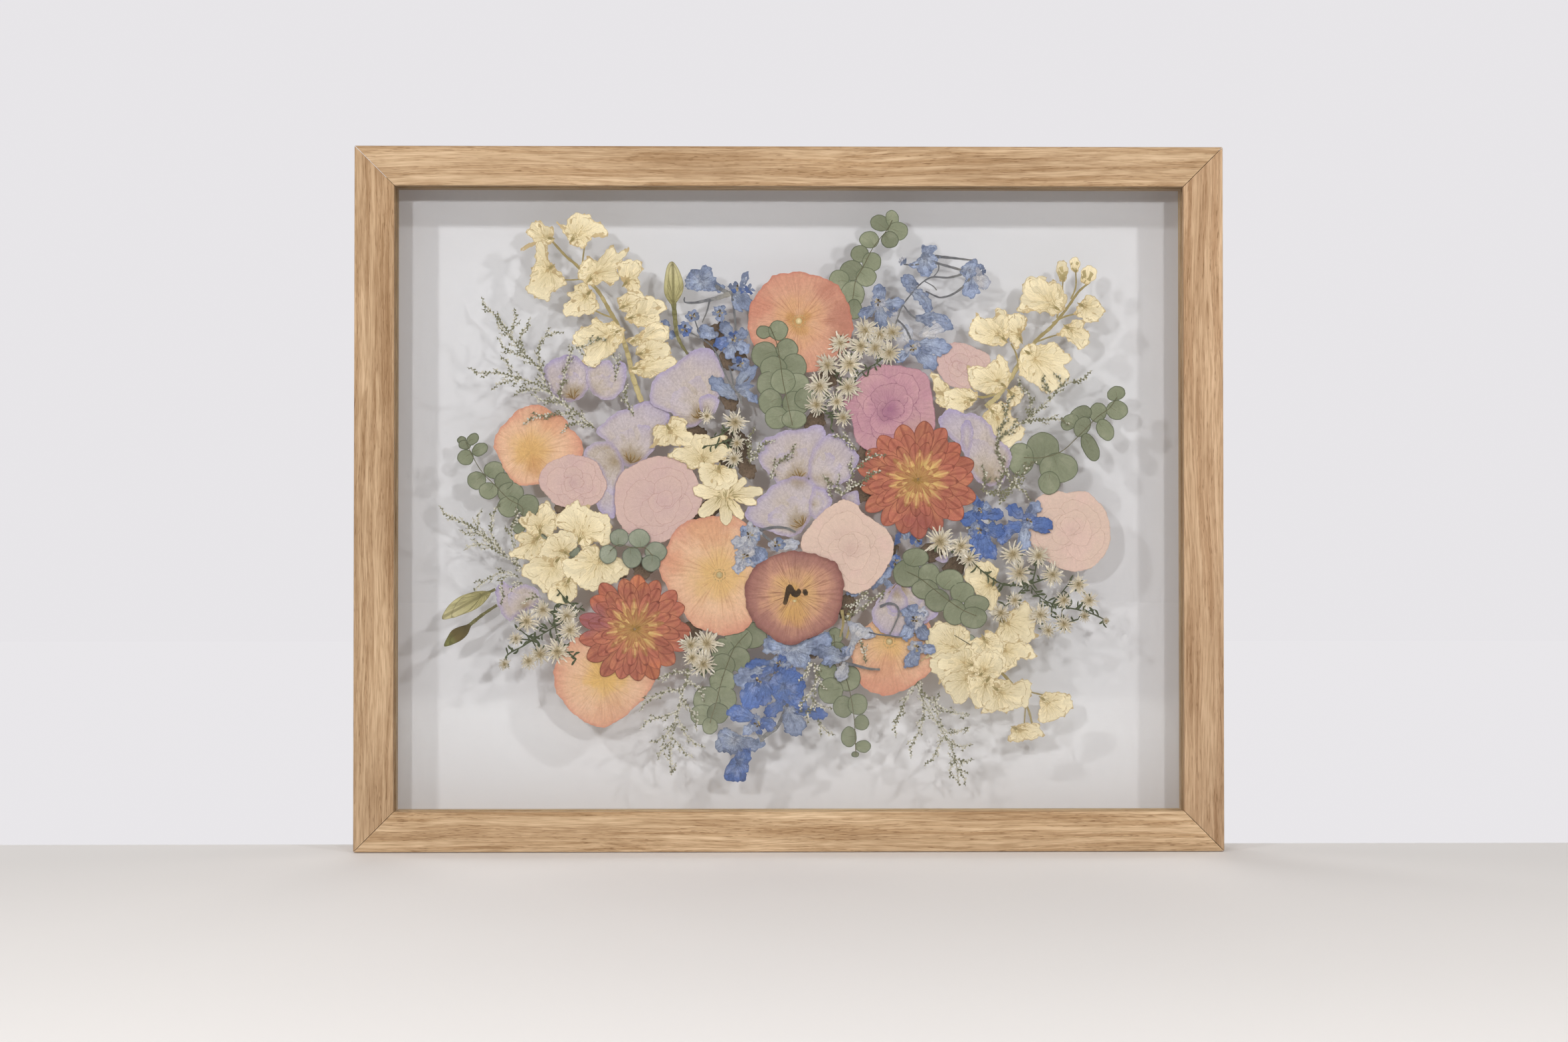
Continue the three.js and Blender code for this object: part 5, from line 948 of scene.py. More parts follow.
# %% Stocks
STOCKS = {
    "stock_top_left": (5, [ stem([[-151, 164], [-141, 153], [-134, 147], [-127, 138], [-120, 130],
      [-113, 118], [-108, 109], [-104, 98], [-101, 88], [-99, 78], [-95, 66], [-93, 61]], 2, 5), [[-166, 168],
      [-163, 173], [-158, 176], [-154, 172], [-149, 171], [-149, 162], [-155, 159], [-160, 160], [-169, 156],
      [-168, 159], [-161, 162]], [[-129, 158], [-137, 160], [-141, 166], [-147, 174], [-141, 173],
      [-138, 179], [-128, 180], [-122, 175], [-117, 173], [-114, 165], [-121, 167], [-126, 163]],
      stem([[-129, 160], [-130, 153], [-131, 142]], 1.4, 1.4), [[-141, 138], [-149, 147], [-153, 152],
      [-153, 161], [-159, 162], [-160, 150], [-163, 142], [-163, 137], [-166, 133], [-163, 129], [-157, 126],
      [-152, 125], [-150, 130], [-143, 134]], stem([[-143, 138], [-136, 138], [-128, 139]], 1.2, 1.4),
      [[-133, 139], [-132, 147], [-127, 153], [-121, 150], [-112, 160], [-109, 155], [-101, 158], [-108, 146],
      [-107, 140], [-112, 134], [-117, 137], [-124, 134]], [[-109, 148], [-100, 151], [-94, 150], [-92, 145],
      [-95, 140], [-93, 127], [-100, 129], [-105, 136]], [[-143, 120], [-141, 116], [-135, 115], [-122, 118],
      [-121, 124], [-126, 133], [-130, 136], [-134, 135], [-136, 131], [-140, 130], [-138, 126]],
      stem([[-123, 119], [-117, 116], [-111, 114]], 1.4, 1.6), [[-108, 126], [-100, 131], [-94, 130],
      [-90, 126], [-95, 121], [-100, 116], [-106, 119]], [[-137, 98], [-136, 103], [-132, 108], [-127, 109],
      [-122, 115], [-118, 111], [-112, 112], [-105, 108], [-104, 101], [-113, 90], [-118, 88], [-122, 83],
      [-128, 84], [-131, 88], [-129, 93]], [[-91, 128], [-79, 124], [-77, 120], [-81, 117], [-82, 112],
      [-86, 108], [-94, 108], [-103, 113], [-102, 117]], [[-103, 100], [-95, 104], [-87, 111], [-80, 111],
      [-75, 106], [-77, 100], [-83, 96], [-90, 97], [-97, 96]], [[-97, 94], [-92, 99], [-84, 100], [-77, 98],
      [-74, 94], [-78, 88], [-86, 86], [-94, 88]], [[-101, 81], [-90, 90], [-84, 88], [-76, 90], [-71, 87],
      [-75, 82], [-88, 76], [-96, 78]]]),
    "stock_top_right": (4, [ stem([[190, 137], [183, 131], [178, 124], [172, 116], [165, 108], [158, 102],
      [152, 95], [146, 87], [141, 78], [136, 71], [131, 64], [124, 58]], 1.8, 5),
      petal(173, 137, 172, 151, 9), stem([[173, 139], [172, 127], [169, 114]], 1.2, 1.6),
      petal(181, 143, 180, 153, 8), stem([[181, 144], [181, 134], [178, 126]], 1.2, 1.6),
      petal(186, 136, 192, 147, 12), [[180, 117], [184, 124], [190, 129], [198, 122], [199, 117], [194, 112],
      [189, 111]], stem([[182, 117], [174, 115], [166, 111]], 1.4, 1.8), [[169, 104], [175, 110], [180, 113],
      [187, 113], [186, 108], [190, 104], [189, 98], [184, 94], [175, 101]], stem([[171, 104], [164, 102],
      [156, 99]], 1.2, 1.6), [[146, 124], [144, 120], [148, 117], [151, 120], [157, 118], [162, 118],
      [166, 116], [170, 117], [174, 121], [175, 128], [168, 138], [164, 136], [161, 140], [155, 140],
      [149, 138]], [[114, 108], [118, 117], [123, 114], [129, 115], [131, 121], [136, 119], [139, 114],
      [140, 108], [139, 102], [137, 98], [132, 96], [120, 99], [114, 103]], [[138, 116], [145, 117],
      [150, 114], [149, 108], [146, 106], [147, 100], [144, 94], [140, 98], [138, 106]], stem([[140, 98],
      [143, 92], [145, 84]], 1.4, 1.8), [[146, 92], [150, 97], [156, 98], [160, 97], [166, 99], [171, 96],
      [173, 93], [178, 90], [177, 86], [173, 84], [177, 79], [175, 74], [165, 67], [160, 68], [156, 72],
      [145, 79]], [[113, 84], [124, 84], [133, 91], [138, 85], [140, 78], [138, 71], [132, 67], [125, 66],
      [115, 70], [113, 76]], [[89, 80], [94, 78], [102, 69], [102, 61], [97, 57], [93, 60], [91, 70]],
      [[98, 68], [106, 70], [118, 68], [117, 61], [106, 52], [99, 55], [97, 62]], stem([[114, 66], [122, 64],
      [130, 66]], 2, 2.4), [[137, 62], [139, 69], [145, 71], [148, 66], [145, 60], [139, 57]], [[122, 50],
      [125, 57], [131, 61], [138, 60], [141, 52], [146, 48], [149, 42], [146, 37], [135, 31], [129, 38]]]),
    "stock_left": (4, [[[-171, -13], [-166, -11], [-165, -7], [-160, -10], [-157, -4], [-153, -1], [-150, -4],
      [-147, -10], [-146, -17], [-150, -24], [-156, -22], [-161, -25]], [[-146, -10], [-135, -1], [-131, -4],
      [-126, -4], [-123, -8], [-116, -9], [-112.5, -13], [-112, -18], [-113, -29], [-119, -29], [-123, -26],
      [-126, -31], [-132, -30], [-136, -23], [-148, -16]], [[-173, -24], [-169, -21], [-155, -24],
      [-152, -31], [-156, -38], [-166, -38], [-175, -37], [-176, -33], [-170, -30]], [[-153, -25],
      [-147, -21], [-140, -20], [-134, -24], [-134, -30], [-139, -34], [-140, -40], [-150, -41], [-158, -37],
      [-156, -29]], [[-169, -47], [-166, -41], [-158, -36], [-149, -37], [-142, -37], [-139, -44],
      [-142, -52], [-147, -59], [-153, -60], [-160, -54]], [[-143, -39], [-135, -37], [-129, -30],
      [-122, -29], [-117, -34], [-103, -39], [-100, -45], [-108, -52], [-117, -57], [-127, -58], [-134, -53],
      [-141, -48]], [[-150, -55], [-144, -51], [-137, -50], [-133, -57], [-137, -65], [-145, -66],
      [-152, -62]]]),
    "stock_centre": (1, [[[-88, 32], [-85, 38], [-87, 42], [-83, 47], [-77, 46], [-75, 51], [-69, 52],
      [-64, 48], [-65, 43], [-60, 41], [-58, 36], [-62, 32], [-69, 33], [-82, 33]], [[-71, 32], [-64, 34],
      [-60, 40], [-54, 41], [-49, 39], [-41, 41], [-39, 38], [-44, 35], [-38, 34], [-36, 30], [-40, 25],
      [-54, 20], [-61, 18], [-68, 23], [-77, 27]], [[-56, 24], [-50, 22], [-38, 20], [-33, 17], [-32, 12],
      [-36, 7], [-44, 5], [-54, 9], [-57, 16]], petal(-40, 2, -61, 6, 11), petal(-41, 2, -57, -11, 11),
      petal(-40, 1, -40, -17, 10), petal(-39, 1, -29, -13, 8), petal(-38, 2, -20, -3, 7),
      petal(-38, 3, -16, 5, 9), petal(-39, 2, -27, 13, 7), petal(-40, 0, -42, 14, 10)]),
    "stock_low_right": (4, [[[110, -46], [114, -41], [120, -39], [127, -40], [132, -45], [130, -53],
      [133, -60], [131, -66], [131, -74], [124, -69], [118, -61], [112, -55]], [[129, -68], [134, -72],
      [141, -70], [146, -66], [150, -65], [155, -76], [155, -83], [157, -87], [150, -91], [142, -92],
      [134, -91], [130, -86], [132, -78]], [[133, -90], [142, -90], [149, -90], [154, -95], [156, -99],
      [152, -102], [146, -101], [142, -106], [137, -109], [130, -107], [127, -98]], [[86, -90], [87, -84],
      [91, -79], [96, -77], [109, -80], [113, -83], [114, -89], [112, -95], [105, -99], [96, -99], [82, -102],
      [88, -97]], [[88, -106], [90, -100], [97, -97], [105, -94], [112, -91], [118, -96], [119, -105],
      [114, -112], [106, -113], [98, -115], [95, -117], [93, -112]], [[113, -91], [117, -88], [122, -87],
      [124, -83], [129, -84], [134, -90], [134, -98], [126, -101], [118, -98]], [[115, -102], [120, -97],
      [128, -95], [135, -98], [137, -105], [133, -112], [126, -115], [118, -112]], [[98, -112], [104, -109],
      [112, -108], [119, -111], [119, -119], [115, -124], [107, -130], [103, -127], [96, -117]], [[113, -110],
      [120, -112], [128, -113], [133, -118], [130, -127], [118, -132], [112, -118]], [[129, -114],
      [137, -114], [143, -116], [148, -113], [153, -118], [150, -131], [143, -132], [138, -135], [131, -134],
      [122, -136], [122, -131], [128, -124]], stem([[132, -108], [137, -113], [142, -119], [147, -126],
      [151, -134], [153, -142]], 3, 1.8), stem([[145, -121], [152, -122], [161, -124]], 1.4, 1.4),
      [[159, -123], [172, -122], [177, -124], [179, -130], [175, -136], [163, -141], [157, -140],
      [158, -131]], stem([[149, -129], [148, -143]], 1.2, 1.2), [[138, -153], [139, -147], [142, -143],
      [155, -141], [159, -145], [160, -150], [146, -153]]]),
}

STOCK_AXES = {
    "stock_left": [(-160, -20), (-148, -32), (-136, -42), (-122, -44)],
    "stock_centre": [(-74, 40), (-56, 26), (-44, 14), (-40, 2)],
    "stock_low_right": [(120, -46), (130, -70), (124, -92), (114, -104), (126, -118)],
}
cream = pressed("stock_cream", [(0.0, "cbb488"), (0.2, "dac8a0"), (0.6, "e3d3b0"), (1.0, "e8dab9")],
                "9c8450", 0.7, vein_end=0.95, spokes=16, rim="a88c5e", rim_share=0.7, rim_width=0.55,
                patch="d9c59e", patch_share=0.3, patch_size=9, tone_range=0.2, crepe_shading=0.05, relief=0.22)
stock_stem = pressed("stock_stem", [(0.0, "a59468"), (0.5, "b3a274"), (1.0, "bcac80")], "80704a", 0.5,
                     spokes=5, stretch=9.0, rim="8a7a50", rim_share=0.6, rim_width=0.6)
calyx_tan = pressed("calyx_tan", [(0.0, "94845a"), (1.0, "bba97c")], "7c6c44", 0.4, spokes=6,
                    rim="8e7d50", rim_share=0.4, rim_width=0.3)


CREAM, STOCK_STEM, CALYX = range(3)
# a stem is cut to this share of the width in the list above
STEM_SHARE = 0.7
FLORET_PETALS = 5
PETAL_OVERLAP = 14


def nearest(points, place):
    return closest(open_curve(points, 1.0), place)


def floret(pile, ring, claw, slot, wave=5.0, share=0.45, ruffle=0.6):
    """A crumpled flower: its whole outline, then its petals, which lie over each other."""
    chance = pile.chance
    hub = np.array(claw, float)
    pile.lay(frill(ring, ruffle * 1.8, wave * 1.6, chance.random(), teeth=0.4), hub, slot, ridge=0.05)
    heart_point = hub * (1 - share) + ring.mean(0) * share
    start = chance.uniform(0, 360)
    for i in range(FLORET_PETALS):
        first, last = start + i * 360 / FLORET_PETALS, start + (i + 1) * 360 / FLORET_PETALS
        shape = sector(ring, heart_point, first - PETAL_OVERLAP, last + PETAL_OVERLAP)
        if shape is None:
            continue
        shape = heart_point + (shape - heart_point) * chance.uniform(0.72, 1.0)
        pile.lay(frill(smooth(shape), ruffle, wave, chance.random(), teeth=0.4), heart_point, slot, step=2.2,
                 ridge=0.05)


for name, (layer, shapes) in STOCKS.items():
    pile = Pile(name, layer)
    axis = STOCK_AXES.get(name) or shapes[0][1]
    for shape in shapes:
        if shape[0] == "stem":
            line, start, end = shape[1:]
            stalk = stem_outline(line, start * STEM_SHARE, end * STEM_SHARE)
            pile.lay(stalk, line[0], STOCK_STEM, ridge=0.02)
        elif shape[0] == "petal":
            claw, tip = np.array(shape[1], float), np.array(shape[2], float)
            width, length = shape[3] * 0.85, float(np.hypot(*(tip - claw)))
            ring = petal_outline(claw, tip, width, ROUND)
            pile.lay(frill(ring, 0.5, 6, shape[3], teeth=0.3), claw, ridge=0.05)
            if name == "stock_top_right":
                # closed buds, still in their brown calyx
                pile.lay(petal_outline(claw, claw * 0.3 + tip * 0.7, width * 0.9), claw, CALYX, ridge=0.05)
            hairs(pile, claw, tip - claw, CALYX, count=4, length=length * 0.5, width=0.5, spread=0.35)
    for shape in shapes:
        if isinstance(shape, tuple):
            continue
        ring = smooth(shape)
        near = nearest(axis, ring.mean(0))
        claw = closest(ring, near) * 0.75 + ring.mean(0) * 0.25
        floret(pile, ring, claw, CREAM)
        heading = unit(ring.mean(0) - claw)
        hairs(pile, claw - heading, heading, CALYX, count=7, length=6.5, width=0.28, spread=0.7)
        calyx = petal_outline(claw - heading * 3.5, claw + heading * 1.5, 1.8)
        pile.lay(calyx, claw, CALYX, step=1.4, ridge=0)
    pile.finish("stock_petal", [cream, stock_stem, calyx_tan], name)
print("stocks ready")

# %% [markdown]
# ## Delphiniums
# Thin blue petals that crumpled as they dried: slate at their torn edges and
# folds, paler where they lie double. The bee, a tuft of cream and brown, is all
# that is left of the eye, and a narrow slate spur trails behind.

# %% Delphiniums
DELPHINIUMS = {
    "delphinium_top_left": (3, [ stem([[-57, 102], [-50, 97], [-46, 92], [-42, 82], [-37, 72], [-32, 66],
      [-30, 60]], 1.2, 2.2), [[-66, 137], [-62, 144], [-56, 145], [-53, 148], [-49, 145], [-46, 138],
      [-40, 133], [-44, 130], [-52, 131], [-60, 131], [-65, 133]], stem([[-47, 134], [-41, 131],
      [-36, 129]], 5, 3), stem([[-66, 127], [-66, 124], [-60, 123.5], [-52, 125], [-44, 127],
      [-36, 130]], 1.2, 6), bell(-32, 133, 8, 3.4), bell(-25, 132, 3.4), petal(-30, 133, -26, 144, 4),
      petal(-35, 131, -26, 118, 10), stem([[-36, 129], [-35, 120], [-34, 110], [-33, 100]], 2.4, 2.4),
      stem([[-50, 126], [-52, 118], [-55, 111]], 2, 1.2), bell(-44, 117, 4.4, 5.4), bell(-61, 115, 4.6, 4),
      petal(-45, 103, -58, 108, 10), bell(-66, 107, 4.6, 5.4), stem([[-66, 106], [-61, 104],
      [-56, 101]], 1.8, 1.4), stem([[-60, 114], [-58, 108], [-55, 101]], 1.4, 1.4),
      petal(-36, 100, -48, 96, 9), petal(-36, 102, -43, 112, 9), petal(-34, 101, -26, 106, 8),
      petal(-35, 99, -25, 92, 9), petal(-36, 98, -40, 88, 9), bell(-35, 101, 4.6), bell(-31, 85, 6.4, 5),
      petal(-33, 63, -51, 77, 10), petal(-34, 70, -19, 84, 7), petal(-34, 69, -22, 72, 5),
      petal(-32, 68, -19, 60, 6), stem([[-38, 84], [-36, 76], [-35, 70]], 2, 2)]),
    "delphinium_top_right": (3, [ stem([[81, 134], [86, 138], [91, 140], [99, 139.5], [105, 140.5],
      [112, 143]], 1.4, 2.6), stem([[91, 140], [94, 144], [94, 148], [91, 150]], 1, 1.8), [[84, 160],
      [94, 159.5], [91, 155], [95, 152], [89, 141], [84, 140], [80, 145], [75, 147], [80, 150], [84, 155]],
      bell(71.5, 150, 3, 3.2), stem([[72, 148], [77, 147.5], [82, 148]], 1.4, 1.8), stem([[92, 153],
      [103, 152], [116, 150.5]], 3.4, 1.6), stem([[92, 149], [101, 146.5], [110, 144]], 2.6, 2.6),
      [[108, 145], [116, 151], [119, 151], [120, 146], [118, 140], [113, 137], [109, 141]],
      bell(121, 144, 4, 4.6), petal(116, 140, 115, 126, 12), petal(117, 141, 125, 132, 9), stem([[85, 137.5],
      [91, 134], [93, 131.5]], 1, 1.4), stem([[86, 131], [92, 128], [96, 127], [103, 129], [110, 134],
      [114, 139]], 1.6, 2.6), petal(81, 134, 70, 140, 9), petal(80, 136, 75, 130, 8),
      petal(76, 132, 89, 124, 9), petal(84, 130, 88, 116, 7), stem([[82, 135], [76, 128], [71, 121],
      [67, 110]], 1.6, 1.4), petal(58, 123, 55, 136, 9), petal(58, 123, 73, 125, 8),
      petal(56, 122, 56, 106, 9), petal(55, 121, 43, 115, 8), bell(56, 124, 5, 5), bell(65, 118, 4, 4),
      stem([[72, 122], [78, 115], [88, 111]], 1.4, 2.6), petal(76, 98, 73, 110, 8),
      petal(80, 114, 104, 107, 11), petal(82, 103, 100, 114, 10), petal(78, 97, 103, 95, 12),
      petal(78, 95, 93, 81, 11), petal(76, 94, 66, 86, 8), bell(78, 95, 5.6), stem([[68, 113], [73, 108],
      [78, 98]], 2, 2)]),
    "delphinium_pale": (1, [ bell(-25, -23, 7, 8.4), bell(-28, -36, 7, 7.4), petal(-26, -30, -37, -27, 9),
      petal(-26, -38, -13, -39, 10), petal(-27, -38, -33, -48, 8), petal(-22, -30, -14, -38, 9),
      stem([[-19, -20], [-10, -18], [-2, -18.5], [4, -21]], 3, 2), stem([[-19, -20], [-15, -24],
      [-9, -29]], 2.6, 2.6), bell(-8, -29, 6, 4.4), petal(-8, -29, 7, -28, 8)]),
    "delphinium_right": (2, [ petal(149, -13, 157.5, -1, 9), petal(149, -12, 137, -4, 9),
      petal(149, -16, 134.5, -19, 9), petal(149, -16, 147, -35, 9), petal(150, -16, 167, -18.5, 9.5),
      bell(151, -14, 5, 5.6), petal(142, -20, 132, -29, 8), bell(121, -7, 6, 7), petal(119, -8, 108, -16, 10),
      petal(119, -4, 115, 3, 7), petal(121, -10, 136, -10, 9), bell(119.5, -20, 7, 6),
      petal(119, -20, 118, -40, 12), petal(122, -20, 131, -38, 11), petal(122, -18, 136, -23, 10)]),
    "delphinium_bottom": (3, [[[-17, -93], [-14, -86], [-8, -86], [-2, -90], [8, -90], [18, -86], [25, -84],
      [27, -91], [24, -96], [14, -98], [13, -105], [7, -107], [0, -104], [-8, -98], [-15, -98]],
      bell(-6, -104, 6.5, 6), petal(-8, -104, -28, -104, 13), petal(-14, -108, -36, -114, 15),
      petal(-20, -114, -30, -131, 15), petal(-16, -114, -18, -131, 11), bell(-19, -114, 8, 4), [[-13, -116],
      [-6, -108], [2, -106], [9, -112], [10, -120], [6, -129], [-2, -131], [-9, -127]],
      petal(-3, -127, -16, -137, 9), petal(0, -124, 12, -133, 10), stem([[-1, -129], [-4, -136], [-8, -144],
      [-15, -149], [-22, -155]], 3, 5), petal(-1, -131, 6, -150, 15), petal(3, -134, 25, -137, 9),
      petal(-22, -138, -40, -134, 11), petal(-17, -138, -9, -146, 9), petal(-20, -140, -30, -148, 7),
      bell(-20, -142, 4.6, 7), stem([[-20, -146], [-18, -150], [-17, -153]], 5, 4), [[-42, -144], [-30, -149],
      [-15, -152], [-19, -158], [-33, -161], [-41, -160], [-47, -157]], [[-31, -158], [-24, -158],
      [-25, -167], [-27, -175], [-29, -178], [-40, -177], [-40, -170]]]),
    "delphinium_low_right": (0, [[[37, -77], [48, -80], [54, -84], [53, -88], [46, -88], [42, -91], [40, -97],
      [36, -102], [33, -101], [38, -92], [39, -85]], petal(35, -100, 13, -97, 9),
      petal(34, -101, 20, -104, 8), petal(35, -100, 35, -92, 7), stem([[33, -103], [42, -105], [50, -107],
      [57, -107.5]], 3.4, 2.2), petal(35, -103, 30, -115, 9), stem([[50, -84], [56, -85.5], [62, -86],
      [70, -87], [79, -84]], 1.6, 1.4), stem([[57, -68], [62, -66], [67, -67], [69, -72], [66, -80],
      [63, -86]], 2.6, 1.2), petal(78, -74, 71, -69, 8), petal(78, -76, 80, -66, 8),
      petal(79, -75, 88, -72, 9), bell(79, -76, 6.4, 6), petal(79, -78, 73, -90, 9),
      petal(80, -78, 85, -90, 9), bell(80, -94, 5.4, 5), petal(79, -94, 72, -107, 7),
      petal(80, -95, 80, -106, 7), petal(81, -94, 93, -95, 7)]),
}

CRUMPLED = {"spokes": 9, "rim_share": 0.5, "rim_width": 1.0, "patch_size": 8}
blue = pressed("delphinium_blue", [(0.0, "a2a4ac"), (0.3, "9aa2b4"), (0.7, "929cb6"), (1.0, "8490ac")],
               "505870", 0.7, rim="565e78", patch="5e667e", patch_share=0.75, tone_range=0.4, crepe_shading=0.22,
               **CRUMPLED)
deep_blue = pressed("delphinium_deep", [(0.0, "707c98"), (0.3, "5f74a4"), (1.0, "4f68a4")], "39446a", 0.7,
                    rim="414c70", patch="8f9abb", patch_share=0.6, tone_range=0.4, crepe_shading=0.22, **CRUMPLED)
grey_blue = pressed("delphinium_pale", [(0.0, "c2bcb8"), (0.3, "b8b6b8"), (1.0, "aaacba")], "747684", 0.6,
                    rim="767a8a", patch="c2bab6", patch_share=0.6, tone_range=0.3, crepe_shading=0.2, **CRUMPLED)
spur = pressed("delphinium_spur", [(0.0, "6e6e72"), (0.5, "807f80"), (1.0, "948f86")], "54545c", 0.5,
               spokes=5, stretch=6.0, rim="5a5a60", rim_share=0.5, rim_width=0.3, crepe_shading=0.2)
bee_cream = pressed("delphinium_bee", [(0.0, "a8946c"), (0.5, "cdbf9c"), (1.0, "d8ccae")], "7a6440", 0.6,
                    spokes=6, rim="85704a", rim_share=0.6, rim_width=0.4, crepe_shading=0.3)
bee_brown = pressed("delphinium_bee_brown", [(0.0, "4c4034"), (1.0, "6a5a46")], "342a20", 0.6,
                    spokes=6, rim="40352a", rim_share=0.5, rim_width=0.3, crepe_shading=0.3)
BLUE, DEEP, GREY, SPUR, BEE_CREAM, BEE_BROWN = range(6)
# the main tint of a spike and the one that some petals take
BLUES = {"delphinium_top_right": (BLUE, GREY), "delphinium_pale": (GREY, BLUE),
         "delphinium_bottom": (DEEP, BLUE), "delphinium_right": (DEEP, BLUE),
         "delphinium_low_right": (BLUE, GREY)}
# what share of the petals takes the second tint
TINT_SHARE = 0.3
# a stem or spur is cut to this share of the width in the list above
SPUR_SHARE = 0.6
# half the width in mm from which an open flower shows its bee
OPEN_FLOWER = 4.3


def blue_petal(pile, base, tip, width, slot):
    """A torn, crumpled petal, with a fold of it lying over."""
    chance = pile.chance
    base, tip = np.array(base, float), np.array(tip, float)
    ring = petal_outline(base, tip, width * 1.05, RAGGED, chance.uniform(-0.14, 0.14))
    pile.lay(frill(ring, 0.8, 6, chance.random(), teeth=0.5), base, slot, ridge=0.08, ridges=7)
    side = left(unit(tip - base))
    start = base + side * width * chance.uniform(-0.2, 0.2)
    end = base + (tip - base) * chance.uniform(0.7, 0.95) + side * width * chance.uniform(-0.3, 0.3)
    fold = petal_outline(start, end, width * 0.42, RAGGED, chance.uniform(-0.2, 0.2))
    pile.lay(frill(fold, 0.3, 3, chance.random(), teeth=0.25), start, slot, step=1.6, ridge=0.04)


def bee(pile, x, z, size):
    """The tuft in a flower's middle."""
    chance = pile.chance
    middle = np.array([x, z])
    for i in range(7):
        angle = chance.uniform(0, 2 * math.pi)
        base = middle + size * 0.15 * toward(angle)
        tip = middle + size * chance.uniform(0.5, 0.95) * toward(angle)
        tuft = petal_outline(base, tip, size * chance.uniform(0.25, 0.5))
        pile.lay(tuft, base, BEE_CREAM if i % 3 else BEE_BROWN, step=1.0, ridge=0)


def delphinium(name, layer, shapes, tints):
    pile = Pile(name, layer)

    def next_tint():
        return tints[1] if pile.chance.random() < TINT_SHARE else tints[0]

    for shape in shapes:
        tint = next_tint()
        if isinstance(shape, list):
            ring = smooth(shape)
            floret(pile, ring, ring.mean(0) * 0.6 + ring[0] * 0.4, tint, wave=4.5, share=0.5)
        elif shape[0] == "stem":
            line, start, end = shape[1:]
            stalk = stem_outline(line, start * SPUR_SHARE, end * SPUR_SHARE)
            pile.lay(stalk, line[0], SPUR, step=1.6, ridge=0.02)
        elif shape[0] == "petal":
            blue_petal(pile, *shape[1:], tint)
    # the open flowers lie over the rest
    for shape in shapes:
        if shape[0] == "bell":
            x, z, half_width, half_height, lean = shape[1:]
            half_height = half_height or half_width
            count = 6 if half_width > 4 else 4
            start = pile.chance.uniform(0, 6.28)
            for i in range(count):
                angle = start + i / count * 2 * math.pi
                across = math.cos(angle) * half_width * pile.chance.uniform(0.95, 1.15)
                up = math.sin(angle) * half_height * pile.chance.uniform(0.95, 1.15)
                width = min(half_width, half_height) * pile.chance.uniform(0.8, 1.35)
                blue_petal(pile, (x, z), leaning(x, z, across, up, lean), width, next_tint())
            if half_width > OPEN_FLOWER:
                bee(pile, x, z, 3.0)
    return pile


BLUE_SET = [blue, deep_blue, grey_blue, spur, bee_cream, bee_brown]
for name, (layer, shapes) in DELPHINIUMS.items():
    delphinium(name, layer, shapes, BLUES.get(name, (BLUE, DEEP))).finish("delphinium_petal", BLUE_SET, name)
SMALL_BLUES = {
    "delphinium_under_dahlia": (3, [petal(74, -26, 70, -16, 7), petal(76, -26, 82, -22, 7),
                                    petal(66, -30, 69, -20, 4), petal(66, -36, 70, -44, 6),
                                    bell(67, -40, 4.6), stem([[68, -32], [67, -37]], 1.2, 2.0),
                                    bell(80, -26, 4.4)], (DEEP, BLUE)),
    "delphinium_beside_bud": (6, [petal(-82, 104, -76, 113, 7), petal(-80, 106, -70, 104, 6)], (BLUE, GREY)),
    "delphinium_low_centre": (4, [petal(36, -60, 46, -58, 7), petal(52, -57, 66, -42, 6),
                                  petal(60, -50, 66, -58, 5)], (DEEP, BLUE)),
}
for name, (layer, shapes, tints) in SMALL_BLUES.items():
    delphinium(name, layer, shapes, tints).finish("delphinium_petal", BLUE_SET)
print("delphiniums ready")

# %% [markdown]
# ## Eucalyptus, asters and limonium
# Eucalyptus leaves are round, waxy and grey-green, darker along every edge,
# partly their own colour and partly painted shade where one leaf lies on the next.
# Asters have rounds of 14 to 22 narrow cream rays that curled every way about a
# beige middle, over dark green leaves. Limonium is a wiry twig with a floret or a
# tiny leaf every millimetre or two.

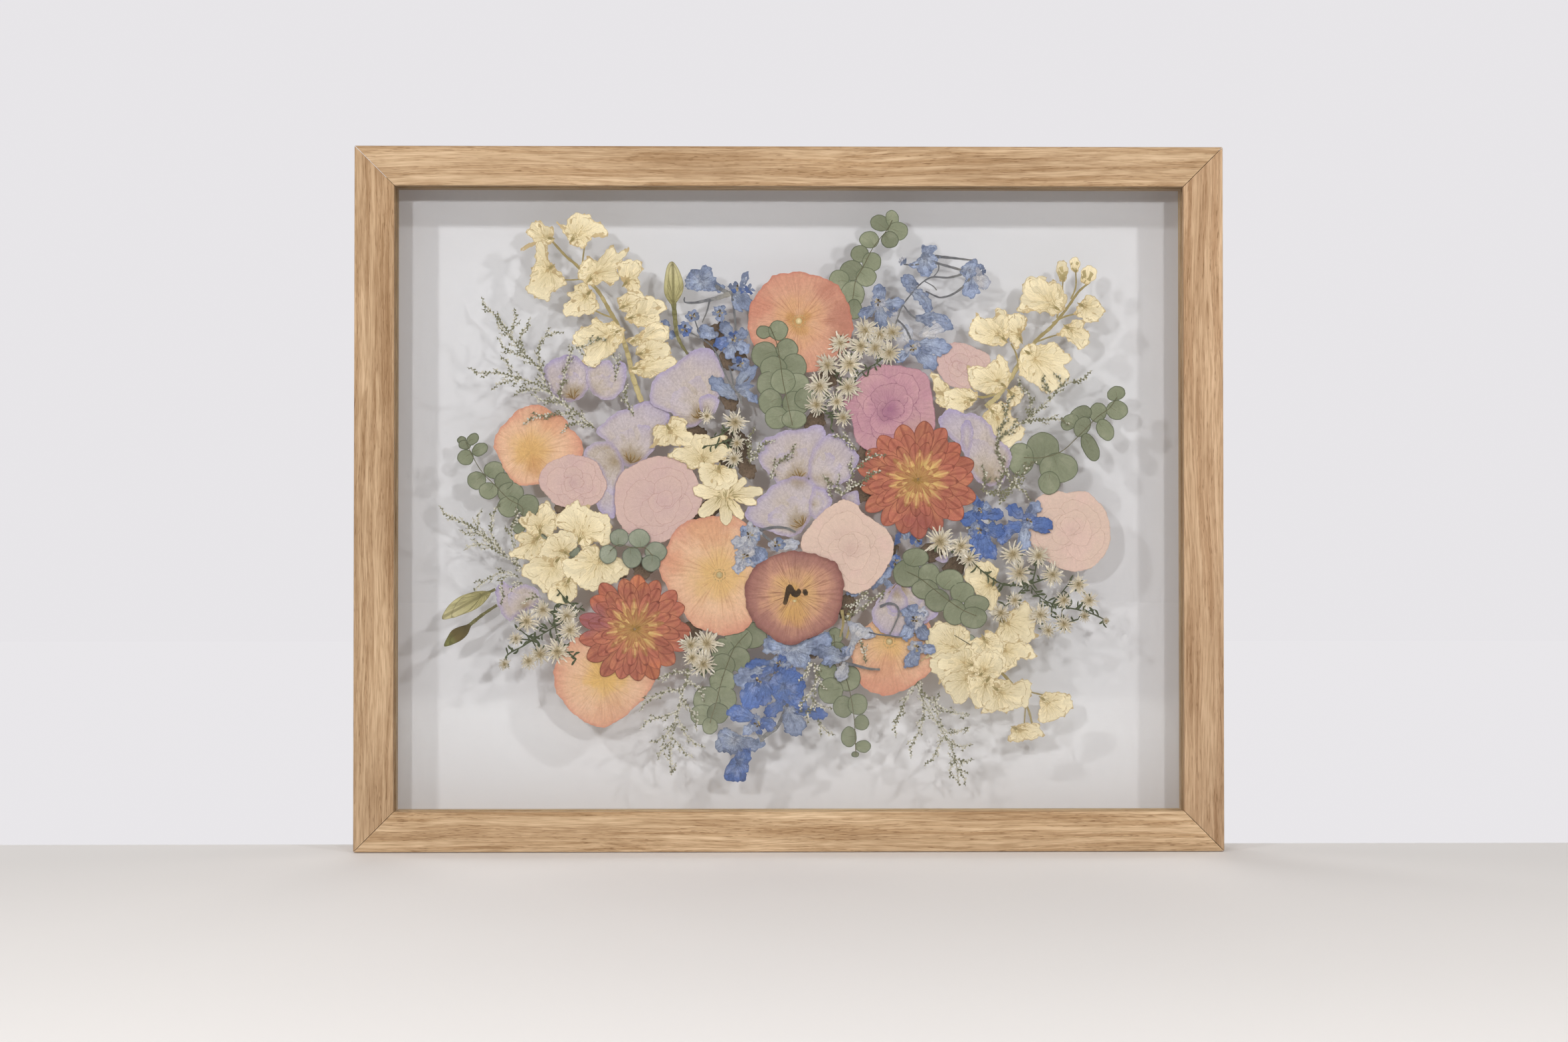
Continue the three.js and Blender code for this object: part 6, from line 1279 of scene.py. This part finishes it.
# %% Eucalyptus
EUCALYPTUS = {
    "eucalyptus_top": (4, [[65, 176], [62, 170], [57, 164], [52, 157], [47, 147], [42, 138], [40, 126]],
      [[57.5, 174, 6.6, 5.2, -15], [65, 176.5, 4.2, 6, 10], [68.5, 169, 6.6, 6], [63.5, 163.5, 5.6, 5.4],
      [50.5, 163.5, 6.3, 5.5], [44.5, 154.5, 5.8, 5.6], [52, 149.5, 6.2, 6.2], [39.5, 144, 7.6, 6.6],
      [48.5, 140, 6.6, 6.2], [31.5, 138, 6.6, 6.6], [40, 129, 7.6, 8.6], [41, 119.5, 5, 6.6]]),
    "eucalyptus_centre": (1, [[-12, 108], [-8, 98], [-6, 88], [-4, 74], [-1, 60], [2, 46]],
      [[-16, 105, 5, 4.2], [-7, 106, 6.2, 6.4], [-15.5, 90.5, 8.6, 8.6], [-1.5, 94, 7, 7], [3, 83, 8, 8.6],
      [-10, 82, 8.6, 8], [-13, 72, 7.6, 8.4], [5, 71, 8, 8.4], [-4, 74, 8, 8], [-12, 61, 7.6, 8.4],
      [4, 60, 8.6, 8], [10, 63, 7, 7], [-8, 51, 7.6, 7.4], [3, 50, 8, 6]]),
    "eucalyptus_right": (5, [[207, 64], [202, 57], [195, 52], [187, 44], [180, 37], [172, 30], [160, 26],
      [148, 26]], [[206.5, 66.5, 6, 4.6, 20], [207, 56, 7, 6.2], [195, 54.5, 5.6, 6.4, -20],
      [184, 53, 7.6, 5.4, 30], [177, 48.5, 6.4, 4.6, 40], [185, 45.5, 7, 5, 60], [199.5, 43.5, 7.4, 5.2, -60],
      [190, 32.5, 9.6, 5, -65], [160, 31.5, 10.6, 10.6], [146, 25, 8.6, 10.4], [170, 19.5, 12.4, 9.6],
      [164, 10, 7, 7.4]]),
    "eucalyptus_left": (7, [[-204, 36], [-197, 22], [-192, 15], [-186, 9], [-177, 0], [-168, -6],
      [-170, -16]], [[-206.5, 37, 3, 2.4], [-204.5, 34, 4, 3.2], [-199.5, 37.5, 4.4, 3.4, 40],
      [-195, 31, 5.4, 4, 30], [-204, 26, 5.2, 5], [-186, 18, 6.6, 5.6], [-197, 11.5, 6, 5.8],
      [-189.5, 5, 6.2, 5.4], [-180, 11, 6, 5.6], [-175.5, 3.5, 8.4, 7], [-176.5, -5, 7.4, 6.8],
      [-164.5, -4.5, 7, 7.4], [-170.5, -17, 4.6, 5.4]]),
    "eucalyptus_mid_left": (0, [[-113, -33], [-107, -29], [-99, -31], [-91, -31], [-86, -36]],
      [[-107, -24.5, 6, 5.6], [-94.5, -25, 6.8, 6], [-114, -35, 5.6, 6], [-99, -37, 6.2, 6.8],
      [-84, -33.5, 7, 6.4], [-87, -40.5, 6, 5.4]]),
    "eucalyptus_bottom_left": (4, [[-26, -84], [-34, -93], [-39, -104], [-43, -116], [-46, -128],
      [-50, -141]], [[-23, -86, 9, 8.4], [-32, -88.5, 9, 8], [-42, -96, 7.4, 8.4], [-32, -101, 7.4, 8],
      [-42, -105, 8, 7.6], [-42, -115, 8.4, 8], [-41, -126, 8, 8], [-52, -127, 8.6, 9], [-55, -136, 7.6, 6.6],
      [-45, -135, 7, 6.6], [-50, -143, 5, 5.4]]),
    "eucalyptus_bottom_right": (5, [[28, -86], [30, -100], [36, -114], [39, -126], [41, -140], [41.5, -152],
      [42, -162]], [[29, -86.5, 5, 5.4], [24, -108, 6, 6.6], [30, -96, 6, 6], [37, -113, 8, 8.4],
      [26, -121, 8, 8.4], [34, -131, 6.6, 7], [43, -129.5, 6.4, 6.8], [45.5, -141, 4.8, 5],
      [37.5, -150, 5, 6.6], [46.5, -156, 5, 4], [41.5, -161, 2.4, 2]]),
    "eucalyptus_low_right": (1, [[74, -46], [82, -50], [91, -57], [100, -64], [109, -70], [118, -74]],
      [[74, -47, 8.8, 8.8], [79.5, -37, 8.4, 6], [88, -48, 7, 7.4], [85.5, -57, 8.6, 6.4],
      [101, -51, 8.8, 6.6], [109, -59, 7.8, 6.6], [93, -64, 7.8, 7.4], [104, -71.5, 7.2, 8.2],
      [118, -66.5, 8, 6], [116, -75, 8.6, 7]]),
}

# the strong dark rim on these leaves is partly painted shade where one leaf lies on the next
WAXY = {"vein_share": 0.3, "spokes": 6, "rim_share": 0.85, "rim_width": 0.9, "patch_share": 0.5,
        "patch_size": 10, "tone_range": 0.26, "crepe_shading": 0.06}
leaf_green = pressed("eucalyptus_leaf", [(0.0, "777c64"), (0.4, "7f836b"), (1.0, "858971")], "6c705a",
                     rim="4c523e", patch="94967f", **WAXY)
leaf_blue = pressed("eucalyptus_bluish", [(0.0, "7e8470"), (0.4, "888d7a"), (1.0, "8e9280")], "70766a",
                    rim="50584c", patch="9a9c8c", **WAXY)
leaf_stem = pressed("eucalyptus_stem", [(0.0, "7a785c"), (0.5, "848066"), (1.0, "8c866c")], "5e5a44", 0.5,
                    spokes=5, stretch=9.0, rim="524c36", rim_share=0.6, rim_width=0.3)
# dark brown sheets that stand for the shade in the gaps between the flowers: painted shade
gap_shade_sheet = pressed("painted_gap_shade", [(0.0, "5c4c3c"), (0.5, "6a5848"), (1.0, "766454")], "43362a", 0.5,
                   spokes=6, rim="3f3228", rim_share=0.6, rim_width=0.8, patch="544638", patch_share=0.5,
                   tone_range=0.3, crepe_shading=0.25)


LEAF_GREEN, LEAF_BLUE, LEAF_STEM = range(3)


def eucalyptus(name, layer, line, leaves, slot):
    pile = Pile(name, layer)
    for i, leaf in enumerate(leaves):
        middle = np.array(leaf[:2], float)
        ring = frill(oval(*leaf, sides=30), 0.22, 11, name + str(i))
        claw = closest(ring, nearest(line, middle))
        pile.lay(ring, claw, slot, ridge=0.03, ridges=5)
        # its midrib
        hairs(pile, claw, middle - claw, LEAF_STEM, count=1, length=leaf[2], width=0.22, spread=0)
    pile.lay(stem_outline(line, 0.4, 0.6), line[0], LEAF_STEM, step=1.6, ridge=0)
    return pile


LEAF_SET = [leaf_green, leaf_blue, leaf_stem]
for name, (layer, line, leaves) in EUCALYPTUS.items():
    slot = LEAF_BLUE if name == "eucalyptus_mid_left" else LEAF_GREEN
    eucalyptus(name, layer, line, leaves, slot).finish("eucalyptus_leaf", LEAF_SET, name)
PEEKS = {
    "eucalyptus_under_stock": (6, [[-156, -22], [-146, -30], [-136, -38]],
                               [[-154, -24, 5, 4], [-136, -33, 4.4, 4], [-137, -41, 4.6, 4.2]]),
    "eucalyptus_under_aster": (4, [[104, -86], [114, -92]], [[112, -90, 6, 5]]),
}
for name, (layer, line, leaves) in PEEKS.items():
    eucalyptus(name, layer, line, leaves, LEAF_BLUE).finish("eucalyptus_leaf", LEAF_SET)
print("eucalyptus ready")

# %% Dark scraps of painted shade under the flowers
# dark curled scraps at the back, painted shade that closes the small gaps between the flowers:
# the middle, half the width, half the height and the lean in degrees
SCRAPS = [(-38, 63, 5, 8, 20), (-31, 31, 6, 9, -30), (-27, 19, 5, 7, 40), (-40, 24, 4, 8, 10),
          (-52, -8, 9, 6, 40), (-60, 40, 8, 5, 20), (-142, -2, 8, 6, 70), (-122, -50, 8, 5, 0),
          (-92, -44, 7, 6, 60), (-108, -46, 7, 5, 20), (-62, -84, 8, 6, 50), (-36, 38, 8, 6, 10),
          (16, 48, 8, 6, 60), (52, 30, 9, 7, 20), (46, 4, 8, 6, 0), (62, -34, 8, 6, 60),
          (36, -68, 8, 6, 80), (14, -94, 8, 6, 40), (90, -34, 9, 6, 10), (104, -44, 9, 6, 50),
          (110, 40, 7, 6, 30), (-46, 102, 10, 7, 60), (-36, 88, 9, 7, 10), (24, 76, 8, 6, 50)]
pile = Pile("dry_leaves", 8)
for scrap in SCRAPS:
    ring = frill(oval(*scrap, sides=30), 1.1, 7, scrap[0], teeth=0.4)
    pile.lay(ring, ring[0], ridge=0.04)
pile.finish("eucalyptus_leaf", [gap_shade_sheet])
print("brown leaves ready")

# %% Asters
ASTERS = {
    "aster_upper": (0, [[[62, 92], [56, 86], [46, 80], [38, 72], [30, 60], [26, 44]], [[32, 98], [40, 82],
      [39, 72]], [[19, 71], [26, 64], [28, 56]], [[24, 84], [32, 74], [36, 70]], [[54, 104], [57, 94],
      [55, 85]], [[17, 59], [23, 55], [27, 52]]], [[48, 106, 8], [57, 103, 7], [65, 105, 6.5], [32, 98, 7.5],
      [45, 96, 8], [54, 95, 7], [63, 92, 8], [24, 84, 8], [38, 85, 8.5], [19, 71, 8.5], [37, 70, 8.5],
      [17, 59, 7], [30, 61, 6], [34, 51, 6]]),
    "aster_left": (2, [[[-130, -67], [-140, -76], [-150, -82], [-160, -88], [-168, -93], [-177, -98],
      [-180, -104]], [[-137, -68], [-147, -67], [-147, -82], [-143, -93], [-134, -101]], [[-172, -80],
      [-165, -86], [-158, -90], [-156, -98]], [[-146, -57], [-140, -64], [-134, -69]], [[-160, -79],
      [-152, -82]], [[-154, -69], [-147, -74], [-140, -79]], [[-172, -88], [-162, -89]]], [[-165, -77, 7.5],
      [-155, -70, 6.5], [-140, -74, 7.5], [-138, -83, 7.5], [-146, -96, 8], [-157, -98, 6.5],
      [-164, -102, 5.5], [-179, -104, 4], [-172, -88, 4.5]]),
    "aster_low_centre": (0, [[[-52, -90], [-57, -98], [-58, -108]], [[-62, -93], [-58, -100]], [[-53, -104],
      [-57, -108]]], [[-52, -91, 9.5], [-62, -92, 7.5], [-54, -104, 8.5], [-61, -100, 6]]),
    "aster_right": (0, [[[95, -27], [108, -33], [122, -46], [135, -54], [150, -54], [165, -49]], [[150, -52],
      [158, -62], [168, -67], [182, -70], [192, -73], [200, -77]], [[178, -51], [171, -60], [166, -66],
      [165, -74]], [[182, -70], [188, -62]], [[172, -68], [172, -78], [182, -76]], [[150, -54], [140, -64],
      [133, -72]], [[141, -36], [146, -46], [150, -53]], [[156, -36], [155, -45], [153, -53]], [[158, -62],
      [158, -72], [163, -83]]], [[95, -27, 9.5], [108, -30, 8], [113, -38, 7], [141, -35, 8], [157, -36, 7.5],
      [145, -47, 8.5], [166, -48, 7.5], [182, -54, 6.5], [173, -64, 5.5], [189, -64, 5.5], [173, -79, 6.5],
      [186, -74, 4], [199.5, -77, 2.5], [142, -64, 5.5], [133, -72, 6.5], [158, -73, 7], [163, -83, 5]]),
}

ray_white = pressed("aster_ray", [(0.0, "9c8862"), (0.22, "b8a788"), (0.45, "dbd0bc"), (1.0, "f0eadf")],
                    "8f7f60", 0.5, spokes=18, stretch=0.6, rim="9c8c70", rim_share=0.45, rim_width=0.25,
                    tone_range=0.3, crepe_shading=0.12)
disc_beige = pressed("aster_disc", [(0.0, "8c7a52"), (0.6, "a8946c"), (1.0, "b8a47c")], "66583c", 0.7,
                     spokes=9, stretch=4.0, rim="786a4c", rim_share=0.5, rim_width=0.3, crepe_shading=0.35)
aster_green = pressed("aster_leaf", [(0.0, "545a42"), (0.5, "5e644a"), (1.0, "6c7056")], "3c4230", 0.5,
                      spokes=5, stretch=6.0, rim="3e4430", rim_share=0.6, rim_width=0.3, tone_range=0.3)


# rounds of rays: how far they reach as a share of the radius, and how many there are
ROUNDS = ((1.12, 22), (1.0, 20), (0.7, 14))
# one ray: how much it curls there, its place across in half rays, and its place along
RAY = ((0, -0.98, 0.22), (0.3, -0.5, 0.62), (0.75, -0.34, 0.9), (1, 0, 1.0),
       (0.75, 0.34, 0.9), (0.3, 0.5, 0.62))
RAYS, DISC, ASTER_LEAF = range(3)


def aster_head(pile, x, z, radius):
    """Rounds of narrow rays, which curl to either side, and a small tufted middle."""
    chance = pile.chance
    for far, count in ROUNDS:
        shape = []
        turn = chance.uniform(0, 1)
        for i in range(count):
            angle = (i + turn + chance.uniform(-0.3, 0.3)) / count * 2 * math.pi
            reach = radius * far * chance.uniform(0.6, 1.12)
            half = math.pi / count
            curl = chance.uniform(-2.2, 2.2) * half
            shape += [spoke(x, z, angle + side * half + bend * curl, reach, reach, share)
                      for bend, side, share in RAY]
        pile.lay(shape, (x, z), RAYS, ridge=0.03)
    hairs(pile, (x, z), (1, 0), DISC, count=11, length=radius * 0.3, width=0.5, spread=math.pi)


LEAF_SPACING = 2.6


def aster(name, layer, lines, heads):
    pile = Pile(name, layer)
    chance = pile.chance
    for line in lines:
        pile.lay(stem_outline(line, 0.6, 1.0), line[0], ASTER_LEAF, step=1.4, ridge=0)
        for here in open_curve(line, LEAF_SPACING)[1:]:
            tip = here + toward(chance.uniform(0, 6.28)) * chance.uniform(3.0, 6.5)
            leaf = petal_outline(here, tip, chance.uniform(0.9, 1.7), STRAP, chance.uniform(-0.2, 0.2))
            pile.lay(leaf, here, ASTER_LEAF, step=1.4, ridge=0)
    for x, z, radius in heads:
        hairs(pile, (x, z), (1, 0), ASTER_LEAF, count=9, length=radius * 0.75, width=1.5, spread=math.pi)
    for x, z, radius in heads:
        aster_head(pile, x, z, radius)
    return pile


ASTER_SET = [ray_white, disc_beige, aster_green]
for name, (layer, lines, heads) in ASTERS.items():
    aster(name, layer, lines, heads).finish("aster_ray", ASTER_SET, name)
MID_LINES = [[[-50, 38], [-44, 40], [-38, 44]], [[-54, 33], [-46, 34], [-38, 37]], [[-38, 52], [-34, 40]],
             [[-36, 40], [-34, 30], [-36, 20]]]
MID_HEADS = [[-34, 48, 8], [-52, 52, 5], [-35, 25, 6], [-33, 35, 5]]
aster("aster_mid", 0, MID_LINES, MID_HEADS).finish("aster_ray", ASTER_SET)
print("asters ready")

# %% Limonium
LIMONIUM = {
    "limonium_top_left": (1, [[[-193, 123], [-184, 114], [-179, 108], [-174, 100], [-166, 90], [-156, 80],
      [-153, 70], [-146, 62], [-134, 54], [-122, 44]], [[-183, 108], [-174, 101]], [[-172, 115], [-176, 103]],
      [[-164, 109], [-169, 103], [-168, 92]], [[-147, 105], [-157, 98], [-157, 80]], [[-181, 96], [-170, 90],
      [-165, 89]], [[-197, 79], [-184, 79], [-170, 76], [-154, 70]], [[-178, 87], [-175, 78]], [[-184, 72],
      [-168, 76]], [[-171, 67], [-158, 69], [-149, 66]], [[-164, 50], [-150, 53], [-132, 53]], [[-158, 62],
      [-143, 60]], [[-120, 101], [-131, 95], [-136, 95], [-140, 84], [-143, 72], [-145, 61]], [[-140, 46],
      [-132, 48], [-124, 46]]]),
    "limonium_left": (5, [[[-218, -9], [-210, -13], [-196, -20], [-188, -27], [-180, -34], [-172, -41],
      [-166, -45]], [[-196, -10], [-196, -19]], [[-185, -6], [-188, -20], [-183, -31]], [[-204, -22],
      [-196, -22], [-188, -28]], [[-202, -30], [-192, -29], [-180, -35]], [[-171, -9], [-175, -20],
      [-173, -32], [-171, -42]]]),
    "limonium_right": (0, [[[187, 76], [172, 71], [165, 63], [158, 57], [150, 50], [140, 44], [131, 37]],
      [[160, 75], [163, 69], [165, 63]], [[170, 77], [172, 70]], [[145, 72], [152, 64], [151, 51]],
      [[172, 50], [160, 50], [150, 49]], [[138, 62], [136, 50], [131, 37], [134, 22], [141, 8]], [[153, 23],
      [148, 16], [141, 8], [130, 3], [120, 6]], [[124, 16], [122, 6]], [[134, 15], [132, 4]], [[143, 16],
      [142, 9]], [[149, 4], [141, 7], [133, -3]]]),
    "limonium_bottom_left": (2, [[[-60, -104], [-66, -118], [-69, -130], [-73, -145], [-75, -158],
      [-74, -174]], [[-83, -113], [-74, -110], [-62, -108]], [[-92, -129], [-80, -122], [-67, -120]],
      [[-90, -140], [-79, -137], [-70, -134]], [[-58, -140], [-64, -130], [-68, -126]], [[-54, -124],
      [-61, -116], [-66, -116]], [[-84, -153], [-77, -148], [-73, -143]], [[-59, -155], [-66, -147],
      [-70, -138]], [[-82, -160], [-75, -153]], [[-65, -161], [-70, -154], [-74, -150]]]),
    "limonium_bottom_right": (7, [[[80, -114], [83, -124], [90, -136], [96, -146], [102, -157], [105, -166],
      [107, -181]], [[66, -145], [71, -132], [77, -120], [81, -117]], [[76, -158], [82, -146], [85, -136],
      [84, -126]], [[82, -120], [93, -130], [104, -135], [114, -136]], [[92, -128], [94, -139]], [[95, -142],
      [101, -148], [114, -144]], [[99, -151], [106, -156], [116, -155]], [[90, -165], [94, -156], [98, -149]],
      [[101, -171], [105, -164]], [[112, -166], [104, -164]], [[111, -177], [106, -170]]]),
}

twig_brown = pressed("limonium_twig", [(0.0, "78745c"), (0.5, "827d66"), (1.0, "8c8670")], "605c48", 0.5,
                     spokes=5, stretch=9.0, rim="5c5842", rim_share=0.4, rim_width=0.2)
tiny_flower = pressed("limonium_flower", [(0.0, "a8a28c"), (0.4, "cfcabc"), (1.0, "e0dcd2")], "8c846e", 0.3,
                      spokes=6, rim="a8a08c", rim_share=0.35, rim_width=0.25, tone_range=0.2)
bract = pressed("limonium_bract", [(0.0, "6c6a52"), (0.5, "7a785e"), (1.0, "8e8b72")], "625f48", 0.5,
                spokes=5, rim="66644c", rim_share=0.4, rim_width=0.2, tone_range=0.3)


TWIG, FLOWER, BRACT = range(3)
# a twig's side branches leave it this far apart, and its ends stay bare this far
BRANCH_SPACING = 7.0
BARE_END = 0.3


def along_line(line, spacing):
    """Points at even steps along a line, each with the way it runs there."""
    curve = open_curve(line, 1.0)
    run = np.concatenate([[0], np.cumsum(np.hypot(*np.diff(curve, axis=0).T))])
    for at in np.arange(BARE_END, run[-1] - BARE_END, spacing):
        here, ahead = (np.array([np.interp(place, run, curve[:, axis]) for axis in (0, 1)])
                       for place in (at, at + BARE_END))
        way = ahead - here
        if np.hypot(*way) > 1e-6:
            yield here, unit(way)


def sprig(pile, line, white, size=2.1, spacing=1.1, branches=True):
    """A twig, with florets and leaves left and right in turn, and the small twigs that leave it."""
    chance = pile.chance
    curve = open_curve(line, 1.0)
    pile.lay(band(curve, [0.45 if branches else 0.3] * len(curve)), curve[0], TWIG, step=1.4, ridge=0)
    side = 1
    for here, way in along_line(line, spacing):
        lean = left(way) * side * chance.uniform(0.4, 0.8) - way * chance.uniform(0.5, 1.0)
        tip = here + lean * size * chance.uniform(0.6, 1.0)
        bud = petal_outline(here, tip, size * chance.uniform(0.4, 0.7))
        pile.lay(bud, here, FLOWER if chance.random() < white else BRACT, step=1.4, ridge=0)
        side = -side
    if branches:
        for here, way in along_line(line, BRANCH_SPACING):
            out = left(way) * side
            reach = chance.uniform(3.5, 6.0)
            middle = here + (out * 0.4 - way * 0.45) * reach
            tip = here + (out * 0.62 - way * 1.05) * reach
            sprig(pile, [here, middle, tip], white, size * 0.85, 1.0, False)
            side = -side


def limonium(name, layer, lines, white):
    pile = Pile(name, layer)
    for line in lines:
        sprig(pile, line, white)
    return pile


WHITES = {"limonium_top_left": 0.45, "limonium_right": 0.35}
TWIG_SET = [twig_brown, tiny_flower, bract]
for name, (layer, lines) in LIMONIUM.items():
    limonium(name, layer, lines, WHITES.get(name, 0.6)).finish("limonium_twig", TWIG_SET, name)
FINE_TWIGS = {
    "limonium_centre": (0, [
        [[-14, 36], [-20, 30], [-25, 22]], [[2, 29], [-4, 25], [-9, 20], [-12, 12]], [[-25, 40], [-25, 22]],
        [[55, 28], [48, 24], [41, 18]], [[54, 17], [48, 12], [40, 8], [32, 2]], [[38, 22], [40, 15], [36, 8]],
        [[30, 40], [38, 36], [42, 30]], [[24, 12], [25, 5], [27, 0]], [[30, 10], [33, 2]]], 0.5),
    "limonium_low_centre": (1, [
        [[10, -112], [12, -105], [15, -103]], [[20, -118], [17, -110], [16, -104]],
        [[7, -130], [12, -124], [15, -119], [18, -112]], [[22, -132], [16, -128], [14, -124]],
        [[11, -137], [14, -132], [15, -128]], [[25, -148], [20, -143], [18, -138]],
        [[36, -75], [44, -70], [52, -64], [60, -58]], [[38, -68], [46, -62], [50, -58]],
        [[45, -90], [47, -97], [48, -104]]], 0.65),
    "limonium_lower_left": (6, [
        [[-198, -57], [-192, -52], [-185, -48], [-178, -46], [-170, -50]], [[-175, -57], [-168, -53]],
        [[-180, -62], [-182, -55], [-178, -48]], [[-165, -63], [-157, -62]]], 0.6),
    "limonium_beside_stock": (6, [[[-112, 92], [-108, 84], [-110, 74]], [[-104, 68], [-102, 60], [-98, 52]],
                                  [[109, -12], [113, -18], [118, -26]], [[125, -12], [130, -20]]], 0.7),
}
for name, (layer, lines, white) in FINE_TWIGS.items():
    limonium(name, layer, lines, white).finish("limonium_twig", TWIG_SET)
pile = Pile("yellow_stalks", 2)
for line in ([[33, -70], [34, -78], [32, -87]], [[37, -72], [38, -80], [36, -88]]):
    pile.lay(stem_outline(line, 2.0, 1.2), line[0], 0, step=1.6, ridge=0)
pile.finish("stock_petal", [stock_stem])
pile = Pile("loose_lilac_petal", 5)
pile.lay(smooth([[33, 1], [38, 4], [43, 5], [44, 0], [44, -4], [36, -2]]), (34, 0), 0)
pile.lay(petal_outline((92, -38), (100, -38), 5), (92, -38), 0)
pile.finish("sweet_pea_petal", [lilac])
print("limonium ready")


# %% [markdown]
# ## Studio
# A pale floor, and a pale wall 2 mm behind the frame's back that only light
# passing through the glass can meet, so the flowers throw their shadows on it
# and the frame's back stays in view from behind.

# %% Floor, wall, lights and camera
FLOOR_Z, WALL_FOOT = -0.0005, -0.0004
WALL_Y, FLOOR_EDGE = 0.021, 0.0215
REACH = 6
ROOM = [(-REACH, -REACH), (-REACH, 3), (REACH, 3), (REACH, -REACH)]


def plane(name, corners, colour, rough):
    """Flat paint on every four corners."""
    material, tree, shader = new_material(name + "_paint", colour)
    place = node(tree, "TexCoord").outputs["Object"]
    grain = node(tree, "TexNoise", inputs={"Vector": place, "Scale": 400.0, "Detail": 3.0}).outputs["Fac"]
    bump = node(tree, "Bump", inputs={"Height": grain, "Strength": 0.05, "Distance": 0.0005}).outputs[0]
    tree.links.new(bump, shader.inputs["Normal"])
    shader.inputs["Base Color"].default_value = linear(colour)
    shader.inputs["Roughness"].default_value = rough
    mesh = bpy.data.meshes.new(name)
    mesh.from_pydata(corners, [], [(i, i + 1, i + 2, i + 3) for i in range(0, len(corners), 4)])
    mesh.materials.append(material)
    made = placed(name, mesh)
    return made


def level(start_y, end_y):
    corners = ((-REACH, start_y), (REACH, start_y), (REACH, end_y), (-REACH, end_y))
    return [(*corner, FLOOR_Z) for corner in corners]


def upright(start, end, top):
    return [(*start, WALL_FOOT), (*end, WALL_FOOT), (*end, top), (*start, top)]


floor = plane("floor", level(-REACH, FLOOR_EDGE), "dcd9d7", 0.7)
wall = plane("wall", upright((-2, WALL_Y), (2, WALL_Y), 2), "e4e1e6", 0.9)
hide(floor, "glossy")
hide(wall, "camera", "diffuse", "glossy", "shadow")

# bright walls far off on all four sides and the floor behind the frame, which light nothing
sweep = plane("sweep", [corner for start, end in zip(ROOM, ROOM[1:] + ROOM[:1])
                        for corner in upright(start, end, REACH)], "000000", 0.9)
far_floor = plane("far_floor", level(FLOOR_EDGE, REACH), "000000", 0.9)
for backdrop in (sweep, far_floor):
    hide(backdrop, "diffuse", "glossy", "transmission", "shadow")
# the near floor also gives off a little light of its own, as one in a white room seems to
for made, strength, colour in ((sweep, 1.0, "e7e5e8"), (far_floor, 1.0, "e7e5e8"), (floor, 0.12, "e8e0dc")):
    glow = made.data.materials[0].node_tree.nodes["Principled BSDF"].inputs
    glow["Emission Color"].default_value = linear(colour)
    glow["Emission Strength"].default_value = strength

# name, place, power in watts and width in metres: hard lamps throw the shadows, soft ones fill them
LAMPS = [("near_lamp_-1", (-0.731, -0.872, 0.856), 3.75, 0.07),
         ("far_lamp_-1", (-0.435, -1.365, 0.547), 4.4, 0.07),
         ("near_lamp_1", (0.731, -0.872, 0.856), 3.75, 0.07),
         ("far_lamp_1", (0.435, -1.365, 0.547), 4.4, 0.07),
         ("soft_top", (0, -1.6, 1.9), 3.1, 1.6), ("soft_back", (-0.5, 1.8, 1.5), 18, 1.6),
         ("side_fill_-1", (-2.0, 0.5, 1.1), 8, 1.2), ("side_fill_1", (2.0, 0.5, 1.1), 8, 1.2)]
AIM = (0, 0, 0.2)
for name, place, power, size in LAMPS:
    light = bpy.data.lights.new(name, "AREA")
    light.energy = power
    light.size = size
    light.shape = "DISK"
    made = placed(name, light)
    made.location = place
    heading = [a - b for a, b in zip(AIM, place)]
    made.rotation_euler = Vector(heading).to_track_quat("-Z", "Y").to_euler()
    hide(made, "glossy", "transmission", "camera")

world = bpy.data.worlds.new("pale_studio")
bpy.context.scene.world = world
world.use_nodes = True
world.node_tree.nodes["Background"].inputs["Color"].default_value = linear("ece8e4")
world.node_tree.nodes["Background"].inputs["Strength"].default_value = 0.21

# the camera stands 1.38 m in front, upright but for a few tenths of a degree
CAMERA_PLACE = (-0.0168, -1.3826, 0.1912)
TILT_UP, ROLL, TURN = 0.657, 0.004, -0.561
lens = bpy.data.cameras.new("camera")
lens.sensor_width = 36
lens.lens = 50
camera = placed("camera", lens)
camera.location = CAMERA_PLACE
camera.rotation_euler = (math.radians(90 + TILT_UP), math.radians(ROLL), math.radians(TURN))
bpy.context.scene.camera = camera
# colours are shown as they are mixed, with no film curve over them
bpy.context.scene.view_settings.view_transform = "Standard"
print("studio ready")

# %% [markdown]
# ## Sizes and the end

# %% Finish
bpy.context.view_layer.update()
meshes = [thing.data for thing in bpy.data.objects if thing.type == "MESH"]
print("triangles:", sum(len(face.vertices) - 2 for mesh in meshes for face in mesh.polygons))
